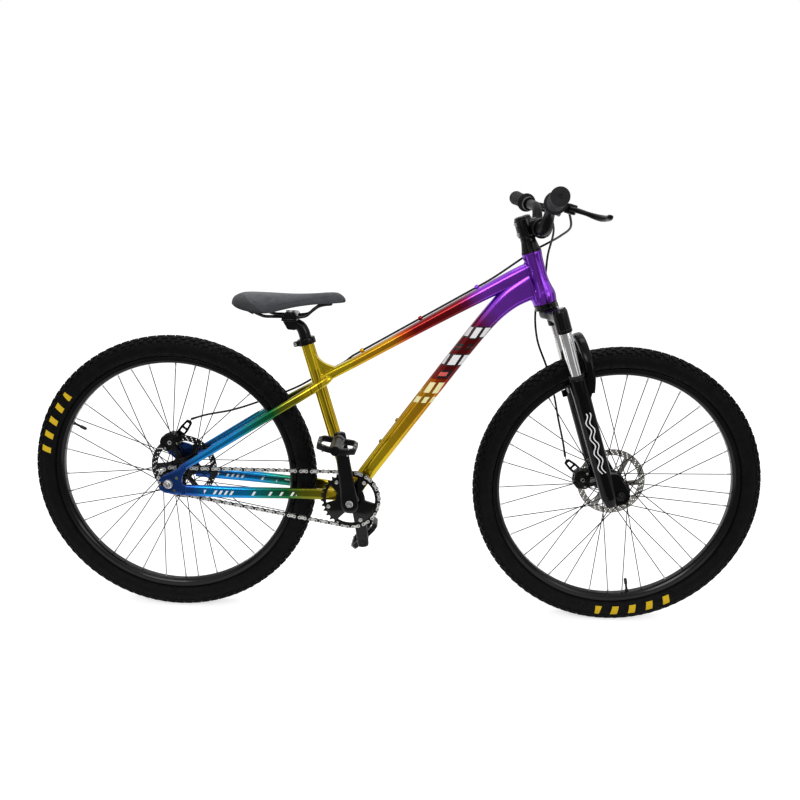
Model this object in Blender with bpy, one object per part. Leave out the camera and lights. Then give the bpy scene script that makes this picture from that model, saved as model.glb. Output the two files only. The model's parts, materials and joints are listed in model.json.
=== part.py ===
"""Stunt bike, a single-speed hardtail with 26 inch wheels.

Units are metres. +X points forward, +Y to the rider's left and +Z up. The origin is on the ground, midway
between the two axles. Every named solid is one physical piece of the bicycle.
"""

import math

import bmesh
import bpy
from mathutils import Matrix, Vector

# Clearance between two pieces that touch on the real bicycle
GAP = 0.0003

# Overall layout
WHEELBASE = 1.0316
HEAD_ANGLE = math.radians(71.5)
SEAT_ANGLE = math.radians(73.65)
BB_HEIGHT = 0.298
CHAINSTAY_LENGTH = 0.4173
FORK_RAKE = 0.044
FORK_LENGTH = 0.4564
FORK_TRAVEL = 0.080
HEAD_TUBE_LENGTH = 0.115
SEAT_TUBE_LENGTH = 0.382

# Wheels
TYRE_RADIUS = 0.3325
TYRE_WIDTH = 0.053
TREAD_DEPTH = 0.0022
RIM_FLANGE_RADIUS = 0.2850
RIM_INNER_RADIUS = 0.2692
RIM_WIDTH = 0.028
SPOKES = 36
SPOKE_DIAMETER = 0.002
CROSSINGS = 3
FLANGE_RADIUS = 0.029
ROTOR_RADIUS = 0.080
ROTOR_THICKNESS = 0.0018
ROTOR_BORE = 0.0170
REAR_HUB_WIDTH = 0.135
FRONT_HUB_WIDTH = 0.100
REAR_AXLE_DIAMETER = 0.010
FRONT_AXLE_DIAMETER = 0.009

# Drive
CHAIN_PITCH = 0.0127
RING_TEETH = 33
COG_TEETH = 15
CHAIN_LINE = 0.045
TOOTH_THICKNESS = 0.0026
CRANK_LENGTH = 0.160
CRANK_LEAN = math.radians(7.6)
PEDAL_SIZE = (0.088, 0.082, 0.018)
PEDAL_TILTS = (math.radians(8), math.radians(-48))
BB_SHELL_WIDTH = 0.068
BB_SHELL_RADIUS = 0.0205
BB_BORE_RADIUS = 0.0175
SPINDLE_RADIUS = 0.009

# Tubes and posts
SEAT_TUBE_DIAMETER = 0.0305
POST_DIAMETER = 0.0272
POST_INSERTION = 0.150
HEAD_BORE_RADIUS = 0.0170
STEERER_DIAMETER = 0.0286
STANCHION_DIAMETER = 0.028
STANCHION_SPACING = 0.130
LEG_DIAMETER = 0.0376
LEG_OFFSET = 0.0175
DROPOUT_THICKNESS = 0.006
BOSS_SPACING = 0.064

# Cockpit
BAR_CLAMP_DIAMETER = 0.0318
BAR_END_DIAMETER = 0.0222
BAR_HALF_WIDTH = 0.357
STEM_REACH = 0.033
GRIP_LENGTH = 0.132
GRIP_DIAMETER = 0.034

# Saddle
SADDLE_WIDTH = 0.142
RAIL_DIAMETER = 0.007
RAIL_SPACING = 0.044
CABLE_DIAMETER = 0.005

Y_AXIS = Vector((0, 1, 0))
Z_AXIS = Vector((0, 0, 1))

# Points and directions that the layout gives
REAR_AXLE = Vector((-WHEELBASE / 2, 0, TYRE_RADIUS))
FRONT_AXLE = Vector((WHEELBASE / 2, 0, TYRE_RADIUS))
BB_DROP = TYRE_RADIUS - BB_HEIGHT
BB_CENTRE = REAR_AXLE + Vector((math.sqrt(CHAINSTAY_LENGTH**2 - BB_DROP**2), 0, -BB_DROP))
STEER_DOWN = Vector((math.cos(HEAD_ANGLE), 0, -math.sin(HEAD_ANGLE)))
STEER_FORWARD = Vector((math.sin(HEAD_ANGLE), 0, math.cos(HEAD_ANGLE)))
SEAT_UP = Vector((-math.cos(SEAT_ANGLE), 0, math.sin(SEAT_ANGLE)))
SEAT_FORWARD = Vector((math.sin(SEAT_ANGLE), 0, math.cos(SEAT_ANGLE)))
CUP_STACK = 0.010
AXLE_DOWN = HEAD_TUBE_LENGTH + CUP_STACK + FORK_LENGTH
HEAD_TOP = FRONT_AXLE - STEER_FORWARD * FORK_RAKE - STEER_DOWN * AXLE_DOWN


def head_point(down, forward=0.0, left=0.0):
    """A point from its distance down the steering axis, ahead of it and to the left of it."""
    return HEAD_TOP + STEER_DOWN * down + STEER_FORWARD * forward + Y_AXIS * left


def seat_point(up, forward=0.0, left=0.0):
    """A point from its distance up the seat tube's axis, ahead of it and to the left of it."""
    return BB_CENTRE + SEAT_UP * up + SEAT_FORWARD * forward + Y_AXIS * left


def clear_scene():
    for item in list(bpy.data.objects):
        bpy.data.objects.remove(item, do_unlink=True)


def material(name, colour, roughness, metallic):
    made = bpy.data.materials.get(name)
    if made:
        return made
    made = bpy.data.materials.new(name)
    made.use_nodes = True
    shader = made.node_tree.nodes["Principled BSDF"]
    shader.inputs["Base Color"].default_value = (*colour, 1)
    shader.inputs["Roughness"].default_value = roughness
    shader.inputs["Metallic"].default_value = metallic
    made.diffuse_color = (*colour, 1)
    return made


def gloss_black():
    return material("gloss_black", (0.010, 0.010, 0.011), 0.28, 0.0)


def satin_black():
    return material("satin_black", (0.018, 0.018, 0.020), 0.45, 0.2)


def frame_finish():
    return material("oil_slick_chrome", (0.72, 0.50, 0.06), 0.16, 1.0)


def bright_steel():
    return material("bright_steel", (0.62, 0.62, 0.60), 0.25, 1.0)


def chrome_tube():
    return material("chrome_tube", (0.74, 0.74, 0.75), 0.10, 1.0)


def dark_steel():
    return material("dark_steel", (0.10, 0.10, 0.10), 0.40, 0.9)


def tyre_rubber():
    return material("tyre_rubber", (0.020, 0.020, 0.021), 0.80, 0.0)


def grip_rubber():
    return material("grip_rubber", (0.035, 0.035, 0.037), 0.75, 0.0)


def saddle_cover():
    return material("saddle_cover", (0.060, 0.063, 0.070), 0.60, 0.0)


def saddle_base():
    return material("saddle_base", (0.030, 0.030, 0.033), 0.50, 0.0)


def cable_housing():
    return material("cable_housing", (0.012, 0.012, 0.012), 0.40, 0.0)


def place(name, shape, finish, origin=None, auto_smooth=35.0):
    """Turns a shape in world coordinates into the named object, with its origin at the given point."""
    bmesh.ops.recalc_face_normals(shape, faces=shape.faces)
    origin = Vector(origin) if origin is not None else Vector()
    bmesh.ops.translate(shape, verts=shape.verts, vec=-origin)
    mesh = bpy.data.meshes.new(name)
    shape.to_mesh(mesh)
    shape.free()
    mesh.materials.append(finish)
    mesh.shade_smooth()
    mesh.set_sharp_from_angle(angle=math.radians(auto_smooth))
    placed = bpy.data.objects.new(name, mesh)
    placed.location = origin
    bpy.context.scene.collection.objects.link(placed)
    return placed


def temporary(shape):
    """A throwaway object for a Boolean, with its faces turned outward."""
    bmesh.ops.recalc_face_normals(shape, faces=shape.faces)
    mesh = bpy.data.meshes.new("operand")
    shape.to_mesh(mesh)
    shape.free()
    operand = bpy.data.objects.new("operand", mesh)
    bpy.context.scene.collection.objects.link(operand)
    return operand


def combine(base, joined=(), cut=()):
    """The base shape with others joined to it, and then others cut from it, by exact Booleans."""
    target = temporary(base)
    operands = []
    for operation, shapes in (("UNION", joined), ("DIFFERENCE", cut)):
        for shape in shapes:
            operand = temporary(shape)
            operands.append(operand)
            step = target.modifiers.new(operation.lower(), "BOOLEAN")
            step.operation = operation
            step.solver = "EXACT"
            step.object = operand
    bpy.context.view_layer.update()
    graph = bpy.context.evaluated_depsgraph_get()
    mesh = bpy.data.meshes.new_from_object(target.evaluated_get(graph))
    result = bmesh.new()
    result.from_mesh(mesh)
    bpy.data.meshes.remove(mesh)
    for spent in [target, *operands]:
        data = spent.data
        bpy.data.objects.remove(spent, do_unlink=True)
        bpy.data.meshes.remove(data)
    bmesh.ops.dissolve_degenerate(result, dist=1e-6, edges=result.edges)
    return result


def across(direction):
    """Two unit vectors square to a direction and to each other."""
    direction = direction.normalized()
    helper = Y_AXIS if abs(direction.y) < 0.9 else Z_AXIS
    first = direction.cross(helper).normalized()
    return first, direction.cross(first).normalized()


def skin(rings, closed_loop=False):
    """One closed shape through a row of rings with as many points each. One-point rings end it in a tip."""
    shape = bmesh.new()
    rows = [[shape.verts.new(point) for point in ring] for ring in rings]
    pairs = list(zip(rows, rows[1:]))
    if closed_loop:
        pairs.append((rows[-1], rows[0]))
    for near, far in pairs:
        count = max(len(near), len(far))
        for index in range(count):
            after = (index + 1) % count
            corners = [near[index % len(near)], near[after % len(near)], far[after % len(far)], far[index % len(far)]]
            corners = list(dict.fromkeys(corners))
            shape.faces.new(corners)
    if not closed_loop:
        for end in (rows[0], rows[-1]):
            if len(end) > 2:
                shape.faces.new(end)
    return shape


def turned(profile, origin, axis, segments=24, ring=False, start=0.0):
    """A turned shape. The profile lists (radius, distance along the axis); a ring's profile closes on itself."""
    axis = axis.normalized()
    first, second = across(axis)
    angles = [start + 2 * math.pi * step / segments for step in range(segments)]
    if ring:
        rows = []
        for angle in angles:
            outward = first * math.cos(angle) + second * math.sin(angle)
            rows.append([origin + axis * along + outward * radius for radius, along in profile])
        return skin(rows, closed_loop=True)
    rows = []
    for radius, along in profile:
        centre = origin + axis * along
        if radius == 0:
            rows.append([centre])
            continue
        rows.append([centre + (first * math.cos(a) + second * math.sin(a)) * radius for a in angles])
    return skin(rows)


def rod(start, end, radius, segments=16, end_radius=None):
    """A round bar from one point to another."""
    axis = end - start
    last = radius if end_radius is None else end_radius
    return turned([(radius, 0), (last, axis.length)], start, axis, segments)


def sleeve(start, end, outer, inner, segments=24):
    """A round tube from one point to another."""
    length = (end - start).length
    return turned([(inner, 0), (outer, 0), (outer, length), (inner, length)], start, end - start, segments, ring=True)


def oval(centre, first, second, reach, height, count, power=2.0):
    """A ring of points on a superellipse. A power over 2 squares it off."""
    points = []
    for step in range(count):
        angle = 2 * math.pi * (step + 0.5) / count
        cosine, sine = math.cos(angle), math.sin(angle)
        along = math.copysign(abs(cosine) ** (2 / power), cosine) * reach
        up = math.copysign(abs(sine) ** (2 / power), sine) * height
        points.append(centre + first * along + second * up)
    return points


def tube(stations, count=14, power=2.0):
    """A shaped tube. Each station is (centre, half width across, half height)."""
    centres = [Vector(station[0]) for station in stations]
    rings = []
    for index, (_, half_width, half_height) in enumerate(stations):
        before = centres[max(index - 1, 0)]
        after = centres[min(index + 1, len(centres) - 1)]
        heading = (after - before).normalized()
        side = Y_AXIS - heading * heading.dot(Y_AXIS)
        side.normalize()
        upward = side.cross(heading).normalized()
        rings.append(oval(centres[index], side, upward, half_width, half_height, count, power))
    return skin(rings)


def knot_heading(knots, index):
    """The curve's direction at a knot, weighted so that short and long spans meet smoothly."""
    before = knots[index] - knots[index - 1]
    after = knots[index + 1] - knots[index]
    near, far = before.length, after.length
    return (before / near * far + after / far * near) / (near + far)


def curve_point(knots, index, share):
    """A point between a knot and the next on the smooth curve through all of them."""
    start, end = knots[index], knots[index + 1]
    span = (end - start).length
    leave = knot_heading(knots, index) * span
    arrive = knot_heading(knots, index + 1) * span
    square, cube = share**2, share**3
    held = start * (2 * cube - 3 * square + 1) + end * (3 * square - 2 * cube)
    return held + leave * (cube - 2 * square + share) + arrive * (cube - square)


def smooth_points(knots, turn_step=math.radians(15)):
    """Points on a smooth curve through the given points, closer together where it bends more."""
    knots = [Vector(knot) for knot in knots]
    knots = [knots[0] * 2 - knots[1], *knots, knots[-1] * 2 - knots[-2]]
    points = [knots[1]]
    for index in range(1, len(knots) - 2):
        fine = [curve_point(knots, index, step / 12) for step in range(13)]
        legs = [after - before for before, after in zip(fine, fine[1:])]
        turning = sum(before.angle(after) for before, after in zip(legs, legs[1:]))
        steps = max(1, math.ceil(turning / turn_step))
        points += [curve_point(knots, index, (step + 1) / steps) for step in range(steps)]
    return points


def piped(points, radii, count=8, start_normal=None):
    """A round section carried along points without twisting. One radius serves the whole run."""
    points = [Vector(point) for point in points]
    if not isinstance(radii, (list, tuple)):
        radii = [radii] * len(points)
    heading = (points[1] - points[0]).normalized()
    normal = start_normal or across(heading)[0]
    rings = []
    for index, centre in enumerate(points):
        before = points[max(index - 1, 0)]
        after = points[min(index + 1, len(points) - 1)]
        heading = (after - before).normalized()
        normal = (normal - heading * heading.dot(normal)).normalized()
        other = heading.cross(normal)
        rings.append([centre + (normal * math.cos(2 * math.pi * step / count)
                                + other * math.sin(2 * math.pi * step / count)) * radii[index]
                      for step in range(count)])
    return skin(rings)


def plate(outline, holes, origin, first, second, thickness):
    """A flat plate. Its outline and holes are lists of (first, second) distances; it grows to both sides."""
    shape = bmesh.new()
    normal = first.cross(second).normalized()
    edges = []
    for loop in [outline, *holes]:
        corners = [shape.verts.new(origin + first * a + second * b - normal * (thickness / 2)) for a, b in loop]
        edges += [shape.edges.new(pair) for pair in zip(corners, corners[1:] + corners[:1])]
    bmesh.ops.triangle_fill(shape, use_beauty=True, use_dissolve=False, edges=edges)
    raised = bmesh.ops.extrude_face_region(shape, geom=shape.faces[:])
    moved = [item for item in raised["geom"] if isinstance(item, bmesh.types.BMVert)]
    bmesh.ops.translate(shape, verts=moved, vec=normal * thickness)
    return shape


def block(centre, sizes, turn=None):
    """A box of the given sizes, turned by a matrix whose columns are its own axes."""
    shape = bmesh.new()
    bmesh.ops.create_cube(shape, size=1.0)
    bmesh.ops.scale(shape, vec=Vector(sizes), verts=shape.verts)
    if turn is not None:
        bmesh.ops.rotate(shape, cent=Vector(), matrix=turn, verts=shape.verts)
    bmesh.ops.translate(shape, vec=centre, verts=shape.verts)
    return shape


def circle(radius, count, centre=(0.0, 0.0), start=0.0):
    return [(centre[0] + radius * math.cos(start + 2 * math.pi * k / count),
             centre[1] + radius * math.sin(start + 2 * math.pi * k / count)) for k in range(count)]


def arc(centre, radius, first_angle, last_angle, count):
    """Points on an arc, with angles in degrees."""
    points = []
    for step in range(count):
        angle = math.radians(first_angle + (last_angle - first_angle) * step / (count - 1))
        points.append((centre[0] + radius * math.cos(angle), centre[1] + radius * math.sin(angle)))
    return points


STEER_TURN = Matrix((STEER_FORWARD, Y_AXIS, -STEER_DOWN)).transposed()

# Heights and offsets along the steering axis that several pieces share
CROWN_SEAT = HEAD_TUBE_LENGTH + CUP_STACK
SOCKET_BOTTOM = CROWN_SEAT + 0.056
LEG_TOP = CROWN_SEAT + 0.160
STANCHION_TOP = CROWN_SEAT + 0.015
LEG_BOTTOM = AXLE_DOWN + 0.015
STANCHION_OVERLAP = 0.115
BORE_DEPTH = STANCHION_OVERLAP + FORK_TRAVEL + 0.010
STANCHION_RADIUS = STANCHION_DIAMETER / 2
LEG_RADIUS = LEG_DIAMETER / 2
LEG_SIDE = STANCHION_SPACING / 2
STEM_TOP = -0.0743
STEM_BOTTOM = -0.0350
STEM_RADIUS = 0.0195
BAR_DOWN = -0.0436
BAR_CENTRE = head_point(BAR_DOWN, STEM_REACH)
STEERER_RADIUS = STEERER_DIAMETER / 2
STEERER_BORE = STEERER_RADIUS + 2 * GAP
CUP_RADIUS = HEAD_BORE_RADIUS - 2 * GAP
SEAT_TUBE_RADIUS = SEAT_TUBE_DIAMETER / 2
POST_RADIUS = POST_DIAMETER / 2
REAR_FACE = REAR_HUB_WIDTH / 2
FRONT_FACE = FRONT_HUB_WIDTH / 2
RING_RADIUS = CHAIN_PITCH / (2 * math.sin(math.pi / RING_TEETH))
COG_RADIUS = CHAIN_PITCH / (2 * math.sin(math.pi / COG_TEETH))
ROLLER_HALF = 0.0026
ROLLER_HEIGHT = 0.0038
INNER_PLATE = 0.00165
PLATE_THICKNESS = 0.0013
CRANK_BOSS_RADIUS = 0.0165
CRANK_INNER = 0.0620
CRANK_THICKNESS = 0.0140
CRANK_FLARE = 0.0080
CRANK_OUTER = CRANK_INNER + CRANK_FLARE + CRANK_THICKNESS
COG_BORE = 0.0168
PEDAL_AXLE_RADIUS = 0.0070
PEDAL_INNER = 0.0965
WHEEL_SEGMENTS = 40
RIM_FLAT_RADIUS = RIM_INNER_RADIUS * math.cos(math.pi / WHEEL_SEGMENTS)
REAR_ROTOR_SIDE = REAR_FACE - 0.0153
FRONT_ROTOR_SIDE = FRONT_FACE - 0.0102
CALIPER_HALF_WIDTH = 0.0135
CALIPER_SLOT = ROTOR_THICKNESS + 0.0010


def laid(rear, front, stations):
    """A tube's stations between two ends. Each is (share of the way, bow upward, left, half width, half height)."""
    way = front - rear
    upward = Vector((-way.z, 0, way.x)).normalized()
    return [(rear + way * share + upward * bow + Y_AXIS * left, width, height)
            for share, bow, left, width, height in stations]


TOP_TUBE = laid(seat_point(SEAT_TUBE_LENGTH - 0.1005, 0.0033), head_point(0.0377, -0.0069),
                [(0.0, 0.0, 0, 0.0135, 0.0105), (0.0561, 0.0009, 0, 0.0150, 0.0120),
                 (0.1955, 0.0002, 0, 0.0155, 0.0115), (0.4825, 0.0026, 0, 0.0165, 0.0130),
                 (0.7852, 0.0038, 0, 0.0180, 0.0160), (0.9114, 0.0026, 0, 0.0180, 0.0190),
                 (1.0, 0.0, 0, 0.0165, 0.0205)])
DOWN_TUBE = laid(BB_CENTRE + Vector((0.0040, 0, 0.0040)), head_point(HEAD_TUBE_LENGTH - 0.0467, -0.0161),
                 [(0.0, 0.0, 0, 0.0200, 0.0180), (0.0861, 0.0062, 0, 0.0200, 0.0192),
                  (0.4828, 0.0182, 0, 0.0205, 0.0200), (0.7011, 0.0240, 0, 0.0210, 0.0200),
                  (0.8255, 0.0249, 0, 0.0215, 0.0215), (0.9191, 0.0182, 0, 0.0215, 0.0265),
                  (1.0, 0.0, 0, 0.0200, 0.0320)])
GUIDE_SIDE = 0.0115
GUIDE_WALL = 0.0022
GUIDE_BORE = CABLE_DIAMETER / 2 + 0.0006


def frame_cable_line():
    """Where the rear brake cable passes the top tube's stations, resting in its guides."""
    line = []
    for near, far in ((TOP_TUBE[4], TOP_TUBE[3]), (TOP_TUBE[3], TOP_TUBE[2])):
        heading = (far[0] - near[0]).normalized()
        upward = Vector((heading.z, 0, -heading.x))
        for station in (near, far):
            height = station[2] * 0.87 + GUIDE_BORE + GUIDE_WALL - 0.0012
            line.append(station[0] + upward * height + Y_AXIS * GUIDE_SIDE)
    return [line[0], (line[1] + line[2]) / 2, line[3]]


def frame_tubes():
    """The frame's tubes, as separate shapes that run into each other."""
    low = HEAD_TUBE_LENGTH
    head = turned([(0.0222, 0), (0.0222, 0.004), (0.0205, 0.022), (0.0205, low - 0.053), (0.0238, low - 0.033),
                   (0.0278, low - 0.016), (0.0262, low)], HEAD_TOP, STEER_DOWN, 14)
    top = tube(TOP_TUBE, 10, 2.6)
    down = tube(DOWN_TUBE, 10, 2.6)
    seat = turned([(SEAT_TUBE_RADIUS, 0.0), (SEAT_TUBE_RADIUS, SEAT_TUBE_LENGTH)], seat_point(0), SEAT_UP, 16)
    shell = turned([(BB_SHELL_RADIUS, -BB_SHELL_WIDTH / 2), (BB_SHELL_RADIUS, BB_SHELL_WIDTH / 2)],
                   BB_CENTRE, Y_AXIS, 16)
    return [head, top, down, seat, shell]


def gusset():
    """The curved web between the seat tube's top and the top tube."""
    curve = [(0.0094, -0.0211), (0.0135, -0.0389), (0.0175, -0.0521), (0.0273, -0.0649), (0.0436, -0.0769)]
    outline = [*curve, (0.0432, -0.0924), (0.0093, -0.1013), (0.0003, -0.0184)]
    return plate(outline, [], seat_point(SEAT_TUBE_LENGTH), SEAT_FORWARD, SEAT_UP, 0.017)


def stays(side):
    """The seat stay and chain stay of one side, which lead to the dropout."""
    seat_stay = laid(REAR_AXLE + Vector((0.0298, 0, 0.0365)), seat_point(SEAT_TUBE_LENGTH - 0.0988, 0.0330),
                     [(0.0, 0.0, side * 0.0640, 0.0068, 0.0075), (0.1360, -0.0001, side * 0.0625, 0.0072, 0.0085),
                      (0.4630, 0.0009, side * 0.0525, 0.0078, 0.0100), (0.7138, 0.0005, side * 0.0415, 0.0080, 0.0100),
                      (0.8851, -0.0004, side * 0.0235, 0.0085, 0.0100), (1.0, 0.0, side * 0.0100, 0.0080, 0.0095)])
    chain_stay = laid(REAR_AXLE + Vector((0.0258, 0, -0.0160)), BB_CENTRE + Vector((-0.0051, 0, 0.0005)),
                      [(0.0, 0.0, side * 0.0640, 0.0068, 0.0125), (0.1298, 0.0006, side * 0.0625, 0.0072, 0.0136),
                       (0.3634, 0.0015, side * 0.0560, 0.0078, 0.0134), (0.6230, 0.0027, side * 0.0425, 0.0072, 0.0130),
                       (0.8100, 0.0031, side * 0.0340, 0.0060, 0.0130), (1.0, 0.0, side * 0.0230, 0.0090, 0.0125)])
    return [tube(seat_stay, 8, 2.4), tube(chain_stay, 8, 2.8)]


def dropout(side):
    """A dropout plate with its axle slot, open to the rear. The left one carries the brake's tab."""
    x, z = REAR_AXLE.x, REAR_AXLE.z
    slot = REAR_AXLE_DIAMETER / 2 + GAP
    slot_mouth = [(x - 0.0240, z - slot), *arc((x, z), slot, -90, 90, 7), (x - 0.0240, z + slot)]
    upper = [(x - 0.0215, z + 0.0100), (x - 0.0130, z + 0.0185)]
    if side > 0:
        upper = [(x - 0.0215, z + 0.0100), (x - 0.0470, z + 0.0330), (x - 0.0470, z + 0.0520),
                 (x - 0.0180, z + 0.0600), (x + 0.0060, z + 0.0540)]
    outline = [*slot_mouth, *upper, (x + 0.0340, z + 0.0430), (x + 0.0420, z + 0.0340), (x + 0.0330, z + 0.0200),
               (x + 0.0305, z + 0.0020), (x + 0.0380, z - 0.0060), (x + 0.0380, z - 0.0260), (x + 0.0200, z - 0.0250),
               (x - 0.0100, z - 0.0215), (x - 0.0210, z - 0.0140)]
    middle = side * (REAR_FACE + DROPOUT_THICKNESS / 2)
    return plate(outline, [], Vector((0, middle, 0)), Vector((1, 0, 0)), Z_AXIS, DROPOUT_THICKNESS)


def cage_bosses():
    """The two bottle cage bosses on the down tube's upper side, each with a flat top."""
    low, high = DOWN_TUBE[1][0], DOWN_TUBE[2][0]
    heading = (high - low).normalized()
    upward = Vector((-heading.z, 0, heading.x))
    middle = low.lerp(high, 0.459) + upward * 0.0160
    made = []
    for side in (-1, 1):
        foot = middle + heading * side * BOSS_SPACING / 2
        made.append(rod(foot, foot + upward * 0.0070, 0.0058, 8))
    return made


def cable_guides():
    """Rings on the top tube that hold the rear brake cable."""
    front, middle, rear = frame_cable_line()
    made = []
    for near, far, share in ((front, middle, 0.06), (front, middle, 0.94), (middle, rear, 0.92)):
        centre = near.lerp(far, share)
        heading = (far - near).normalized()
        made.append(sleeve(centre - heading * 0.004, centre + heading * 0.004, GUIDE_BORE + GUIDE_WALL, GUIDE_BORE, 6))
    return made


def build_frame():
    head, *others = frame_tubes()
    joined = [*others, gusset()]
    for side in (-1, 1):
        joined += [*stays(side), dropout(side)]
    joined += [*cage_bosses(), *cable_guides()]
    head_bore = rod(head_point(-0.02), head_point(HEAD_TUBE_LENGTH + 0.02), HEAD_BORE_RADIUS, 14)
    seat_bore = rod(seat_point(0.190), seat_point(SEAT_TUBE_LENGTH + 0.02), POST_RADIUS + 2 * GAP, 16)
    seat_slot = block(seat_point(SEAT_TUBE_LENGTH - 0.008, -SEAT_TUBE_RADIUS), (0.012, 0.0020, 0.040),
                      Matrix((SEAT_FORWARD, Y_AXIS, SEAT_UP)).transposed())
    bracket_bore = rod(BB_CENTRE - Y_AXIS * 0.06, BB_CENTRE + Y_AXIS * 0.06, BB_BORE_RADIUS, 16)
    shape = combine(head, joined, [head_bore, seat_bore, seat_slot, bracket_bore])
    place("frame", shape, frame_finish())


def build_headset():
    upper = turned([(STEERER_BORE, -0.0040), (0.0215, -0.0040), (0.0222, -GAP),
                    (CUP_RADIUS, -GAP), (CUP_RADIUS, 0.010), (STEERER_BORE, 0.010)],
                   HEAD_TOP, STEER_DOWN, 12, ring=True)
    place("headset_upper_cup", upper, gloss_black())
    low = HEAD_TUBE_LENGTH
    lower = turned([(STEERER_BORE, low - 0.010), (CUP_RADIUS, low - 0.010),
                    (CUP_RADIUS, low + GAP), (0.0262, low + GAP), (0.0250, low + CUP_STACK - GAP),
                    (STEERER_BORE, low + CUP_STACK - GAP)], HEAD_TOP, STEER_DOWN, 12, ring=True)
    place("headset_lower_cup", lower, gloss_black())
    spacer = turned([(STEERER_BORE, STEM_BOTTOM + GAP), (0.0163, STEM_BOTTOM + GAP), (0.0165, -0.0250),
                     (0.0208, -0.0040 - GAP), (STEERER_BORE, -0.0040 - GAP)],
                    HEAD_TOP, STEER_DOWN, 12, ring=True)
    place("headset_cone_spacer", spacer, gloss_black(), head_point(0))


def build_bottom_bracket():
    half = BB_SHELL_WIDTH / 2
    outer = BB_BORE_RADIUS - 2 * GAP
    inner = SPINDLE_RADIUS + 2 * GAP
    profile = [(inner, -half - 0.003), (BB_SHELL_RADIUS - 0.001, -half - 0.003), (BB_SHELL_RADIUS - 0.001, -half - GAP),
               (outer, -half - GAP), (outer, half + GAP), (BB_SHELL_RADIUS - 0.001, half + GAP),
               (BB_SHELL_RADIUS - 0.001, half + 0.003), (inner, half + 0.003)]
    place("bottom_bracket", turned(profile, BB_CENTRE, Y_AXIS, 12, ring=True), dark_steel(), BB_CENTRE)


def build_seat_clamp():
    """The split collar that grips the seat tube's top, with its bolt across the ears at the rear."""
    inner = SEAT_TUBE_RADIUS + 2 * GAP
    post = POST_RADIUS + 2 * GAP
    low, high = SEAT_TUBE_LENGTH - 0.012, SEAT_TUBE_LENGTH + 0.003
    middle = (low + high) / 2 - 0.001
    collar = turned([(inner, low), (inner + 0.0050, low), (inner + 0.0050, high - 0.002), (inner + 0.0035, high),
                     (post, high), (post, SEAT_TUBE_LENGTH + GAP), (inner, SEAT_TUBE_LENGTH + GAP)],
                    seat_point(0), SEAT_UP, 12, ring=True)
    turn = Matrix((SEAT_FORWARD, Y_AXIS, SEAT_UP)).transposed()
    ears = [block(seat_point(middle, -inner - 0.0075, side * 0.0045), (0.0130, 0.0060, 0.0115), turn)
            for side in (-1, 1)]
    split = block(seat_point(middle, -inner - 0.004), (0.014, 0.0024, 0.030), turn)
    bolt_centre = seat_point(middle, -inner - 0.0098)
    bolt = turned([(0.0040, -0.0120), (0.0040, -0.0072), (0.0024, -0.0068), (0.0024, 0.0068), (0.0040, 0.0072),
                   (0.0040, 0.0105)], bolt_centre, Y_AXIS, 6)
    shape = combine(combine(collar, ears, [split]), [bolt])
    place("seat_clamp", shape, gloss_black())


POST_HEAD = seat_point(SEAT_TUBE_LENGTH + 0.0492, -0.0205)
RAIL_HEIGHT = POST_HEAD.z + 0.0110
NOSE_RAIL_HEIGHT = RAIL_HEIGHT + 0.0280


def saddle_point(ahead, left, rise):
    """A point from the middle of the rails' clamp."""
    return Vector((POST_HEAD.x + ahead, left, RAIL_HEIGHT + rise))


def build_seatpost():
    """The post, with its set-back head that carries the rails' lower cradle."""
    bottom = SEAT_TUBE_LENGTH - POST_INSERTION
    straight = SEAT_TUBE_LENGTH + 0.006
    stations = [(seat_point(bottom), POST_RADIUS), (seat_point(straight), POST_RADIUS),
                (seat_point(straight + 0.011), 0.0135), (POST_HEAD + Vector((0.0225, 0, -0.0140)), 0.0130),
                (POST_HEAD + Vector((0.0110, 0, -0.0065)), 0.0125),
                (POST_HEAD + Vector((-0.0020, 0, 0.0020)), 0.0120)]
    post = piped([point for point, _ in stations], [radius for _, radius in stations], 16, SEAT_FORWARD)
    top = RAIL_HEIGHT - RAIL_DIAMETER / 2 - GAP
    head = plate([(-0.0065, -0.0265), (0.0110, -0.0280), (0.0200, -0.0150), (0.0155, 0), (-0.0165, 0),
                  (-0.0165, -0.0085)], [], Vector((POST_HEAD.x, 0, top)), Vector((1, 0, 0)), Z_AXIS, 0.023)
    cradle = block(Vector((POST_HEAD.x, 0, top - 0.0027)), (0.0345, RAIL_SPACING + 0.014, 0.0054))
    above = block(Vector((POST_HEAD.x, 0, top + 0.02 - 0.0001)), (0.1, 0.1, 0.04))
    place("seatpost", combine(post, [head, cradle], [above]), gloss_black(), seat_point(SEAT_TUBE_LENGTH))


def build_saddle_clamp():
    """The upper clamp, which wraps the two rails and bolts to the post's head."""
    low = RAIL_HEIGHT - RAIL_DIAMETER / 2
    shape = plate([(-0.0160, low), (0.0160, low), (0.0165, RAIL_HEIGHT + 0.004), (0.0110, RAIL_HEIGHT + 0.0085),
                   (-0.0110, RAIL_HEIGHT + 0.0085), (-0.0165, RAIL_HEIGHT + 0.004)], [],
                  Vector((POST_HEAD.x, 0, 0)), Vector((1, 0, 0)), Z_AXIS, RAIL_SPACING + 0.014)
    ways = []
    for side in (-1, 1):
        centre = Vector((POST_HEAD.x, side * RAIL_SPACING / 2, RAIL_HEIGHT))
        ways.append(rod(centre - Vector((0.03, 0, 0)), centre + Vector((0.03, 0, 0)), RAIL_DIAMETER / 2 + GAP, 10))
        ways.append(block(centre - Vector((0, 0, 0.004)), (0.06, RAIL_DIAMETER + 2 * GAP, 0.008)))
    place("saddle_clamp", combine(shape, [], ways), gloss_black(), POST_HEAD)


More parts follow.
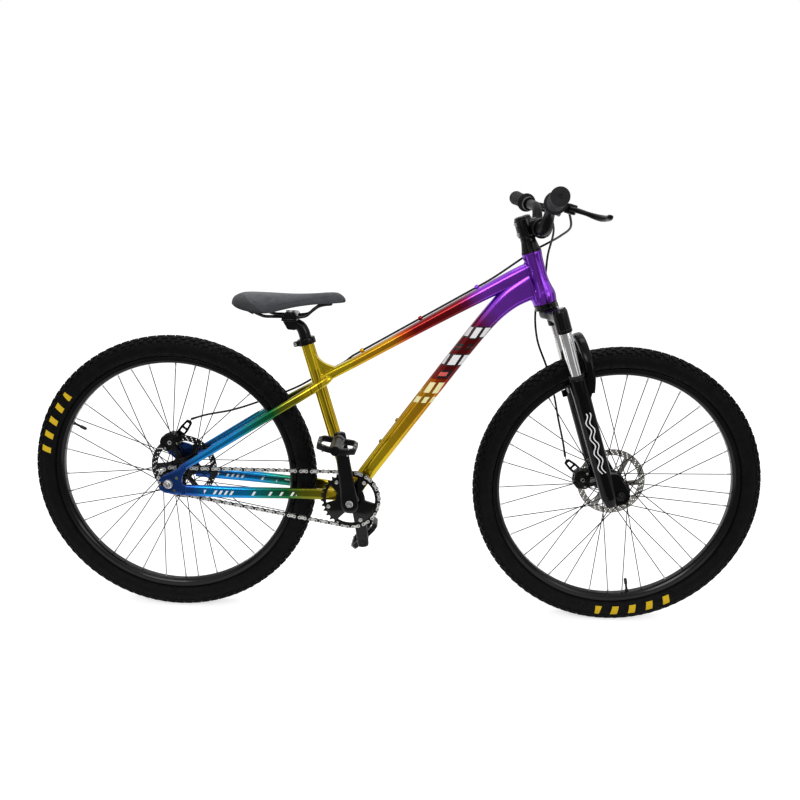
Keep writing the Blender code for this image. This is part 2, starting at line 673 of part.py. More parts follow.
def rail_points():
    """The rails are one bent wire: in at each rear corner, flat through the clamp and round under the nose."""
    half = RAIL_SPACING / 2
    side_run = [(-0.0800, 0.0445, 0.0158), (-0.0670, 0.0400, 0.0080), (-0.0540, 0.0330, 0.0020),
                (-0.0390, half + 0.001, 0.0), (-0.0230, half, 0.0), (0.0230, half, 0.0),
                (0.0360, half - 0.001, 0.0025), (0.0510, 0.0180, 0.0145), (0.0650, 0.0140, 0.0240),
                (0.0800, 0.0095, 0.0276), (0.0900, 0.0040, NOSE_RAIL_HEIGHT - RAIL_HEIGHT)]
    other = [(x, -y, z) for x, y, z in reversed(side_run)]
    return smooth_points([saddle_point(*knot) for knot in [*side_run, *other]], math.radians(30))


def build_saddle_rails():
    place("saddle_rails", piped(rail_points(), RAIL_DIAMETER / 2, 6, Z_AXIS), dark_steel(), POST_HEAD)


# The saddle's plan and profile from tail to nose: ahead of the clamp, half width as a share, top and skirt above
# the rails
SADDLE_STATIONS = [
    (-0.1260, 0.43, 0.0390, 0.0315), (-0.1205, 0.68, 0.0450, 0.0275), (-0.1080, 0.88, 0.0492, 0.0225),
    (-0.0890, 0.98, 0.0504, 0.0175), (-0.0640, 1.00, 0.0502, 0.0133), (-0.0390, 0.93, 0.0497, 0.0130),
    (-0.0140, 0.74, 0.0492, 0.0180), (0.0110, 0.54, 0.0492, 0.0230), (0.0360, 0.40, 0.0502, 0.0265),
    (0.0610, 0.32, 0.0520, 0.0292), (0.0860, 0.285, 0.0542, 0.0308), (0.1050, 0.26, 0.0538, 0.0322),
    (0.1170, 0.21, 0.0475, 0.0332), (0.1235, 0.11, 0.0392, 0.0338)]
SHELL_THICKNESS = 0.0035


def saddle_section(station, top_count):
    """One cross section of the cushion: a crowned top that rolls over the edge, and a floor over the shell."""
    ahead, share, top, skirt = station
    half = share * SADDLE_WIDTH / 2
    points = []
    for step in range(top_count + 1):
        angle = math.pi * step / top_count
        across_share = -math.cos(angle)
        crown = (1 - abs(across_share) ** 2.6) ** 0.55
        points.append(saddle_point(ahead, across_share * half, skirt + (top - skirt) * crown))
    floor = skirt + 0.35 * (top - skirt)
    for share_across in (0.55, 0.0, -0.55):
        points.append(saddle_point(ahead, share_across * half, floor))
    return points


def build_saddle():
    """The padded cushion, and the shell under it with a socket at each rail's end and a pad at the nose."""
    rings = [saddle_section(station, 10) for station in SADDLE_STATIONS]
    place("saddle_cushion", skin(rings), saddle_cover(), POST_HEAD, 60)
    rings = []
    for ahead, share, top, skirt in SADDLE_STATIONS[1:-1]:
        half = share * SADDLE_WIDTH / 2 - 0.004
        floor = skirt + 0.35 * (top - skirt) - 2 * GAP
        foot, roof, lining = half * 0.92, half * 0.52, half * 0.50
        low, under = skirt - 2 * GAP, floor - SHELL_THICKNESS
        section = [(-foot, low), (-roof, floor), (roof, floor), (foot, low), (lining, under), (-lining, under)]
        rings.append([saddle_point(ahead, left, rise) for left, rise in section])
    points = rail_points()
    sockets = []
    bores = []
    for end, inward in ((points[0], points[1]), (points[-1], points[-2])):
        along = (inward - end).normalized()
        sockets.append(rod(end - along * 0.0040, end + along * 0.0070, 0.0066, 8))
        bores.append(rod(end - along * 2 * GAP, end + along * 0.0150, RAIL_DIAMETER / 2 + 2 * GAP, 8))
    pad = NOSE_RAIL_HEIGHT + RAIL_DIAMETER / 2 + GAP
    sockets.append(block(Vector((POST_HEAD.x + 0.0850, 0, pad + 0.0020)), (0.0190, 0.0110, 0.0040)))
    place("saddle_shell", combine(skin(rings), sockets, bores), saddle_base(), POST_HEAD)


def build_fork_upper():
    """The crown with its steerer, and the two stanchions pressed into it."""
    steerer = rod(head_point(STEM_TOP + 0.002), head_point(CROWN_SEAT + 0.012), STEERER_RADIUS, 14)
    half_bridge = [(0.0, 0.0132, 0.0030, 0.0225, 0.0126), (0.020, 0.0140, 0.0060, 0.0190, 0.0128),
                   (0.040, 0.0180, 0.0125, 0.0150, 0.0150), (LEG_SIDE, 0.0250, LEG_OFFSET, 0.0150, 0.0160)]
    sections = [(-y, *rest) for y, *rest in reversed(half_bridge[1:])] + half_bridge
    bridge = skin([oval(head_point(CROWN_SEAT + down, forward, y), STEER_FORWARD, STEER_DOWN, reach, height, 10, 3.0)
                   for y, down, forward, reach, height in sections])
    socket_radius = STANCHION_RADIUS + 0.0030
    sockets = []
    bores = [rod(head_point(STEM_TOP - 0.02), head_point(CROWN_SEAT + 0.045), 0.0115, 12)]
    for side in (-1, 1):
        foot = head_point(0, LEG_OFFSET, side * LEG_SIDE)
        sockets.append(turned([(socket_radius - 0.002, CROWN_SEAT + 0.0025), (socket_radius, CROWN_SEAT + 0.0050),
                               (socket_radius, SOCKET_BOTTOM)], foot, STEER_DOWN, 14))
        bores.append(turned([(STANCHION_RADIUS + 2 * GAP, STANCHION_TOP),
                             (STANCHION_RADIUS + 2 * GAP, SOCKET_BOTTOM + 0.01)], foot, STEER_DOWN, 14))
    place("fork_crown", combine(bridge, [steerer, *sockets], bores), gloss_black(), HEAD_TOP)
    for side, name in ((-1, "right"), (1, "left")):
        foot = head_point(0, LEG_OFFSET, side * LEG_SIDE)
        shape = turned([(STANCHION_RADIUS, STANCHION_TOP + GAP), (STANCHION_RADIUS, LEG_TOP + STANCHION_OVERLAP)],
                       foot, STEER_DOWN, 14)
        place("stanchion_" + name, shape, chrome_tube(), HEAD_TOP)


def leg_shape(side):
    """One lower leg, with its reinforced top where the arch joins it."""
    foot = head_point(0, LEG_OFFSET, side * LEG_SIDE)
    return turned([(LEG_RADIUS - 0.0012, LEG_TOP), (LEG_RADIUS + 0.0010, LEG_TOP + 0.004),
                   (LEG_RADIUS + 0.0010, LEG_TOP + 0.035), (LEG_RADIUS, LEG_TOP + 0.060),
                   (LEG_RADIUS - 0.0006, LEG_BOTTOM - 0.030), (LEG_RADIUS - 0.0070, LEG_BOTTOM)],
                  foot, STEER_DOWN, 12)


# The arch's right half from the leg's front: left, down from the leg's top, forward
ARCH_PATH = [(-LEG_SIDE, 0.040, 0.0370), (-LEG_SIDE, 0.007, 0.0468), (-0.0600, -0.027, 0.0500),
             (-0.0400, -0.059, 0.0510), (-0.0150, -0.072, 0.0510)]


def fork_arch():
    """The arch that ties the two lower legs together over the tyre, in front of the crown."""
    path = [*ARCH_PATH, *[(-y, t, p) for y, t, p in reversed(ARCH_PATH)]]
    halves = [0.0080, 0.0105, 0.0105, 0.0095, 0.0090]
    halves = [*halves, *reversed(halves)]
    points = [head_point(LEG_TOP + t, p, y) for y, t, p in path]
    rings = []
    for index, centre in enumerate(points):
        heading = (points[min(index + 1, len(points) - 1)] - points[max(index - 1, 0)]).normalized()
        ahead = (STEER_FORWARD - heading * heading.dot(STEER_FORWARD)).normalized()
        outward = heading.cross(ahead)
        rings.append(oval(centre, ahead, outward, 0.0105, halves[index], 8, 3.0))
    return skin(rings)


def dropout_lug(side):
    """The forged foot of a lower leg, which reaches forward to the axle."""
    middle = side * (FRONT_FACE + GAP + 0.0060)
    axle_hole = circle(FRONT_AXLE_DIAMETER / 2 + 2 * GAP, 10, (FORK_RAKE, AXLE_DOWN))
    outline = [(0.012, AXLE_DOWN - 0.060), (0.030, AXLE_DOWN - 0.060), (0.052, AXLE_DOWN - 0.052),
               *arc((FORK_RAKE, AXLE_DOWN), 0.0215, -35, 100, 5), (0.020, LEG_BOTTOM + 0.003),
               (0.010, LEG_BOTTOM - 0.010)]
    return plate(outline, [axle_hole], head_point(0, 0, middle), STEER_FORWARD, STEER_DOWN, 0.0120)


FRONT_CALIPER = (AXLE_DOWN - 0.0274, -0.0205)


def caliper_tab():
    """The post on the left leg that the front brake is bolted to."""
    down, forward = FRONT_CALIPER
    side = FRONT_ROTOR_SIDE + CALIPER_HALF_WIDTH + GAP + 0.0030
    outline = [(forward - 0.012, down + 0.010), (0.012, down - 0.004), (0.014, down + 0.030), (0.000, down + 0.034),
               (forward - 0.010, down + 0.026)]
    return plate(outline, [], head_point(0, 0, side), STEER_FORWARD, STEER_DOWN, 0.0060)


def build_fork_lowers():
    joined = [dropout_lug(-1), dropout_lug(1), caliper_tab()]
    bores = []
    for side in (-1, 1):
        foot = head_point(0, LEG_OFFSET, side * LEG_SIDE)
        outline = [(0.020, LEG_TOP + 0.003), (0.038, LEG_TOP + 0.003), (0.039, LEG_TOP - 0.006),
                   (0.047, LEG_TOP - 0.006), (0.0460, LEG_TOP + 0.030), (0.0310, LEG_TOP + 0.058),
                   (0.020, LEG_TOP + 0.058)]
        joined.append(plate(outline, [], head_point(0, 0, side * LEG_SIDE), STEER_FORWARD, STEER_DOWN, 0.0180))
        joined.append(leg_shape(side))
        bores.append(turned([(STANCHION_RADIUS + 2 * GAP, LEG_TOP - 0.02),
                             (STANCHION_RADIUS + 2 * GAP, LEG_TOP + BORE_DEPTH)], foot, STEER_DOWN, 14))
    joined.append(block(head_point(LEG_TOP + 0.062, -0.0045, LEG_SIDE), (0.0120, 0.0080, 0.0160), STEER_TURN))
    place("fork_lowers", combine(fork_arch(), joined, bores), gloss_black(), HEAD_TOP)
    for side, name in ((-1, "right"), (1, "left")):
        foot = head_point(0, LEG_OFFSET, side * LEG_SIDE)
        inner = STANCHION_RADIUS + 2 * GAP
        seal = turned([(inner, LEG_TOP - 0.0065), (inner + 0.0020, LEG_TOP - 0.0065),
                       (LEG_RADIUS - 0.0016, LEG_TOP - GAP), (inner, LEG_TOP - GAP)],
                      foot, STEER_DOWN, 12, ring=True)
        place("dust_seal_" + name, seal, grip_rubber(), HEAD_TOP)


def caliper_body(centre, tangent, radial, side):
    """A disc brake caliper with its slot for the rotor, open towards the hub. Radial points away from the hub."""
    half_length, low, high = 0.0225, -0.0175, 0.0200
    outline = [(-half_length, low + 0.006), (-half_length + 0.006, low), (half_length - 0.006, low),
               (half_length, low + 0.006), (half_length, high - 0.010), (half_length - 0.010, high),
               (-half_length + 0.010, high), (-half_length, high - 0.010)]
    origin = centre + Y_AXIS * side
    body = plate(outline, [], origin, tangent, radial, 2 * CALIPER_HALF_WIDTH)
    turn = Matrix((tangent, Y_AXIS, radial)).transposed()
    slot = block(origin - radial * 0.0140, (0.080, CALIPER_SLOT, 0.056), turn)
    recess = block(origin + radial * high, (0.018, 0.0140, 0.0060), turn)
    return combine(body, [], [slot, recess])


def caliper_arm(pivot, reach, width_axis, side, bore):
    """The arm that the cable pulls, with a boss at its pivot and two windows."""
    length = reach.length
    along = reach.normalized()
    outline = [*arc((0, 0), 0.0110, 110, 250, 5), (length * 0.55, -0.0100), (length, -0.0065), (length + 0.0030, 0.0),
               (length, 0.0085), (length * 0.55, 0.0110)]
    windows = [[(0.0125, -0.0055), (length * 0.50, -0.0050), (length * 0.50, 0.0055), (0.0125, 0.0055)],
               [(length * 0.60, -0.0045), (length * 0.90, -0.0025), (length * 0.90, 0.0040), (length * 0.60, 0.0055)]]
    holes = [circle(bore, 10), *windows]
    return plate(outline, holes, pivot + Y_AXIS * side, along, width_axis, 0.0045)


REAR_CALIPER = REAR_AXLE + Vector((-0.0290, 0, 0.0640))
ARM_PIVOT_RADIUS = 0.0040


def build_brake(prefix, centre, tangent, radial, rotor_side, pivot_shift, reach):
    """One disc brake: its body with a pivot pin, and the arm that turns on the pin."""
    outer = rotor_side + CALIPER_HALF_WIDTH
    pivot = centre + pivot_shift
    body = caliper_body(centre, tangent, radial, rotor_side)
    pin = rod(pivot + Y_AXIS * (outer - 0.002), pivot + Y_AXIS * (outer + 0.0062), ARM_PIVOT_RADIUS, 12)
    place(prefix + "_caliper", combine(body, [pin]), satin_black(), pivot)
    arm_side = outer + GAP + 0.0045 / 2
    width_axis = Vector((-reach.z, 0, reach.x)).normalized()
    arm = caliper_arm(pivot, reach, width_axis, arm_side, ARM_PIVOT_RADIUS + 2 * GAP)
    place(prefix + "_caliper_arm", arm, satin_black(), pivot)


def front_caliper_layout():
    down, forward = FRONT_CALIPER
    centre = head_point(down, forward)
    radial = (centre - FRONT_AXLE).normalized()
    tangent = Vector((radial.z, 0, -radial.x))
    pivot_shift = head_point(down - 0.008, forward) - centre
    reach = head_point(AXLE_DOWN - 0.0734, -0.042) - (centre + pivot_shift)
    return centre, tangent, radial, pivot_shift, reach


def rear_caliper_layout():
    radial = (REAR_CALIPER - REAR_AXLE).normalized()
    tangent = Vector((radial.z, 0, -radial.x))
    pivot_shift = Vector((0.0146, 0, 0.0090))
    reach = Vector((-0.5020, 0, 0.4420)) - (REAR_CALIPER + pivot_shift)
    return REAR_CALIPER, tangent, radial, pivot_shift, reach


def build_brakes():
    centre, tangent, radial, pivot_shift, reach = front_caliper_layout()
    build_brake("front", centre, tangent, radial, FRONT_ROTOR_SIDE, pivot_shift, reach)
    centre, tangent, radial, pivot_shift, reach = rear_caliper_layout()
    build_brake("rear", centre, tangent, radial, REAR_ROTOR_SIDE, pivot_shift, reach)


def hex_nut(centre, axis, bore, flats, low, high):
    """A hexagon nut with a round bore, flanged where it bears."""
    first, second = across(axis)
    rows = []
    for step in range(12):
        angle = math.pi / 6 * step
        outward = first * math.cos(angle) + second * math.sin(angle)
        corner = flats / 2 / (math.cos(math.pi / 6) if step % 2 == 0 else 1)
        profile = [(bore, low), (flats / 2 + 0.0030, low), (corner, low + 0.0018), (corner, high), (bore, high)]
        rows.append([centre + axis * along + outward * radius for radius, along in profile])
    return skin(rows, closed_loop=True)


def build_axles():
    """Both axles with a nut at each end."""
    front_outer = FRONT_FACE + GAP + 0.0120
    rear_outer = REAR_FACE + DROPOUT_THICKNESS
    for prefix, centre, outer, diameter in (("front", FRONT_AXLE, front_outer, FRONT_AXLE_DIAMETER),
                                            ("rear", REAR_AXLE, rear_outer, REAR_AXLE_DIAMETER)):
        end = outer + 0.0105
        radius = diameter / 2
        place(prefix + "_axle", rod(centre - Y_AXIS * end, centre + Y_AXIS * end, radius, 10), bright_steel(), centre)
        for side, name in ((-1, "right"), (1, "left")):
            nut = hex_nut(centre, Y_AXIS * side, radius + 2 * GAP, 0.0150, outer + GAP, outer + 0.0082)
            place(f"{prefix}_axle_nut_{name}", nut, dark_steel(), centre)


def tooth_outline(teeth, pitch_radius):
    """A sprocket's edge: for each tooth a valley that clears the chain's roller, two flanks and a tip."""
    step = 2 * math.pi / teeth
    valley = pitch_radius - ROLLER_HEIGHT - ROLLER_HALF * math.sin(step / 2) - GAP - 0.0001
    tip = pitch_radius + 0.0026
    half_valley = (ROLLER_HALF + GAP) / pitch_radius
    points = []
    for tooth in range(teeth):
        roller = tooth * step
        points += [(valley, roller - half_valley), (valley, roller + half_valley), (tip, roller + step / 2)]
    return [(radius * math.cos(angle), radius * math.sin(angle)) for radius, angle in points]


def flat_point(centre, radius, angle):
    return centre + radius * Vector((math.cos(angle), math.sin(angle)))


def chain_rollers():
    """The rollers' places in the X-Z plane, clockwise from the ring's top, with each sprocket's first angle."""
    ring_centre = Vector((BB_CENTRE.x, BB_CENTRE.z))
    cog_centre = Vector((REAR_AXLE.x, REAR_AXLE.z))
    span = ring_centre - cog_centre
    heading = math.atan2(span.y, span.x)
    spread = math.asin((RING_RADIUS - COG_RADIUS) / span.length)
    straight = span.length * math.cos(spread)
    ring_arc = math.pi + 2 * spread
    cog_arc = math.pi - 2 * spread
    ring_step = 2 * math.pi / RING_TEETH
    cog_step = 2 * math.pi / COG_TEETH
    ring_top = heading + math.pi / 2 + spread
    cog_top = ring_top
    on_ring = [ring_top - ring_step * index for index in range(int(ring_arc / ring_step) + 1)]
    points = [flat_point(ring_centre, RING_RADIUS, angle) for angle in on_ring]
    upper = int(straight / CHAIN_PITCH)
    overrun = (CHAIN_PITCH * (upper + 1) - straight) / COG_RADIUS
    count = int((cog_arc - overrun) / cog_step) + 1
    on_cog = [cog_top + overrun + cog_step * index for index in reversed(range(count))]
    lower_start = ring_arc - ring_step * (len(on_ring) - 1)
    lower_end = cog_arc - overrun - cog_step * (count - 1)
    lower_length = lower_start * RING_RADIUS + straight + lower_end * COG_RADIUS
    lower = round(lower_length / CHAIN_PITCH)
    if (len(on_ring) + lower - 1 + count + upper) % 2:
        lower += 1 if lower_length / CHAIN_PITCH > lower else -1
    leave = flat_point(ring_centre, RING_RADIUS, on_ring[0] - ring_arc)
    arrive = flat_point(cog_centre, COG_RADIUS, cog_top + cog_arc)
    for index in range(1, lower):
        run = lower_length * index / lower - lower_start * RING_RADIUS
        if run < 0:
            points.append(flat_point(ring_centre, RING_RADIUS, on_ring[0] - ring_arc - run / RING_RADIUS))
        elif run > straight:
            points.append(flat_point(cog_centre, COG_RADIUS, cog_top + cog_arc - (run - straight) / COG_RADIUS))
        else:
            points.append(leave.lerp(arrive, run / straight))
    points += [flat_point(cog_centre, COG_RADIUS, angle) for angle in on_cog]
    toward_ring = (points[0] - flat_point(cog_centre, COG_RADIUS, cog_top)).normalized()
    points += [points[0] - toward_ring * CHAIN_PITCH * index for index in range(upper, 0, -1)]
    return points, ring_top, on_cog[-1]


def chain_corners(points, index, shift, side, outer):
    """The two inside corners of a side plate's section, a little before or after a roller."""
    here = points[index]
    after = points[(index + 1) % len(points)]
    before = points[index - 1]
    heading = ((after - here) if shift > 0 else (here - before)).normalized()
    normal = Vector((-heading.y, heading.x))
    centre = here + heading * shift
    depth = INNER_PLATE + (PLATE_THICKNESS if outer else 0)
    flats = [centre + normal * height for height in (ROLLER_HEIGHT, -ROLLER_HEIGHT)]
    return [Vector((flat.x, -CHAIN_LINE + side * depth, flat.y)) for flat in flats]


def build_chain():
    """The whole chain as one body: two rows of plates, inner and outer by turns, with a roller at each joint."""
    points = chain_rollers()[0]
    shape = bmesh.new()
    rows = {}
    for side in (-1, 1):
        rows[side] = []
        ridges = []
        for index, point in enumerate(points):
            ridge = Vector((point.x, -CHAIN_LINE + side * (INNER_PLATE + 2 * PLATE_THICKNESS), point.y))
            ridges.append(shape.verts.new(ridge))
            for shift in (-ROLLER_HALF, ROLLER_HALF):
                outer = (index + (1 if shift > 0 else 0)) % 2 == 0
                corners = chain_corners(points, index, shift, side, outer)
                rows[side].append([shape.verts.new(corner) for corner in corners])
        for index in range(len(points)):
            before, after = rows[side][2 * index], rows[side][2 * index + 1]
            following = rows[side][(2 * index + 2) % (2 * len(points))]
            pin, next_pin = ridges[index], ridges[(index + 1) % len(points)]
            shape.faces.new((before[0], after[0], pin))
            shape.faces.new((after[1], before[1], pin))
            shape.faces.new((after[0], following[0], next_pin, pin))
            shape.faces.new((following[1], after[1], pin, next_pin))
            shape.faces.new((following[0], after[0], after[1], following[1]))
    for index in range(0, len(rows[1]), 2):
        corners = [(rows[1][index + shift][corner], rows[-1][index + shift][corner])
                   for shift, corner in ((0, 0), (0, 1), (1, 1), (1, 0))]
        for (near_a, far_a), (near_b, far_b) in zip(corners, corners[1:] + corners[:1]):
            shape.faces.new((near_a, near_b, far_b, far_a))
    place("chain", shape, bright_steel(), BB_CENTRE)


def turned_outline(points, angle):
    cosine, sine = math.cos(angle), math.sin(angle)
    return [(x * cosine - y * sine, x * sine + y * cosine) for x, y in points]


# The chainring's windows: each one's middle angle and half its width, in degrees
RING_WINDOWS = [(-96, 25), (19, 27), (95, 23), (167, 23)]


def build_chainring():
    angle = chain_rollers()[1]
    outline = turned_outline(tooth_outline(RING_TEETH, RING_RADIUS), angle)
    windows = []
    for middle, half in RING_WINDOWS:
        windows.append([*arc((0, 0), 0.0570, middle - half, middle + half, 4),
                        *arc((0, 0), 0.0340, middle + half - 7, middle - half + 7, 2)])
    holes = [circle(CRANK_BOSS_RADIUS + 2 * GAP, 12), *windows]
    shape = plate(outline, holes, BB_CENTRE - Y_AXIS * CHAIN_LINE, Vector((1, 0, 0)), Z_AXIS, TOOTH_THICKNESS)
    place("chainring", shape, satin_black(), BB_CENTRE)


def build_cog():
    """The freewheel: its toothed ring on the body that screws onto the hub."""
    angle = chain_rollers()[2]
    outline = turned_outline(tooth_outline(COG_TEETH, COG_RADIUS), angle)
    hole = circle(0.0200, 8)
    teeth = plate(outline, [hole], REAR_AXLE - Y_AXIS * CHAIN_LINE, Vector((1, 0, 0)), Z_AXIS, TOOTH_THICKNESS)
    body = turned([(COG_BORE, 0.0375), (0.0222, 0.0375), (0.0222, 0.0540), (COG_BORE, 0.0540)], REAR_AXLE, -Y_AXIS,
                  12, ring=True)
    place("freewheel_cog", combine(body, [teeth]), dark_steel(), REAR_AXLE)


def crank_direction(side):
    """The way from the spindle to the pedal. The right crank stands up and the left one hangs down."""
    upward = Vector((-math.sin(CRANK_LEAN), 0, math.cos(CRANK_LEAN)))
    return upward if side < 0 else -upward


def build_crank_arm(side, name):
    along = crank_direction(side)
    pedal_centre = BB_CENTRE + along * CRANK_LENGTH
    wide = along.cross(Y_AXIS)
    inner = CRANK_INNER
    sections = [(-0.0200, 0.0125, 0.0), (-0.0060, 0.0205, 0.0), (0.0300, 0.0185, 0.0),
                (CRANK_LENGTH - 0.050, 0.0155, CRANK_FLARE * 0.85), (CRANK_LENGTH + 0.0040, 0.0140, CRANK_FLARE),
                (CRANK_LENGTH + 0.0130, 0.0075, CRANK_FLARE)]
    rings = []
    for run, half, flare in sections:
        middle = BB_CENTRE + along * run + Y_AXIS * side * (inner + CRANK_THICKNESS / 2 + flare)
        rings.append(oval(middle, wide, Y_AXIS, half, CRANK_THICKNESS / 2, 8, 3.4))
    arm = skin(rings)
    boss = rod(BB_CENTRE + Y_AXIS * side * 0.0400, BB_CENTRE + Y_AXIS * side * (inner + 0.004), CRANK_BOSS_RADIUS, 12)
    joined = [boss]
    if side < 0:
        outline = []
        for (middle, half), (next_middle, next_half) in zip(RING_WINDOWS, RING_WINDOWS[1:] + RING_WINDOWS[:1]):
            next_middle += 360 if next_middle < middle else 0
            outline += [*arc((0, 0), 0.0325, middle - half + 9, middle + half - 9, 2),
                        *arc((0, 0), 0.0600, middle + half + 2, next_middle - next_half - 2, 3)]
        plane = CHAIN_LINE + TOOTH_THICKNESS / 2 + GAP
        spider = plate(outline, [], BB_CENTRE - Y_AXIS * (plane + 0.0020), Vector((1, 0, 0)), Z_AXIS, 0.0040)
        cone = turned([(0.0250, plane + 0.0030), (0.0190, inner + 0.003)], BB_CENTRE, Y_AXIS * side, 12)
        joined += [spider, cone]
    bore = rod(BB_CENTRE + Y_AXIS * side * 0.03, BB_CENTRE + Y_AXIS * side * 0.10, SPINDLE_RADIUS + 2 * GAP, 12)
    pedal_bore = rod(pedal_centre + Y_AXIS * side * 0.05, pedal_centre + Y_AXIS * side * 0.11,
                     PEDAL_AXLE_RADIUS + 2 * GAP, 10)
    place("crank_arm_" + name, combine(arm, joined, [bore, pedal_bore]), gloss_black(), BB_CENTRE)


def build_spindle():
    end = CRANK_INNER + CRANK_THICKNESS - 0.003
    profile = [(0.0055, -end - 0.0045), (SPINDLE_RADIUS, -end - 0.0030), (SPINDLE_RADIUS, end + 0.0030),
               (0.0055, end + 0.0045)]
    place("crank_spindle", turned(profile, BB_CENTRE, Y_AXIS, 12), bright_steel(), BB_CENTRE)


def build_pedal(side, name, tilt):
    along = crank_direction(side)
    centre = BB_CENTRE + along * CRANK_LENGTH
    length, width, height = PEDAL_SIZE
    outer_end = PEDAL_INNER + width
    axle_profile = [(PEDAL_AXLE_RADIUS, CRANK_OUTER - CRANK_THICKNESS + 0.001), (PEDAL_AXLE_RADIUS, CRANK_OUTER + GAP),
                    (0.0095, CRANK_OUTER + GAP), (0.0095, PEDAL_INNER - 0.0035), (0.0060, PEDAL_INNER - 0.0035),
                    (0.0048, outer_end - 0.012)]
    place("pedal_axle_" + name, turned(axle_profile, centre, Y_AXIS * side, 10), dark_steel(), centre)
    forward = Vector((math.cos(tilt), 0, -math.sin(tilt)))
    outward = Y_AXIS * side
    half = length / 2
    outline = [(-half + 0.010, 0), (half - 0.010, 0), (half, 0.014), (half - 0.002, width - 0.016),
               (half - 0.020, width - 0.004), (0.012, width), (-0.012, width), (-half + 0.020, width - 0.004),
               (-half + 0.002, width - 0.016), (-half, 0.014)]
    windows = [[(0.0135, 0.0085), (half - 0.012, 0.0085), (half - 0.0085, 0.0165), (half - 0.0105, width - 0.0215),
                (half - 0.0240, width - 0.0125), (0.0135, width - 0.0090)]]
    windows.append([(-x, y) for x, y in reversed(windows[0])])
    body = plate(outline, windows, centre + outward * PEDAL_INNER, forward, outward, height)
    barrel = rod(centre + outward * (PEDAL_INNER - 0.003), centre + outward * (outer_end + 0.001), 0.0125, 10)
    bore = rod(centre + outward * (PEDAL_INNER - 0.02), centre + outward * (outer_end - 0.0110), 0.0066, 10)
    place("pedal_" + name, combine(body, [barrel], [bore]), satin_black(), centre)


def tyre_profile(sunk):
    """The tyre's section from one bead to the other, with the tread lowered where sunk."""
    half = TYRE_WIDTH / 2
    crown = TYRE_RADIUS - (TREAD_DEPTH if sunk else 0)
    side = [(RIM_FLANGE_RADIUS - 0.0036, RIM_WIDTH / 2 - 0.0028), (RIM_FLANGE_RADIUS + 0.0008, RIM_WIDTH / 2 - 0.0028),
            (TYRE_RADIUS - half, half), (TYRE_RADIUS - 0.0110, half - (0.0040 if sunk else 0.0024)),
            (crown, half * 0.42)]
    return [(radius, -y) for radius, y in side] + [(radius, y) for radius, y in reversed(side)]


def build_tyre(name, centre):
    rows = []
    for step in range(WHEEL_SEGMENTS):
        angle = 2 * math.pi * step / WHEEL_SEGMENTS
        outward = Vector((math.cos(angle), 0, math.sin(angle)))
        rows.append([centre + outward * radius + Y_AXIS * y for radius, y in tyre_profile(step % 2 == 1)])
    place(name, skin(rows, closed_loop=True), tyre_rubber(), centre, 50)


def build_rim(name, centre):
    half = RIM_WIDTH / 2
    side = [(RIM_INNER_RADIUS, half - 0.0075), (RIM_INNER_RADIUS + 0.0060, half - 0.0004),
            (RIM_FLANGE_RADIUS, half), (RIM_FLANGE_RADIUS - 0.0043, half - 0.0022)]
    profile = [(radius, -y) for radius, y in side] + [(radius, y) for radius, y in reversed(side)]
    rows = []
    for step in range(WHEEL_SEGMENTS):
        angle = 2 * math.pi * step / WHEEL_SEGMENTS
        outward = Vector((math.cos(angle), 0, math.sin(angle)))
        rows.append([centre + outward * radius + Y_AXIS * y for radius, y in profile])
    place(name, skin(rows, closed_loop=True), gloss_black(), centre)


def wheel_spokes(centre, right_flange, left_flange):
    """Crossed spokes, from the flanges' edges to the rim. Neighbours lie side by side, so that they pass each other."""
    per_side = SPOKES // 2
    swing = CROSSINGS * 2 * math.pi / per_side + math.radians(1.5)
    made = []
    for flange, side in ((right_flange, -1), (left_flange, 1)):
        turn_by = 0 if side < 0 else math.pi / per_side
        for index in range(per_side):
            hub_angle = 2 * math.pi * index / per_side + turn_by
            leads = 1 if index % 2 == 0 else -1
            rim_angle = hub_angle + leads * swing
            shift = side * leads * SPOKE_DIAMETER * 0.56
            inner = Vector((math.cos(hub_angle), 0, math.sin(hub_angle))) * (FLANGE_RADIUS - 0.0020)
            outer = Vector((math.cos(rim_angle), 0, math.sin(rim_angle))) * (RIM_FLAT_RADIUS - GAP - 0.0003)
            start = centre + inner + Y_AXIS * (flange + shift)
            end = centre + outer + Y_AXIS * (shift + side * 0.0025)
            made.append(rod(start, end, SPOKE_DIAMETER / 2, 3))
    return made


def build_hub(name, centre, profile, right_flange, left_flange, axle_radius):
    hub = turned(profile, centre, Y_AXIS, 12)
    spokes = wheel_spokes(centre, right_flange, left_flange)
    bore = rod(centre - Y_AXIS * 0.09, centre + Y_AXIS * 0.09, axle_radius + 2 * GAP, 10)
    place(name, combine(hub, spokes, [bore]), satin_black(), centre)


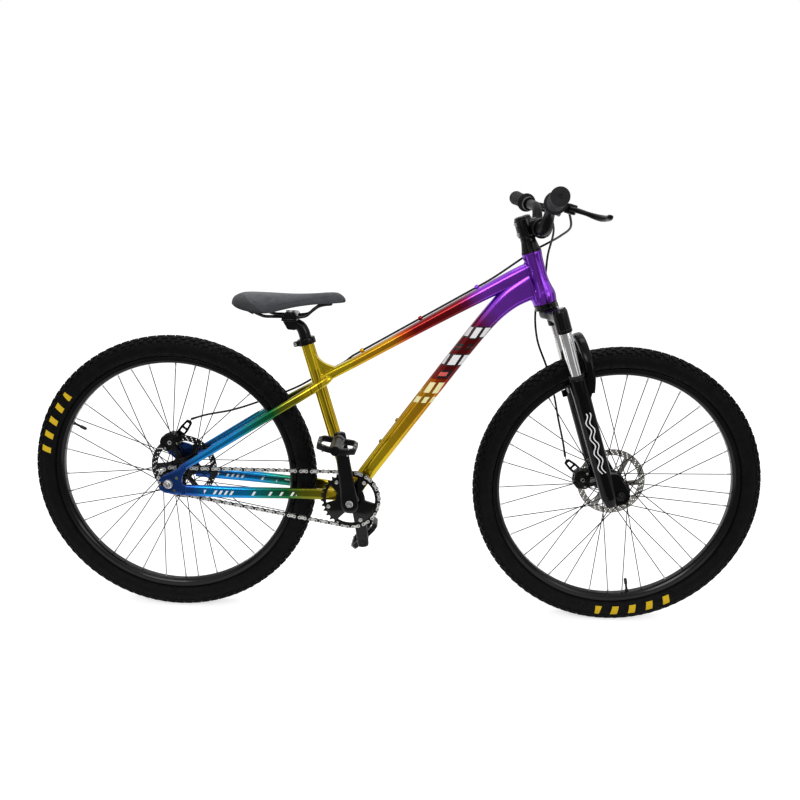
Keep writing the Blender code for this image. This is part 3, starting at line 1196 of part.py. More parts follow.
def build_hubs():
    """The two hubs, each one body with the spokes laced to it."""
    edge = FLANGE_RADIUS
    thick = 0.0024
    rear_right, rear_left = -0.0300, 0.0330
    face = REAR_FACE - GAP
    seat = REAR_ROTOR_SIDE - ROTOR_THICKNESS / 2 - GAP
    cog_seat = COG_BORE - 2 * GAP
    profile = [(0.0085, -face), (0.0085, -0.0555), (cog_seat, -0.0555), (cog_seat, -0.0345),
               (edge, rear_right - thick), (edge, rear_right + thick), (0.0165, rear_right + 0.0060),
               (0.0165, rear_left - 0.0060), (edge, rear_left - thick), (edge, rear_left + thick), (0.0225, seat),
               (ROTOR_BORE - 2 * GAP, seat), (ROTOR_BORE - 2 * GAP, seat + 0.0040), (0.0095, face)]
    build_hub("rear_spoked_hub", REAR_AXLE, profile, rear_right, rear_left, REAR_AXLE_DIAMETER / 2)
    front_right, front_left = -0.0300, 0.0245
    face = FRONT_FACE - GAP
    seat = FRONT_ROTOR_SIDE - ROTOR_THICKNESS / 2 - GAP
    profile = [(0.0090, -face), (0.0150, -0.0370), (edge, front_right - thick),
               (edge, front_right + thick), (0.0145, front_right + 0.0080), (0.0145, front_left - 0.0080),
               (edge, front_left - thick), (edge, front_left + thick), (0.0225, seat), (ROTOR_BORE - 2 * GAP, seat),
               (ROTOR_BORE - 2 * GAP, seat + 0.0035), (0.0090, face)]
    build_hub("front_spoked_hub", FRONT_AXLE, profile, front_right, front_left, FRONT_AXLE_DIAMETER / 2)


def build_rotor(name, centre, side):
    """The brake rotor: a braking ring on six arms."""
    outline = circle(ROTOR_RADIUS, 24)
    windows = []
    for index in range(6):
        start = 60 * index
        windows.append([*arc((0, 0), ROTOR_RADIUS - 0.0140, start + 6, start + 54, 4),
                        *arc((0, 0), 0.0290, start + 38, start + 2, 2)])
    shape = plate(outline, [circle(ROTOR_BORE, 14), *windows], centre + Y_AXIS * side, Vector((1, 0, 0)), Z_AXIS,
                  ROTOR_THICKNESS)
    place(name, shape, bright_steel(), centre)


def build_valve(name, centre, angle):
    """The inner tube's valve, which stands in from the rim towards the hub."""
    inward = -Vector((math.cos(angle), 0, math.sin(angle)))
    foot = centre - inward * (RIM_FLAT_RADIUS - 2 * GAP)
    shape = turned([(0.0040, 0), (0.0040, 0.0030), (0.0028, 0.0032), (0.0028, 0.0170), (0.0038, 0.0180),
                    (0.0038, 0.0290), (0.0026, 0.0320)], foot, inward, 6)
    place(name, shape, dark_steel(), centre)


def build_wheels():
    build_hubs()
    for prefix, centre, rotor_side, valve_angle in (("rear", REAR_AXLE, REAR_ROTOR_SIDE, math.radians(154)),
                                                    ("front", FRONT_AXLE, FRONT_ROTOR_SIDE, math.radians(-79))):
        build_rim(prefix + "_rim", centre)
        build_tyre(prefix + "_tyre", centre)
        build_rotor(prefix + "_rotor", centre, rotor_side)
        build_valve(prefix + "_valve", centre, valve_angle)


def build_stem():
    """The stem, its faceplate in front of the bar and the cap on top of the steerer."""
    clamp_radius = BAR_CLAMP_DIAMETER / 2 + 0.0060
    middle_down = (STEM_TOP + STEM_BOTTOM) / 2
    steerer_clamp = turned([(STEM_RADIUS, STEM_TOP), (STEM_RADIUS, STEM_BOTTOM - 0.0025), (0.0170, STEM_BOTTOM)],
                           HEAD_TOP, STEER_DOWN, 14)
    clamp_profile = [(clamp_radius - 0.002, -0.0230), (clamp_radius, -0.0210), (clamp_radius, 0.0210),
                     (clamp_radius - 0.002, 0.0230)]
    bar_clamp = turned(clamp_profile, BAR_CENTRE, Y_AXIS, 16)
    neck = skin([oval(head_point(middle_down, -0.010), Y_AXIS, STEER_DOWN, 0.0165, 0.0165, 8, 4.0),
                 oval(head_point(middle_down + 0.003, STEM_REACH - 0.006), Y_AXIS, STEER_DOWN, 0.0200, 0.0180, 8, 4.0)])
    steerer_bore = rod(head_point(STEM_TOP - 0.02), head_point(STEM_BOTTOM + 0.02), STEERER_BORE, 14)
    below = rod(head_point(STEM_BOTTOM - 0.0005), head_point(0.0), 0.0174, 14)
    bar_bore = rod(BAR_CENTRE - Y_AXIS * 0.05, BAR_CENTRE + Y_AXIS * 0.05, BAR_CLAMP_DIAMETER / 2 + 2 * GAP, 16)
    ahead = block(BAR_CENTRE + STEER_FORWARD * 0.0360, (0.0660, 0.080, 0.080), STEER_TURN)
    place("stem", combine(steerer_clamp, [neck, bar_clamp], [steerer_bore, below, bar_bore, ahead]), gloss_black(),
          HEAD_TOP)
    face = turned(clamp_profile, BAR_CENTRE, Y_AXIS, 16)
    window = block(BAR_CENTRE + STEER_FORWARD * 0.0300, (0.0300, 0.0160, 0.0150), STEER_TURN)
    behind = block(BAR_CENTRE - STEER_FORWARD * 0.0280, (0.0650, 0.080, 0.080), STEER_TURN)
    bar_bore = rod(BAR_CENTRE - Y_AXIS * 0.05, BAR_CENTRE + Y_AXIS * 0.05, BAR_CLAMP_DIAMETER / 2 + 2 * GAP, 16)
    place("stem_faceplate", combine(face, [], [bar_bore, behind, window]), gloss_black(), HEAD_TOP)
    cap = turned([(0.0140, STEM_TOP - 0.0062), (0.0180, STEM_TOP - 0.0035), (0.0180, STEM_TOP - GAP),
                  (0.0090, STEM_TOP - GAP), (0.0090, STEM_TOP + 0.0017)], HEAD_TOP, STEER_DOWN, 12)
    place("stem_top_cap", cap, gloss_black(), HEAD_TOP)


# The riser bar's left half from its centre: forward, left, up, radius
BAR_KNOTS = [(0.0, 0.0, 0.0), (0.0, 0.048, 0.0), (0.0008, 0.066, 0.0048), (0.0030, 0.100, 0.0345),
             (0.0030, 0.124, 0.0450), (-0.0050, 0.205, 0.0512), (-0.0190, BAR_HALF_WIDTH - 0.003, 0.0640)]


def bar_point(left):
    """A point on the bar's centre line, from its distance to the side."""
    side = 1 if left >= 0 else -1
    reach = abs(left)
    for near, far in zip(BAR_KNOTS, BAR_KNOTS[1:]):
        if reach <= far[1] or far is BAR_KNOTS[-1]:
            share = (reach - near[1]) / (far[1] - near[1])
            forward = near[0] + (far[0] - near[0]) * share
            upward = near[2] + (far[2] - near[2]) * share
            return BAR_CENTRE + Vector((forward, side * reach, upward))


def bar_heading(side):
    near, far = BAR_KNOTS[-2], BAR_KNOTS[-1]
    return Vector((far[0] - near[0], side * (far[1] - near[1]), far[2] - near[2])).normalized()


def build_handlebar():
    half = [BAR_CENTRE + Vector(knot) for knot in BAR_KNOTS]
    bend = smooth_points([half[1], *half[2:5]])
    left_half = [*bend, half[5], half[6]]
    right_half = [Vector((point.x, -point.y, point.z)) for point in reversed(left_half)]
    points = [*right_half, *left_half]
    thick, thin = BAR_CLAMP_DIAMETER / 2, BAR_END_DIAMETER / 2
    radii = []
    for point in points:
        share = min(max((abs(point.y) - 0.048) / 0.052, 0), 1)
        radii.append(thick + (thin - thick) * share)
    place("handlebar", piped(points, radii, 10, Z_AXIS), gloss_black(), HEAD_TOP)


LEVER_TILT = math.radians(14)
LEVER_FORWARD = Vector((math.cos(LEVER_TILT), 0, -math.sin(LEVER_TILT)))
LEVER_AXIS = Vector((math.sin(LEVER_TILT), 0, math.cos(LEVER_TILT)))
PERCH_SIDE = 0.1980
PIVOT_REACH = 0.0320
BLADE_THICKNESS = 0.0100


def build_grip(side, name):
    """The grip: a flange at its inner end, ribs, and a closed outer end past the bar's end."""
    heading = bar_heading(side)
    outer_end = bar_point(side * (BAR_HALF_WIDTH - 0.003))
    start = outer_end - heading * (GRIP_LENGTH - 0.003)
    bore = BAR_END_DIAMETER / 2 + 2 * GAP
    radius = GRIP_DIAMETER / 2
    profile = [(0.0225, 0.0), (0.0225, 0.0035), (radius - 0.0016, 0.0080)]
    ribs = 2
    rib_pitch = (GRIP_LENGTH - 0.026) / ribs
    for index in range(ribs):
        run = 0.012 + index * rib_pitch
        profile += [(radius, run + 0.0040), (radius - 0.0012, run + rib_pitch - 0.002)]
    profile += [(0.0180, GRIP_LENGTH - 0.0060), (0.0172, GRIP_LENGTH + 0.0010)]
    outer = turned(profile, start, heading, 12)
    hole = rod(start - heading * 0.01, outer_end + heading * GAP, bore, 10)
    place("grip_" + name, combine(outer, [], [hole]), grip_rubber(), HEAD_TOP)


def lever_point(side, forward, outward, rise=0.0):
    """A point from the bar's centre at the perch: ahead of it, outward of it, and up the pivot's axis."""
    base = bar_point(side * PERCH_SIDE)
    return base + LEVER_FORWARD * forward + Y_AXIS * side * outward + LEVER_AXIS * rise


def build_perch(side, name):
    """The lever's bracket: a band round the bar and a fork that holds the lever's pivot pin."""
    base = bar_point(side * PERCH_SIDE)
    heading = bar_heading(side)
    band = turned([(0.0160, -0.0075), (0.0160, 0.0075)], base, heading, 12)
    turn = Matrix((LEVER_FORWARD, Y_AXIS * side, LEVER_AXIS * side)).transposed()
    arm = block(lever_point(side, 0.0190, -0.0035), (0.0200, 0.0130, 0.0160), turn)
    nose = block(lever_point(side, 0.0330, -0.0035), (0.0220, 0.0170, 0.0190), turn)
    slot = block(lever_point(side, 0.0365, 0.0115), (0.0260, 0.0400, BLADE_THICKNESS + 2 * GAP), turn)
    barrel = rod(lever_point(side, 0.0310, -0.0100), lever_point(side, 0.0330, -0.0300), 0.0050, 6)
    bore = rod(base - heading * 0.03, base + heading * 0.03, BAR_END_DIAMETER / 2 + 2 * GAP, 12)
    pivot = lever_point(side, PIVOT_REACH, 0.0)
    pin_end = BLADE_THICKNESS / 2 + 0.0030
    pin = rod(pivot - LEVER_AXIS * pin_end, pivot + LEVER_AXIS * pin_end, 0.0024, 6)
    shape = combine(combine(band, [arm, nose, barrel], [slot, bore]), [pin])
    place("brake_perch_" + name, shape, satin_black(), HEAD_TOP)


def build_lever(side, name):
    """The brake lever's blade, which turns on the perch's pin."""
    pivot = lever_point(side, PIVOT_REACH, 0.0)
    centre_line = [(0.0, 0.0), (0.0140, 0.0120), (0.0380, 0.0280), (0.0540, 0.0540), (0.0590, 0.0840), (0.0570, 0.1060)]
    halves = [0.0062, 0.0068, 0.0052, 0.0046, 0.0046, 0.0060]
    front, back = [], []
    for index, (forward, outward) in enumerate(centre_line):
        near = centre_line[max(index - 1, 0)]
        far = centre_line[min(index + 1, len(centre_line) - 1)]
        heading = Vector((far[0] - near[0], far[1] - near[1])).normalized()
        normal = Vector((heading.y, -heading.x)) * halves[index]
        front.append((forward + normal.x, outward + normal.y))
        back.append((forward - normal.x, outward - normal.y))
    tip = (centre_line[-1][0] - 0.0005, centre_line[-1][1] + 0.0050)
    heel = (-0.0050, -0.0050)
    outline = [heel, *front, tip, *reversed(back)]
    shape = plate(outline, [circle(0.0024 + 2 * GAP, 6)], pivot, LEVER_FORWARD, Y_AXIS * side, BLADE_THICKNESS)
    place("brake_lever_" + name, shape, satin_black(), pivot)


def rear_cable_route():
    """From the right lever round the head tube's left side, along the top tube and left stay to the rear brake."""
    start = lever_point(-1, 0.0330, -0.0308)
    line = frame_cable_line()
    line = [line[0] + (line[0] - line[1]) * 0.08, *line, line[2] + (line[2] - line[1]) * 0.08]
    centre, _, _, pivot_shift, reach = rear_caliper_layout()
    end = centre + pivot_shift + reach + Vector((0.0010, REAR_ROTOR_SIDE + CALIPER_HALF_WIDTH + 0.0100, 0.0075))
    return [start, start + Vector((0.006, 0.030, -0.002)), Vector((0.3560, -0.0900, 0.9300)),
            Vector((0.3480, -0.0250, 0.9080)), Vector((0.3300, 0.0250, 0.8900)), Vector((0.2980, 0.0400, 0.8700)),
            Vector((0.2650, 0.0280, 0.8480)), *line, Vector((-0.1180, 0.0180, 0.6125)),
            Vector((-0.1500, 0.0235, 0.5935)), Vector((-0.1850, 0.0310, 0.5735)), Vector((-0.2300, 0.0500, 0.5440)),
            Vector((-0.3100, 0.0700, 0.5060)), Vector((-0.4000, 0.0790, 0.4720)), end + Vector((0.030, 0, 0.010)), end]


def front_cable_route():
    """From the left lever behind the head tube's left side and down the left leg to the front brake."""
    start = lever_point(1, 0.0330, -0.0308)
    centre, _, _, pivot_shift, reach = front_caliper_layout()
    end = centre + pivot_shift + reach + Vector((-0.0035, FRONT_ROTOR_SIDE + CALIPER_HALF_WIDTH + 0.0090, 0.0085))
    return [start, start + Vector((0.004, -0.030, -0.006)), Vector((0.3480, 0.0850, 0.9150)),
            Vector((0.3250, 0.0600, 0.8600)), Vector((0.3050, 0.0560, 0.8000)), Vector((0.3020, 0.0580, 0.7400)),
            Vector((0.3220, 0.0640, 0.6650)), Vector((0.3500, 0.0660, 0.6000)), Vector((0.3720, 0.0740, 0.5350)),
            Vector((0.3880, 0.0780, 0.4700)), end + Vector((-0.006, 0.002, 0.030)), end]


def build_cables():
    """Each cable is a smooth run of housing, held all the way by the bicycle."""
    for name, route in (("rear_brake_cable", rear_cable_route()), ("front_brake_cable", front_cable_route())):
        points = smooth_points(route, math.radians(18))
        place(name, piped(points, CABLE_DIAMETER / 2, 6, Z_AXIS), cable_housing(), HEAD_TOP)


def main():
    clear_scene()
    build_frame()
    build_headset()
    build_bottom_bracket()
    build_seat_clamp()
    build_seatpost()
    build_saddle_clamp()
    build_saddle_rails()
    build_saddle()
    build_fork_upper()
    build_fork_lowers()
    build_brakes()
    build_axles()
    build_chain()
    build_chainring()
    build_cog()
    build_spindle()
    for side, name, tilt in ((-1, "right", PEDAL_TILTS[0]), (1, "left", PEDAL_TILTS[1])):
        build_crank_arm(side, name)
        build_pedal(side, name, tilt)
        build_grip(side, name)
        build_perch(side, name)
        build_lever(side, name)
    build_wheels()
    build_stem()
    build_handlebar()
    build_cables()


main()
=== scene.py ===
"""The stunt bike's looks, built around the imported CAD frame.

Units are metres. +X points forward, +Y to the rider's left and +Z up, as in the CAD. A piece is put together
as a bmesh by the functions under "Shapes", and put() gives it its materials, its body and the CAD node
that it stands for.
"""

import json
from math import asin, atan2, copysign, cos, hypot, pi, radians, sin

import bmesh
import bpy
from mathutils import Matrix, Vector
from mathutils.bvhtree import BVHTree


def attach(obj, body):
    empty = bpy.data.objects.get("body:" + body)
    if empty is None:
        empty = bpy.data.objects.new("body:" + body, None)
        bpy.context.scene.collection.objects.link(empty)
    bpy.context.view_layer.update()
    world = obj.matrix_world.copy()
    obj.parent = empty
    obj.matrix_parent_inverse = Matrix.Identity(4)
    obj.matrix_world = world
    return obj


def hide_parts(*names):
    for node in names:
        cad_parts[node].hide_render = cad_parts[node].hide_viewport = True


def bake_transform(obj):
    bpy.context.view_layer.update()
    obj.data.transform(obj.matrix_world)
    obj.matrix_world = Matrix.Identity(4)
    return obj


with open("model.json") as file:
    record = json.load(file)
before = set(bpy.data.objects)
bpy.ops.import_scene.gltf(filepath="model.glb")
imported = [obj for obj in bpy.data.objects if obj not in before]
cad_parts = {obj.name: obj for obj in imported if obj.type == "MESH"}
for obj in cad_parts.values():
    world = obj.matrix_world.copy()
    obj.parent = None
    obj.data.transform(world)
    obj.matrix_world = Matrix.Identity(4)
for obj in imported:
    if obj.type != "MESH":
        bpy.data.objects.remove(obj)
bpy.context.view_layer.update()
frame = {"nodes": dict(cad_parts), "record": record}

X_AXIS = Vector((1, 0, 0))
Y_AXIS = Vector((0, 1, 0))
Z_AXIS = Vector((0, 0, 1))
RIGHT, LEFT = -1, 1
BOTH = (RIGHT, LEFT)
NAMED_SIDES = ((RIGHT, "right"), (LEFT, "left"))


def axes(first, second, third):
    """The turn whose columns are three axes."""
    return Matrix((first, second, third)).transposed()


# The CAD's layout, in the same numbers. GAP is half the room left round a piece that sits in another.
GAP = 0.0003
REAR_AXLE = Vector((-0.5158, 0, 0.3325))
FRONT_AXLE = Vector((0.5158, 0, 0.3325))
BB_CENTRE = Vector((-0.099929, 0, 0.298))
HEAD_ANGLE = radians(71.5)
SEAT_ANGLE = radians(73.65)
STEER_DOWN = Vector((cos(HEAD_ANGLE), 0, -sin(HEAD_ANGLE)))
STEER_FORWARD = Vector((sin(HEAD_ANGLE), 0, cos(HEAD_ANGLE)))
SEAT_UP = Vector((-cos(SEAT_ANGLE), 0, sin(SEAT_ANGLE)))
SEAT_FORWARD = Vector((sin(SEAT_ANGLE), 0, cos(SEAT_ANGLE)))
HEAD_LENGTH = 0.115
AXLE_DOWN = 0.5814
FORK_RAKE = 0.044
HEAD_TOP = FRONT_AXLE - STEER_FORWARD * FORK_RAKE - STEER_DOWN * AXLE_DOWN
STEER_TURN = axes(STEER_FORWARD, Y_AXIS, -STEER_DOWN)
SEAT_TURN = axes(SEAT_FORWARD, Y_AXIS, SEAT_UP)
SEAT_LENGTH = 0.382
LEG_SIDE = 0.065
LEG_OFFSET = 0.0175
LEG_TOP = 0.285
LEG_BOTTOM = AXLE_DOWN + 0.015
LEG_RADIUS = 0.0188
STEM_TOP = -0.0743
STEM_BOTTOM = -0.035
STEERER_RADIUS = 0.0143
STEERER_BORE = 0.0115
STEERER_ROOM = 0.0149
SPINDLE_ROOM = 0.0096
BAR_CENTRE = HEAD_TOP + STEER_DOWN * -0.0436 + STEER_FORWARD * 0.033
CHAIN_PITCH = 0.0127
CHAIN_LINE = 0.045
RING_TEETH = 33
COG_TEETH = 15
RING_RADIUS = CHAIN_PITCH / (2 * sin(pi / RING_TEETH))
COG_RADIUS = CHAIN_PITCH / (2 * sin(pi / COG_TEETH))
CRANK_LENGTH = 0.16
CRANK_LEAN = radians(7.6)
CRANK_UP = Vector((-sin(CRANK_LEAN), 0, cos(CRANK_LEAN)))
RIM_RADIUS = 0.285
RIM_INNER = 0.2692
REAR_FACE = 0.0675
FRONT_FACE = 0.05
REAR_ROTOR_SIDE = REAR_FACE - 0.0153
FRONT_ROTOR_SIDE = FRONT_FACE - 0.0102
CALIPER_HALF = 0.0135


def head_point(down, forward=0.0, left=0.0):
    """A point from its distance down the steering axis, ahead of it and to the left of it."""
    return HEAD_TOP + STEER_DOWN * down + STEER_FORWARD * forward + Y_AXIS * left


def seat_point(up, forward=0.0, left=0.0):
    """A point from its distance up the seat tube's axis, ahead of it and to the left of it."""
    return BB_CENTRE + SEAT_UP * up + SEAT_FORWARD * forward + Y_AXIS * left


def polar(angle):
    """A unit vector in the wheels' plane, from +X towards +Z."""
    return Vector((cos(angle), 0, sin(angle)))


def quarter(way):
    """A vector of the wheels' plane turned a quarter round, from forward to up."""
    return Vector((-way.z, 0, way.x))


# The camera, at the photograph's angle

PHOTO_SIZE = 800
FOCAL_PIXELS = 801.77
SENSOR = 36
CAMERA_TARGET = Vector((0.0088, 0, 0.5303))
CAMERA_DISTANCE = 1.8447


def add(name, data):
    """A new object in the scene."""
    made = bpy.data.objects.new(name, data)
    bpy.context.scene.collection.objects.link(made)
    return made


def make_camera():
    azimuth, elevation, roll = radians(1.6385), radians(13.9419), radians(1.2132)
    back = Vector((sin(azimuth) * cos(elevation), -cos(azimuth) * cos(elevation), sin(elevation)))
    right = (-back).cross(Z_AXIS).normalized()
    upward = right.cross(-back)
    data = bpy.data.cameras.new("camera")
    data.sensor_width = SENSOR
    data.lens = FOCAL_PIXELS * SENSOR / PHOTO_SIZE
    data.shift_y = -1 / PHOTO_SIZE
    camera = add("camera", data)
    place = axes(right * cos(roll) + upward * sin(roll), upward * cos(roll) - right * sin(roll),
                 back).to_4x4()
    place.translation = CAMERA_TARGET + back * CAMERA_DISTANCE
    camera.matrix_world = place
    bpy.context.scene.camera = camera


make_camera()


# Shapes

def across(direction):
    """Two unit vectors square to a direction and to each other."""
    helper = Y_AXIS if abs(direction.normalized().y) < 0.9 else Z_AXIS
    first = direction.cross(helper).normalized()
    return first, direction.cross(first).normalized()


def heading_at(points, index):
    """The way that a row of points runs at one of them."""
    return (points[min(index + 1, len(points) - 1)] - points[max(index - 1, 0)]).normalized()


def skin(rings, closed_loop=False):
    """One closed shape through a row of rings with as many points each. One-point rings end it in a tip."""
    shape = bmesh.new()
    rows = [[shape.verts.new(point) for point in ring] for ring in rings]
    pairs = list(zip(rows, rows[1:]))
    if closed_loop:
        pairs.append((rows[-1], rows[0]))
    for near, far in pairs:
        count = max(len(near), len(far))
        for index in range(count):
            after = (index + 1) % count
            corners = [near[index % len(near)], near[after % len(near)], far[after % len(far)],
                       far[index % len(far)]]
            shape.faces.new(list(dict.fromkeys(corners)))
    if not closed_loop:
        for end in (rows[0], rows[-1]):
            if len(end) > 2:
                shape.faces.new(end)
    bmesh.ops.recalc_face_normals(shape, faces=shape.faces)
    return shape


def soften(points, cut, steps=3, closed=True):
    """A row of points with its corners rounded off."""
    points = [Vector(point) for point in points]
    made = []
    for index, corner in enumerate(points):
        if not closed and index in (0, len(points) - 1):
            made.append(corner)
            continue
        near = points[index - 1] - corner
        far = points[(index + 1) % len(points)] - corner
        start = corner + near * min(cut / max(near.length, 1e-9), 0.45)
        end = corner + far * min(cut / max(far.length, 1e-9), 0.45)
        for step in range(steps + 1):
            share = step / steps
            made.append(start.lerp(corner, share).lerp(corner.lerp(end, share), share))
    return [tuple(point) for point in made]


def turned(profile, origin, axis, segments=48, ring=False, cut=0.0006):
    """A turned shape from (radius, distance along the axis); a ring's profile closes on itself."""
    if not ring:
        profile = [(0, profile[0][1]), *profile, (0, profile[-1][1])]
    profile = soften(profile, cut, 3, ring)
    axis = axis.normalized()
    first, second = across(axis)
    shape = bmesh.new()
    grid = []
    for step in range(segments):
        angle = 2 * pi * step / segments
        outward = first * cos(angle) + second * sin(angle)
        grid.append([shape.verts.new(origin + axis * along + outward * max(radius, 1e-6)) for radius,
                     along in profile])
    last = len(profile) if ring else len(profile) - 1
    for near, far in zip(grid, grid[1:] + grid[:1]):
        for index in range(last):
            after = (index + 1) % len(profile)
            shape.faces.new((near[index], near[after], far[after], far[index]))
    if not ring:
        bmesh.ops.remove_doubles(shape, verts=shape.verts, dist=3e-6)
    bmesh.ops.recalc_face_normals(shape, faces=shape.faces)
    return shape


def rod(start, end, radius, segments=32, cut=0.0005):
    return turned([(radius, 0), (radius, (end - start).length)], start, end - start, segments, cut=cut)


def pin(centre, axis, low, high, radius, segments=32, cut=0.0005):
    """A rod that lies along an axis from one distance of its centre to another."""
    return rod(centre + axis * low, centre + axis * high, radius, segments, cut)


def sleeve(inner, outer, low, high, origin, axis, segments, cut=0.0006):
    """A plain ring between two radii and two distances along its axis."""
    return turned([(inner, low), (outer, low), (outer, high), (inner, high)], origin, axis, segments, True,
                  cut)


def oval(centre, first, second, reach, height, count, power=2.0):
    """A ring of points on a superellipse. A power over 2 squares it off."""
    points = []
    for step in range(count):
        angle = 2 * pi * (step + 0.5) / count
        points.append(centre + first * copysign(abs(cos(angle)) ** (2 / power), cos(angle)) * reach
                      + second * copysign(abs(sin(angle)) ** (2 / power), sin(angle)) * height)
    return points


def resampled(rows, per):
    """Rows of numbers with a smooth curve through them, and per steps between two rows."""
    made = []
    for index in range(len(rows) - 1):
        span = [rows[max(index - 1, 0)], rows[index], rows[index + 1], rows[min(index + 2, len(rows) - 1)]]
        for step in range(per):
            s = step / per
            made.append([q + 0.5 * s * (r - p + s * (2 * p - 5 * q + 4 * r - t + s * (3 * (q - r) + t - p)))
                         for p, q, r, t in zip(*span)])
    return [*made, list(rows[-1])]


def loft(rows, per, ring_of):
    """A closed skin through the rings that ring_of makes of smoothly resampled rows."""
    return skin([ring_of(*row) for row in resampled(rows, per)])


def tube_rings(stations, count, power, per=7):
    """The rings of a shaped tube. Each station is (centre, half width across, half height)."""
    rows = resampled([(*centre, wide, high) for centre, wide, high in stations], per)
    centres = [Vector(row[:3]) for row in rows]
    rings = []
    for index, row in enumerate(rows):
        heading = heading_at(centres, index)
        side = (Y_AXIS - heading * heading.y).normalized()
        rings.append(oval(centres[index], side, side.cross(heading), row[3], row[4], count, power))
    return rings


def knot_heading(knots, index):
    """A curve's rate at a knot, where its unlike spans to both sides count in proportion."""
    before = knots[index] - knots[index - 1]
    after = knots[index + 1] - knots[index]
    near, far = before.length, after.length
    return (before / near * far + after / far * near) / (near + far)


def smooth_points(knots, spacing):
    """Points a given distance apart on the smooth curve through the knots."""
    knots = [Vector(knot) for knot in knots]
    knots = [knots[0] * 2 - knots[1], *knots, knots[-1] * 2 - knots[-2]]
    points = [knots[1]]
    for index in range(1, len(knots) - 2):
        start, end = knots[index], knots[index + 1]
        span = (end - start).length
        leave, arrive = knot_heading(knots, index) * span, knot_heading(knots, index + 1) * span
        steps = max(2, round(span / spacing))
        for step in range(1, steps + 1):
            s = step / steps
            points.append(start * (2 * s**3 - 3 * s**2 + 1) + end * (3 * s**2 - 2 * s**3)
                          + leave * (s**3 - 2 * s**2 + s) + arrive * (s**3 - s**2))
    return points


def piped(points, radii, count=16, normal=None, closed_loop=False):
    """A round section carried along points without twisting. One radius serves the whole run."""
    points = [Vector(point) for point in points]
    if not isinstance(radii, (list, tuple)):
        radii = [radii] * len(points)
    normal = normal or across(points[1] - points[0])[0]
    rings = []
    for index, centre in enumerate(points):
        heading = heading_at(points, index)
        if closed_loop:
            heading = (points[(index + 1) % len(points)] - points[index - 1]).normalized()
        normal = (normal - heading * heading.dot(normal)).normalized()
        other = heading.cross(normal)
        angles = [2 * pi * step / count for step in range(count)]
        rings.append([centre + (normal * cos(angle) + other * sin(angle)) * radii[index] for angle in angles])
    return skin(rings, closed_loop)


def bevelled(shape, width, segments=2, over=30.0):
    """Rounds every edge of a shape that turns by more than an angle in degrees."""
    bmesh.ops.recalc_face_normals(shape, faces=shape.faces)
    sharp = [edge for edge in shape.edges if edge.is_manifold and edge.calc_face_angle(0) > radians(over)]
    bmesh.ops.bevel(shape, geom=sharp, offset=width, segments=segments, profile=0.5, affect="EDGES",
                    clamp_overlap=True)
    return shape


def plate(outline, holes, origin, first, second, thickness, edge=0.0, cut=0.0, segments=2):
    """A flat plate. Its outline and holes are lists of (first, second) distances; it grows to both sides."""
    shape = bmesh.new()
    normal = first.cross(second).normalized()
    edges = []
    if cut:
        outline = soften(outline, cut, 4)
    for loop in [outline, *holes]:
        corners = [shape.verts.new(origin + first * a + second * b - normal * (thickness / 2)) for a,
                   b in loop]
        edges += [shape.edges.new(pair) for pair in zip(corners, corners[1:] + corners[:1])]
    bmesh.ops.triangle_fill(shape, use_beauty=True, use_dissolve=False, edges=edges)
    raised = bmesh.ops.extrude_face_region(shape, geom=shape.faces[:])
    moved = [item for item in raised["geom"] if isinstance(item, bmesh.types.BMVert)]
    bmesh.ops.translate(shape, verts=moved, vec=normal * thickness)
    if edge:
        bevelled(shape, edge, segments, 50)
    bmesh.ops.recalc_face_normals(shape, faces=shape.faces)
    return shape


def block(centre, sizes, turn=None, edge=0.0008, segments=3):
    """A box with rounded edges, turned by a matrix whose columns are its own axes."""
    shape = bmesh.new()
    bmesh.ops.create_cube(shape, size=1.0)
    bmesh.ops.scale(shape, vec=Vector(sizes), verts=shape.verts)
    if edge:
        bevelled(shape, edge, segments)
    if turn is not None:
        bmesh.ops.rotate(shape, cent=Vector(), matrix=turn, verts=shape.verts)
    bmesh.ops.translate(shape, vec=centre, verts=shape.verts)
    return shape


def circle(radius, count, centre=(0.0, 0.0)):
    angles = [2 * pi * step / count for step in range(count)]
    return [(centre[0] + radius * cos(angle), centre[1] + radius * sin(angle)) for angle in angles]


def arc(radius, first_angle, last_angle, count, centre=(0.0, 0.0)):
    """Points on an arc, with angles in degrees."""
    angles = [radians(first_angle + (last_angle - first_angle) * k / (count - 1)) for k in range(count)]
    return [(centre[0] + radius * cos(angle), centre[1] + radius * sin(angle)) for angle in angles]


def bolt(place, outward, radius=0.004, height=0.004, socket=0.55):
    """A round bolt head with a hexagon socket, standing on a surface."""
    outward = outward.normalized()
    first, second = across(outward)
    sixth = pi / 3
    rows = []
    for reach, rise, flat in ((radius, 0, 0), (radius, height * 0.8, 0), (radius * 0.9, height, 0),
                              (radius * socket, height, 1), (radius * socket * 0.95, height * 0.35, 1)):
        ring = []
        for step in range(24):
            angle = 2 * pi * step / 24
            bulge = cos(sixth / 2) / cos(angle % sixth - sixth / 2) if flat else 1
            ring.append(place + outward * rise + (first * cos(angle) + second * sin(angle)) * reach * bulge)
        rows.append(ring)
    return skin(rows)


def merged(*shapes):
    """Several shapes in one. Their own material numbers stay."""
    whole = bmesh.new()
    for shape in shapes:
        mesh = bpy.data.meshes.new("part")
        shape.to_mesh(mesh)
        shape.free()
        whole.from_mesh(mesh)
        bpy.data.meshes.remove(mesh)
    return whole


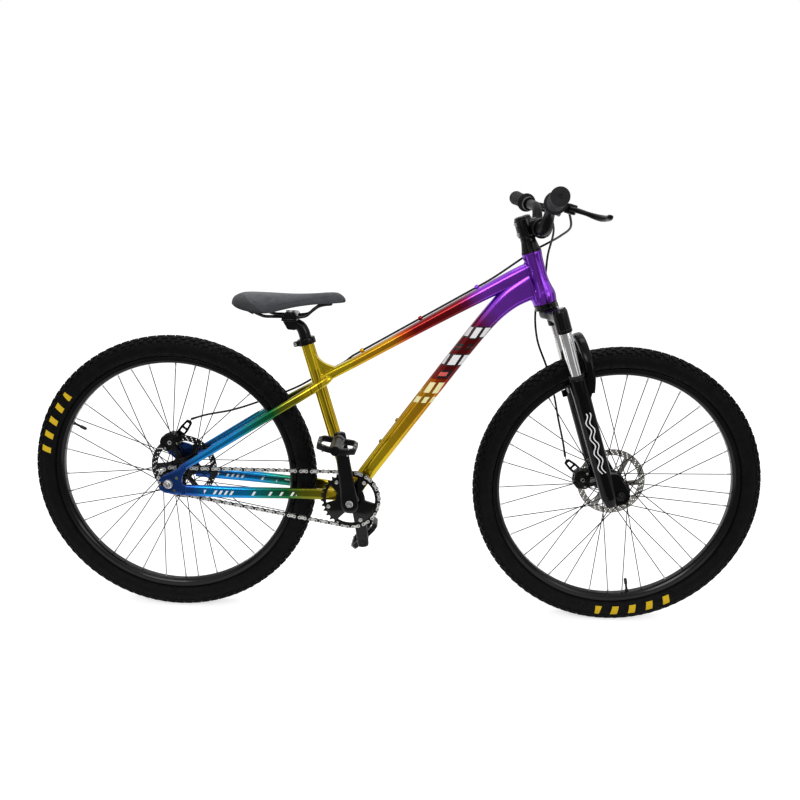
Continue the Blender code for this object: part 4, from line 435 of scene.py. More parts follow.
def combine(base, joined=(), cut=()):
    """The base shape with others joined to it, and then others cut from it."""
    operands = []
    for shape in (base, *joined, *cut):
        bmesh.ops.recalc_face_normals(shape, faces=shape.faces)
        mesh = bpy.data.meshes.new("operand")
        shape.to_mesh(mesh)
        shape.free()
        operands.append(add("operand", mesh))
    for index, operand in enumerate(operands[1:]):
        step = operands[0].modifiers.new("step", "BOOLEAN")
        step.operation = "UNION" if index < len(joined) else "DIFFERENCE"
        step.solver = "EXACT"
        step.object = operand
    graph = bpy.context.evaluated_depsgraph_get()
    mesh = bpy.data.meshes.new_from_object(operands[0].evaluated_get(graph))
    result = bmesh.new()
    result.from_mesh(mesh)
    for operand in operands:
        data = operand.data
        bpy.data.objects.remove(operand, do_unlink=True)
        bpy.data.meshes.remove(data)
    return result


def painted(shape, number=1):
    """The shape with another of its piece's materials, by default the second."""
    for face in shape.faces:
        face.material_index = number
    return shape


BODY_OF = {node: body for body, nodes in frame["record"]["behaviour"]["bodies"].items() for node in nodes}


def piece_of(node, shape, materials, smooth):
    """The finished object for a CAD node, smooth but at edges that turn by more than an angle in degrees."""
    mesh = bpy.data.meshes.new(node + "_fine")
    shape.to_mesh(mesh)
    shape.free()
    for material in materials:
        mesh.materials.append(material)
    mesh.shade_smooth()
    mesh.set_sharp_from_angle(angle=radians(smooth))
    return add(node + "_fine", mesh)


def put(node, shape, *materials, smooth=38.0):
    """The finished piece that stands for a CAD node, on the node's body."""
    piece = piece_of(node, shape, materials, smooth)
    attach(piece, BODY_OF[node])
    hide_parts(node)
    return piece


def cad_shape(node):
    """A CAD node's own shape, with the edges inside its flat faces dissolved."""
    shape = bmesh.new()
    shape.from_mesh(frame["nodes"][node].data)
    bmesh.ops.remove_doubles(shape, verts=shape.verts, dist=2e-6)
    bmesh.ops.dissolve_limit(shape, angle_limit=radians(0.5), verts=shape.verts, edges=shape.edges)
    return shape


# Materials, with their patterns in the coordinates of the bicycle at rest

def tint(red, green, blue):
    """A colour from screen values of 0 to 255."""
    return (*((value / 255) ** 2.2 for value in (red, green, blue)), 1.0)


def give(socket, value):
    """Links an output to a socket, or gives the socket a fixed value."""
    if isinstance(value, bpy.types.NodeSocket):
        socket.id_data.links.new(value, socket)
    else:
        socket.default_value = value


def new_node(tree, kind, inputs=(), **settings):
    """A node with its settings. Its inputs are given by name or by number."""
    made = tree.nodes.new(kind)
    for key, value in settings.items():
        setattr(made, key, value)
    for socket, value in dict(inputs).items():
        give(made.inputs[socket], value)
    return made


class Finish:
    """A procedural material while it is being made."""

    def __init__(self, name, **sockets):
        self.material = bpy.data.materials.new(name)
        self.material.use_nodes = True
        self.tree = self.material.node_tree
        self.place = self.node("ShaderNodeTexCoord").outputs["Object"]
        for socket, value in sockets.items():
            self.set(socket.replace("_", " "), value)

    def set(self, socket, value):
        """Gives a socket of the shader a fixed value, or links an output to it."""
        give(self.tree.nodes["Principled BSDF"].inputs[socket], value)

    def node(self, kind, inputs=(), **settings):
        return new_node(self.tree, kind, inputs, **settings)

    def math(self, operation, *values):
        return self.node("ShaderNodeMath", enumerate(values), operation=operation).outputs[0]

    def vector_math(self, operation, *values):
        return self.node("ShaderNodeVectorMath", enumerate(values), operation=operation).outputs

    def product(self, first, *others):
        """The product of several values, which is 1 where several masks meet."""
        for other in others:
            first = self.math("MULTIPLY", first, other)
        return first

    def along(self, direction, offset=0.0):
        """The distance of each point along a direction."""
        return self.math("ADD", self.vector_math("DOT_PRODUCT", self.place, tuple(direction))["Value"],
                         offset)

    def beyond(self, origin, direction):
        """The distance of each point from an origin along a direction."""
        return self.along(direction, -origin.dot(direction))

    def away(self, centre):
        """The vector from a centre to each point."""
        return self.vector_math("SUBTRACT", self.place, tuple(centre))[0]

    def between(self, value, low, high):
        """1 where a value lies between two limits."""
        return self.product(self.math("GREATER_THAN", value, low), self.math("LESS_THAN", value, high))

    def outside(self, distance):
        """1 where a point lies farther than a distance from the bicycle's middle plane."""
        return self.math("GREATER_THAN", self.math("ABSOLUTE", self.along(Y_AXIS)), distance)

    def ranged(self, value, low, high, to_low, to_high):
        """A value carried from one range to another, and held at its ends."""
        return self.node("ShaderNodeMapRange",
                         enumerate((value, low, high, to_low, to_high))).outputs["Result"]

    def noise(self, scale, detail=3.0):
        made = self.node("ShaderNodeTexNoise", {"Vector": self.place, "Scale": scale, "Detail": detail})
        return made.outputs["Fac"]

    def line_noise(self, value, scale, detail):
        """Noise that changes with one value only."""
        inputs = {"W": value, "Scale": scale, "Detail": detail}
        return self.node("ShaderNodeTexNoise", inputs, noise_dimensions="1D").outputs["Fac"]

    def uneven(self, scale, detail, to_low, to_high, low=0.3):
        """Noise carried to a range."""
        return self.ranged(self.noise(scale, detail), low, 0.7, to_low, to_high)

    def cells(self, scale):
        return self.node("ShaderNodeTexVoronoi", {"Vector": self.place, "Scale": scale}).outputs["Distance"]

    def graded(self, value, stops):
        """Colours along a value, with their stops at the value's own numbers."""
        low, high = stops[0][0], stops[-1][0]
        made = self.node("ShaderNodeValToRGB", {"Fac": self.ranged(value, low, high, 0.0, 1.0)})
        elements = made.color_ramp.elements
        while len(elements) < len(stops):
            elements.new(1.0)
        for element, (position, colour) in zip(elements, stops):
            element.position = (position - low) / (high - low)
            element.color = colour
        return made.outputs["Color"]

    def mixed(self, share, first, second):
        """One colour over another, by the share of the second."""
        return self.node("ShaderNodeMix", {0: share, 6: first, 7: second}, data_type="RGBA").outputs[2]

    def bump(self, *layers):
        """Surface relief. Each layer is (height, strength, distance in metres)."""
        below = {}
        for height, strength, distance in layers:
            inputs = {"Height": height, "Strength": strength, "Distance": distance, **below}
            below = {"Normal": self.node("ShaderNodeBump", inputs).outputs["Normal"]}
        self.set("Normal", below["Normal"])
        return self.material

    def blocks(self, run, rise, pitch, slant, share, seed):
        """Plain slanted blocks in a row: a mask, and a number for each block."""
        step = self.math("DIVIDE", self.math("ADD", run, self.product(rise, slant)), pitch)
        number = self.math("ADD", self.math("FLOOR", step), seed)
        chance = self.node("ShaderNodeTexWhiteNoise", {"W": number}, noise_dimensions="1D").outputs["Value"]
        return self.math("LESS_THAN", self.math("FRACT", step), share), chance


GOLD = tint(206, 164, 22)
STRAW = tint(206, 178, 26)
FRONT_SHADES = [(-0.34, STRAW), (-0.26, STRAW), (-0.16, GOLD), (-0.03, tint(198, 136, 18)),
                (0.002, tint(196, 78, 6)), (0.036, tint(134, 8, 6)), (0.12, tint(126, 0, 12)),
                (0.17, tint(116, 2, 26)), (0.196, tint(130, 16, 80)), (0.22, tint(134, 56, 162)),
                (0.25, tint(140, 62, 206)), (0.32, tint(132, 56, 200))]
REAR_SHADES = [(-0.53, tint(24, 60, 125)), (-0.486, tint(28, 80, 160)), (-0.46, tint(10, 132, 208)),
               (-0.372, tint(12, 136, 198)), (-0.336, tint(5, 134, 138)), (-0.3, tint(10, 112, 86)),
               (-0.27, tint(8, 104, 46)), (-0.245, tint(104, 112, 14)), (-0.212, tint(132, 124, 14)),
               (-0.18, STRAW)]
WHITE_PAINT = tint(238, 238, 240)
PALE_RED = tint(214, 92, 86)
CREAM = tint(246, 238, 176)
# Black for the down tube's printed art, also used for painted shade and painted reflection on the frame.
PRINT_AND_SHADE_BLACK = tint(12, 10, 12)
DARK_RED = tint(98, 4, 14)
# Rows of plain blocks on the down tube: lowest and highest z, pitch, share of it, seed, colour
ART_ROWS = [(0.676, 0.706, 0.02, 0.9, 1.0, PRINT_AND_SHADE_BLACK), (0.679, 0.7035, 0.02, 0.66, 1.0, WHITE_PAINT),
            (0.649, 0.666, 0.023, 0.6, 3.0, PRINT_AND_SHADE_BLACK), (0.6535, 0.66, 0.023, 0.6, 3.0, DARK_RED),
            (0.6125, 0.643, 0.0245, 0.92, 5.0, PRINT_AND_SHADE_BLACK), (0.615, 0.6405, 0.0245, 0.7, 5.0, WHITE_PAINT),
            (0.584, 0.605, 0.039, 0.66, 7.0, PRINT_AND_SHADE_BLACK), (0.5885, 0.6005, 0.039, 0.46, 7.0, PALE_RED),
            (0.549, 0.576, 0.02, 0.64, 9.0, CREAM), (0.525, 0.542, 0.018, 0.58, 9.0, CREAM)]
DOWN_TUBE_FOOT = Vector((-0.0959, 0, 0.302))
DOWN_TUBE_HEADING = Vector((0.5801, 0, 0.8145))
# Painted dark reflection streaks along two tubes, standing also for the finish's own streaks: a point, the
# tube's way and across it, half width, lowest, highest, colour
REFLECTION_STREAK_TUBES = [(BB_CENTRE, SEAT_UP, SEAT_FORWARD, 0.021, 0.02, 0.31, tint(64, 38, 6)),
                (HEAD_TOP, STEER_DOWN, STEER_FORWARD, 0.026, 0.0, HEAD_LENGTH, tint(44, 16, 84))]


def oil_slick():
    """Plated aluminium under a tinted clear coat that runs from blue over green, gold and red to purple."""
    f = Finish("oil_slick_chrome", Coat_Weight=0.2, Coat_Roughness=0.06)
    drift = f.uneven(7.0, 2.0, -0.012, 0.012)
    ahead = f.math("ADD", f.along((1, 0, 0.66), -0.462), drift)
    behind = f.math("ADD", f.along((1, 0, 0.16), -0.08), drift)
    is_front = f.math("GREATER_THAN", f.along(X_AXIS), -0.1)
    colour = f.mixed(is_front, f.graded(behind, REAR_SHADES), f.graded(ahead, FRONT_SHADES))
    # Darker blotches over the whole frame: partly the finish's own swirl, partly painted dark reflection in
    # the chrome.
    swirl_and_painted_reflection = f.uneven(22.0, 4.0, 0.0, 0.34, 0.35)
    colour = f.mixed(swirl_and_painted_reflection, colour, f.mixed(0.5, colour, PRINT_AND_SHADE_BLACK))

    # Painted reflection: dark streaks that run along the seat tube and the head tube.
    for origin, up, aside, half, low, high, shade in REFLECTION_STREAK_TUBES:
        sideways = f.beyond(origin, aside)
        on_tube = f.product(f.between(sideways, -half, half), f.between(f.beyond(origin, up), low, high))
        strength = f.ranged(f.line_noise(sideways, 210.0, 2.0), 0.5, 0.6, 0.0, 0.62)
        colour = f.mixed(f.product(on_tube, strength), colour, shade)

    rise = f.beyond(DOWN_TUBE_FOOT, quarter(DOWN_TUBE_HEADING))
    on_tube = f.product(f.outside(0.0065), f.between(rise, -0.03, 0.023))
    painted_over = 0.0
    height = f.along(Z_AXIS)
    run = f.along(X_AXIS)
    ground = f.between(height, 0.584, 0.7)
    colour = f.mixed(f.product(ground, on_tube), colour, f.mixed(0.75, colour, DARK_RED))
    for low, high, pitch, share, seed, paint in ART_ROWS:
        mask, chance = f.blocks(run, height, pitch, -0.62, share, seed)
        ragged = f.between(height, f.ranged(chance, 0.0, 1.0, low, low + 0.005), high)
        inside = f.product(mask, on_tube, f.math("GREATER_THAN", rise, -0.015), ragged)
        colour = f.mixed(inside, colour, paint)
        painted_over = f.math("MAXIMUM", painted_over, inside)
    # Painted shade: a black band along the down tube's lower edge, laid over the art.
    edge = f.product(f.between(height, 0.5, 0.716), f.between(rise, -0.04, -0.015), 0.85)
    colour = f.mixed(edge, colour, PRINT_AND_SHADE_BLACK)

    rise = f.along((0.0358, 0, 1), -0.299)
    mask, chance = f.blocks(run, rise, 0.0125, -0.6, 0.42, 5.0)
    inside = f.product(f.between(run, -0.435, -0.225), f.between(rise, -0.0045, 0.005))
    bars = f.product(f.product(mask, f.math("GREATER_THAN", chance, 0.22)), inside, f.outside(0.04))
    colour = f.mixed(bars, colour, WHITE_PAINT)
    painted_over = f.math("MAXIMUM", painted_over, bars)

    f.set("Base Color", colour)
    f.set("Metallic", f.ranged(painted_over, 0.0, 1.0, 0.86, 0.0))
    f.set("Roughness", f.uneven(60.0, 3.0, 0.12, 0.22))
    return f.bump((f.noise(26.0, 2.0), 0.3, 0.0008), (f.noise(420.0, 2.0), 0.03, 0.0001))


def dark_paint(name, shade, other, rough, grain, coat, level, metallic=0.0):
    """A painted, anodised or moulded black, with its colour and gloss a little uneven."""
    f = Finish(name, Coat_Weight=coat, Coat_Roughness=0.06, Specular_IOR_Level=level, Metallic=metallic)
    f.set("Base Color", f.mixed(f.uneven(35.0, 4.0, 0.0, 1.0, 0.35), shade, other))
    f.set("Roughness", f.uneven(90.0, 3.0, rough - 0.05, rough + 0.06))
    return f.bump((f.noise(grain), 0.12, 0.0002))


def fork_paint():
    """The fork's gloss black, with two plain white wavy lines down the legs' outer sides."""
    f = Finish("fork_black", Coat_Weight=0.05, Coat_Roughness=0.05, Specular_IOR_Level=0.12)
    run = f.beyond(HEAD_TOP, STEER_DOWN)
    rise = f.along(STEER_FORWARD, -HEAD_TOP.dot(STEER_FORWARD) - LEG_OFFSET)
    wave = f.product(f.math("SINE", f.product(run, 2 * pi / 0.036)), 0.0034)
    swing = f.math("SUBTRACT", rise, wave)
    lines = f.math("MAXIMUM", f.between(swing, 0.0018, 0.0042), f.between(swing, -0.0062, -0.0038))
    inside = f.product(f.between(run, 0.364, 0.509), lines, f.outside(LEG_SIDE + 0.01))
    black = f.mixed(f.noise(35.0, 4.0), tint(5, 5, 6), tint(12, 12, 13))
    f.set("Base Color", f.mixed(inside, black, WHITE_PAINT))
    f.set("Roughness", f.uneven(70.0, 3.0, 0.12, 0.22))
    return f.bump((f.noise(60.0, 2.0), 0.08, 0.0003))


def metal(name, shade, other, low_rough, high_rough, scale=160.0, strength=0.12, metallic=1.0):
    """A bare or plated metal, with its colour and gloss a little uneven."""
    f = Finish(name, Metallic=metallic)
    f.set("Base Color", f.mixed(f.uneven(40.0, 4.0, 0.0, 1.0, 0.35), shade, other))
    f.set("Roughness", f.uneven(scale, 3.0, low_rough, high_rough))
    return f.bump((f.noise(scale), strength, 0.0002))


def tyre_rubber(name, centre, first, pitch):
    """Tyre rubber with fine rings on the sidewall and five plain yellow bars from one angle on."""
    f = Finish(name, Specular_IOR_Level=0.1)
    x, _, z = f.node("ShaderNodeSeparateXYZ", {0: f.away(centre)}).outputs
    radius = f.math("SQRT", f.math("ADD", f.product(x, x), f.product(z, z)))
    run = f.product(f.math("SUBTRACT", f.math("ARCTAN2", z, x), radians(first)), 0.308)
    rise = f.math("SUBTRACT", radius, 0.2955)
    mask, _ = f.blocks(run, rise, pitch, 0.3, 0.38, 7.0)
    bars = f.product(f.between(run, 0.0, 4.7 * pitch), f.between(rise, 0.0, 0.0195), mask)
    black = f.mixed(f.uneven(45.0, 5.0, 0.0, 1.0), tint(6, 6, 8), tint(17, 17, 19))
    f.set("Base Color", f.mixed(bars, black, tint(214, 178, 40)))
    f.set("Roughness", f.uneven(120.0, 4.0, 0.48, 0.74))
    rings = f.math("SINE", f.product(radius, 2 * pi / 0.0016))
    side = f.product(rings, f.between(radius, 0.287, 0.2975))
    return f.bump((side, 0.25, 0.0003), (f.noise(520.0), 0.25, 0.0003))


def grip_rubber():
    f = Finish("grip_rubber", Specular_IOR_Level=0.22, Sheen_Weight=0.05)
    f.set("Base Color", f.mixed(f.noise(60.0, 4.0), tint(20, 20, 22), tint(38, 38, 41)))
    f.set("Roughness", f.uneven(150.0, 3.0, 0.55, 0.75))
    return f.bump((f.cells(900.0), 0.3, 0.0003), (f.noise(300.0), 0.2, 0.0002))


def saddle_leather():
    """A fine-grained cover with painted shade that darkens it towards its lower edge, a black tail panel and
    a black nose.
    """
    f = Finish("saddle_cover", Specular_IOR_Level=0.3, Sheen_Weight=0.1)
    base = f.mixed(f.uneven(28.0, 5.0, 0.0, 1.0), tint(58, 60, 65), tint(80, 82, 88))
    # Painted shade: darker towards the cover's lower edge.
    base = f.mixed(f.ranged(f.along(Z_AXIS), 0.74, 0.772, 0.65, 0.0), base, tint(32, 33, 37))
    tail = f.ranged(f.along((0.707, 0, 1), 0.707 * 0.352 - 0.775), -0.0008, 0.0008, 0.8, 0.0)
    nose = f.ranged(f.along((1, 0, -0.5), 0.118 + 0.5 * 0.752), -0.006, -0.004, 0.0, 0.75)
    base = f.mixed(f.math("MAXIMUM", tail, nose), base, tint(20, 20, 23))
    f.set("Base Color", f.mixed(f.ranged(f.cells(520.0), 0.0, 0.6, 0.5, 0.0), base, tint(42, 44, 50)))
    f.set("Roughness", f.uneven(90.0, 4.0, 0.46, 0.64))
    return f.bump((f.cells(560.0), 0.45, 0.0005), (f.noise(70.0), 0.25, 0.0008))


def rotor_steel(name, centre, dark, pale):
    """Rotor steel with fine turning marks about the axle."""
    f = Finish(name, Metallic=1.0)
    marks = f.line_noise(f.vector_math("LENGTH", f.away(centre))["Value"], 1400.0, 3.0)
    f.set("Base Color", f.mixed(marks, dark, pale))
    f.set("Roughness", f.ranged(marks, 0.3, 0.7, 0.2, 0.38))
    return f.bump((marks, 0.25, 0.0001))


FRAME_FINISH = oil_slick()
GLOSS_BLACK = dark_paint("gloss_black", tint(5, 5, 6), tint(14, 14, 15), 0.2, 60.0, 0.12, 0.26, 0.3)
SATIN_BLACK = dark_paint("satin_black", tint(8, 8, 9), tint(22, 22, 24), 0.38, 380.0, 0.0, 0.3, 0.4)
BAR_BLACK = dark_paint("bar_black", tint(5, 5, 6), tint(13, 13, 14), 0.45, 300.0, 0.0, 0.1, 0.5)
SPOKE_BLACK = dark_paint("spoke_black", tint(8, 8, 9), tint(20, 20, 22), 0.36, 300.0, 0.0, 0.15, 0.5)
SADDLE_BASE = dark_paint("saddle_base", tint(14, 14, 15), tint(26, 26, 28), 0.5, 700.0, 0.0, 0.25)
HOUSING = dark_paint("cable_housing", tint(8, 8, 9), tint(20, 20, 22), 0.36, 500.0, 0.0, 0.35)
FORK_BLACK = fork_paint()
DARK_STEEL = metal("dark_steel", tint(34, 34, 36), tint(66, 66, 68), 0.28, 0.48)
BRIGHT_STEEL = metal("bright_steel", tint(186, 186, 186), tint(222, 222, 220), 0.16, 0.32)
CHAIN_STEEL = metal("chain_steel", tint(206, 206, 202), tint(236, 235, 230), 0.22, 0.4, 260.0, metallic=0.6)
CHROME = metal("chrome_tube", tint(214, 214, 216), tint(232, 232, 234), 0.05, 0.12, 50.0, 0.03)
BOLT_STEEL = metal("bolt_steel", tint(168, 168, 164), tint(208, 208, 202), 0.22, 0.4, metallic=0.8)
BOSS_STEEL = metal("boss_steel", tint(112, 118, 70), tint(150, 150, 110), 0.26, 0.44)
GRIP = grip_rubber()
LEATHER = saddle_leather()


# The frame

def laid(rear, front, stations, side=1):
    """A tube's stations: share of the way between two ends, bow upward, left, half width and half height."""
    way = front - rear
    upward = quarter(way).normalized()
    return [(rear + way * share + upward * bow + Y_AXIS * (side * left), width, height)
            for share, bow, left, width, height in stations]


TOP_TUBE = laid(seat_point(SEAT_LENGTH - 0.1005, 0.0033), head_point(0.0377, -0.0069),
                [(0.0, 0.0, 0, 0.0135, 0.0105), (0.0561, 0.0009, 0, 0.015, 0.012),
                 (0.1955, 0.0002, 0, 0.0155, 0.0115), (0.4825, 0.0026, 0, 0.0165, 0.013),
                 (0.7852, 0.0038, 0, 0.018, 0.016), (0.9114, 0.0026, 0, 0.018, 0.019),
                 (1.0, 0.0, 0, 0.0165, 0.0205)])
DOWN_TUBE = laid(BB_CENTRE + Vector((0.004, 0, 0.004)), head_point(HEAD_LENGTH - 0.0467, -0.0161),
                 [(0.0, 0.0, 0, 0.02, 0.018), (0.0861, 0.0062, 0, 0.02, 0.0192),
                  (0.4828, 0.0182, 0, 0.0205, 0.02), (0.7011, 0.024, 0, 0.021, 0.02),
                  (0.8255, 0.0249, 0, 0.0215, 0.0215), (0.9191, 0.0182, 0, 0.0215, 0.0265),
                  (1.0, 0.0, 0, 0.02, 0.032)])
SEAT_STAY = [(0.0, 0.0, 0.064, 0.0068, 0.0075), (0.136, -0.0001, 0.0625, 0.0072, 0.0085),
             (0.463, 0.0009, 0.0525, 0.0078, 0.01), (0.7138, 0.0005, 0.0415, 0.008, 0.01),
             (0.8851, -0.0004, 0.0235, 0.0085, 0.01), (0.96, 0.0, 0.0148, 0.008, 0.0092),
             (0.985, 0.0, 0.0118, 0.0066, 0.0072), (1.0, 0.0, 0.01, 0.004, 0.004)]
CHAIN_STAY = [(0.0, 0.0, 0.064, 0.0068, 0.0125), (0.1298, 0.0006, 0.0625, 0.0072, 0.0136),
              (0.3634, 0.0015, 0.056, 0.0078, 0.0134), (0.623, 0.0027, 0.0425, 0.0072, 0.013),
              (0.81, 0.0031, 0.034, 0.006, 0.013), (1.0, 0.0, 0.023, 0.009, 0.0125)]
SEAT_RADIUS = 0.01525
POST_RADIUS = 0.0136
BORE_RADIUS = 0.017
BRACKET_HALF = 0.034
BRACKET_RADIUS = 0.0205
BRACKET_BORE = 0.0175
GUIDE_BORE = 0.0031
GUIDE_WALL = 0.0022
GUIDE_SIDE = 0.0115


def head_bore():
    return pin(HEAD_TOP, STEER_DOWN, -0.02, HEAD_LENGTH + 0.02, BORE_RADIUS, 72)


def seat_bore():
    return pin(BB_CENTRE, SEAT_UP, 0.19, SEAT_LENGTH + 0.02, POST_RADIUS + 2 * GAP, 64)


def bracket_bore():
    return pin(BB_CENTRE, Y_AXIS, -0.06, 0.06, BRACKET_BORE, 64)


def weld(rings, other, radius=0.0018):
    """A scalloped bead where a tube's lines first run into another shape."""
    tree = BVHTree.FromBMesh(other)
    found = []
    for line in zip(*rings):
        for near, far in zip(line, line[1:]):
            hit = tree.ray_cast(near, far - near, (far - near).length)[0]
            if hit:
                found.append(hit)
                break
    points = []
    for near, far in zip(found, found[1:] + found[:1]):
        steps = max(1, round((far - near).length / 0.001))
        points += [near.lerp(far, step / steps) for step in range(steps)]
    radii = [radius * (1 + 0.22 * sin(pi / 2 * index)) for index in range(len(points))]
    return piped(points, radii, 8, closed_loop=True)


def stay_rings(side):
    """The rings of the seat stay and the chain stay on one side."""
    seat_stay = laid(REAR_AXLE + Vector((0.0298, 0, 0.0365)), seat_point(SEAT_LENGTH - 0.0988, 0.033),
                     SEAT_STAY, side)
    chain_stay = laid(REAR_AXLE + Vector((0.0258, 0, -0.016)), BB_CENTRE + Vector((-0.0051, 0, 0.0005)),
                      CHAIN_STAY,
                      side)
    return tube_rings(seat_stay, 28, 2.4, 6), tube_rings(chain_stay, 28, 2.8, 6)


def dropout(side):
    """The plate that holds the rear axle on one side and its bolts, with the disc mount on the left."""
    x, z = REAR_AXLE.x, REAR_AXLE.z
    slot = 0.0053
    upper = [(x - 0.0215, z + 0.01), (x - 0.013, z + 0.0185)]
    if side > 0:
        upper = [(x - 0.0215, z + 0.01), (x - 0.047, z + 0.033), (x - 0.047, z + 0.052),
                 (x - 0.018, z + 0.06), (x + 0.006, z + 0.054)]
    outline = [(x - 0.024, z - slot), *arc(slot, -90, 90, 13, (x, z)), (x - 0.024, z + slot), *upper,
               (x + 0.034, z + 0.043), (x + 0.042, z + 0.034), (x + 0.033, z + 0.02),
               (x + 0.0305, z + 0.002), (x + 0.038, z - 0.006), (x + 0.038, z - 0.026),
               (x + 0.02, z - 0.025), (x - 0.01, z - 0.0215), (x - 0.021, z - 0.014)]
    middle = side * (REAR_FACE + 0.003)
    shape = plate(outline, [], Vector((0, middle, 0)), X_AXIS, Z_AXIS, 0.006, 0.0009, 0.004)
    face = side * (REAR_FACE + 0.006)
    bolts = [bolt(Vector((x + ahead, face, z + rise)), Y_AXIS * side, radius, 0.0016)
             for ahead, rise, radius in ((0.02, 0.015, 0.0034), (0.013, -0.015, 0.0028))]
    return shape, painted(merged(*bolts))


def cage_bosses():
    """The two bottle bosses on the down tube, each with its bolt."""
    low, high = DOWN_TUBE[1][0], DOWN_TUBE[2][0]
    heading = (high - low).normalized()
    upward = quarter(heading)
    middle = low.lerp(high, 0.459) + upward * 0.016
    made = []
    for side in BOTH:
        foot = middle + heading * side * 0.032
        made += [turned([(0.0058, 0), (0.0058, 0.004), (0.005, 0.0046)], foot, upward, 40),
                 painted(bolt(foot + upward * 0.0046, upward, 0.0043, 0.0024))]
    return made


def cable_line():
    """Where the rear brake cable passes the top tube's stations, resting in its guides."""
    line = []
    for near, far in ((TOP_TUBE[4], TOP_TUBE[3]), (TOP_TUBE[3], TOP_TUBE[2])):
        upward = -quarter((far[0] - near[0]).normalized())
        for centre, _, tube_height in (near, far):
            height = tube_height * 0.87 + GUIDE_BORE + GUIDE_WALL - 0.0012
            line.append(centre + upward * height + Y_AXIS * GUIDE_SIDE)
    return [line[0], (line[1] + line[2]) / 2, line[3]]


def cable_guides():
    front, middle, rear = cable_line()
    return [sleeve(GUIDE_BORE, GUIDE_BORE + GUIDE_WALL, -0.004, 0.004, near.lerp(far, share), far - near, 32)
            for near, far, share in ((front, middle, 0.06), (front, middle, 0.94), (middle, rear, 0.92))]


def gusset():
    curve = resampled([(0.0094, -0.0211), (0.0135, -0.0389), (0.0175, -0.0521), (0.0273, -0.0649),
                       (0.0436, -0.0769)], 7)
    outline = [*curve, (0.0432, -0.0924), (0.0093, -0.1013), (0.0003, -0.0184)]
    return plate(outline, [], seat_point(SEAT_LENGTH), SEAT_FORWARD, SEAT_UP, 0.017, 0.005, segments=4)


def fine_frame():
    low = HEAD_LENGTH
    flare = resampled([(0.0222, 0.004), (0.0205, 0.022), (0.0205, low - 0.053), (0.0238, low - 0.033),
                       (0.0276, low - 0.016), (0.0262, low)], 6)
    head = turned([(BORE_RADIUS, 0), (0.0222, 0), *flare, (BORE_RADIUS, low)], HEAD_TOP, STEER_DOWN, 80,
                  ring=True)
    top_rings = tube_rings(TOP_TUBE, 44, 2.6, 8)
    down_rings = tube_rings(DOWN_TUBE, 44, 2.6, 8)
    seat_rings = [oval(seat_point(SEAT_LENGTH * step / 40), Y_AXIS, SEAT_FORWARD, SEAT_RADIUS, SEAT_RADIUS,
                       56)
                  for step in range(41)]
    bracket = sleeve(BRACKET_BORE, BRACKET_RADIUS, -BRACKET_HALF, BRACKET_HALF, BB_CENTRE, Y_AXIS, 72)
    top, down, seat = skin(top_rings), skin(down_rings), skin(seat_rings)
    whole_bracket = pin(BB_CENTRE, Y_AXIS, -BRACKET_HALF, BRACKET_HALF, BRACKET_RADIUS, 72)
    beads = [weld(top_rings, head), weld(top_rings[::-1], seat), weld(down_rings, head),
             weld(seat_rings[::-1], whole_bracket), weld(down_rings[::-1], whole_bracket)]
    shapes = [head, bracket]
    for side in BOTH:
        seat_stay, chain_stay = stay_rings(side)
        plate_shape, bolts = dropout(side)
        beads += [weld(seat_stay, top, 0.0015), weld(chain_stay, whole_bracket, 0.0015),
                  weld(seat_stay[::-1], plate_shape, 0.0012), weld(chain_stay[::-1], plate_shape, 0.0012)]
        shapes += [combine(skin(seat_stay), cut=[seat_bore()]),
                   combine(skin(chain_stay), cut=[bracket_bore()]),
                   plate_shape, bolts]
    whole_bracket.free()
    slot = block(seat_point(SEAT_LENGTH - 0.008, -SEAT_RADIUS), (0.012, 0.002, 0.04), SEAT_TURN, 0)
    shapes += [combine(top, cut=[head_bore(), seat_bore()]), combine(down, cut=[head_bore(), bracket_bore()]),
               combine(seat, cut=[seat_bore(), slot, bracket_bore()]), combine(gusset(), cut=[seat_bore()])]
    put("frame", merged(*shapes, *beads, *cage_bosses(), *cable_guides()), FRAME_FINISH, BOSS_STEEL)


def fine_headset():
    inner, cup = STEERER_ROOM, BORE_RADIUS - 2 * GAP
    upper = turned([(inner, -0.004), (0.0215, -0.004), (0.0219, -0.0026), (0.0212, -0.0022),
                    (0.0222, -0.0018),
                    (0.0222, -GAP), (cup, -GAP), (cup, 0.01), (inner, 0.01)], HEAD_TOP, STEER_DOWN, 72, True,
                   0.0003)
    put("headset_upper_cup", upper, GLOSS_BLACK)
    low = HEAD_LENGTH
    lower = turned([(inner, low - 0.01), (cup, low - 0.01), (cup, low + GAP), (0.0262, low + GAP),
                    (0.026, low + 0.0045), (0.0252, low + 0.005), (0.025, low + 0.01 - GAP),
                    (inner, low + 0.01 - GAP)], HEAD_TOP, STEER_DOWN, 72, True, 0.0004)
    put("headset_lower_cup", lower, GLOSS_BLACK)
    cone = turned([(inner, STEM_BOTTOM + GAP), (0.0163, STEM_BOTTOM + GAP), (0.0165, -0.033),
                   (0.0159, -0.0326),
                   (0.0165, -0.0322), (0.0165, -0.025), (0.0182, -0.016), (0.02, -0.0078), (0.0207, -0.0052),
                   (0.0207, -0.0043), (inner, -0.0043)], HEAD_TOP, STEER_DOWN, 72, True, 0.0008)
    put("headset_cone_spacer", cone, GLOSS_BLACK)


def fine_bottom_bracket():
    half, outer, flange = BRACKET_HALF, BRACKET_BORE - 2 * GAP, 0.0195
    profile = [(SPINDLE_ROOM, -half - 0.003), (flange, -half - 0.003), (flange, -half - GAP),
               (outer, -half - GAP),
               (outer, half + GAP), (flange, half + GAP), (flange, half + 0.003),
               (SPINDLE_ROOM, half + 0.003)]
    put("bottom_bracket", turned(profile, BB_CENTRE, Y_AXIS, 64, ring=True), DARK_STEEL)


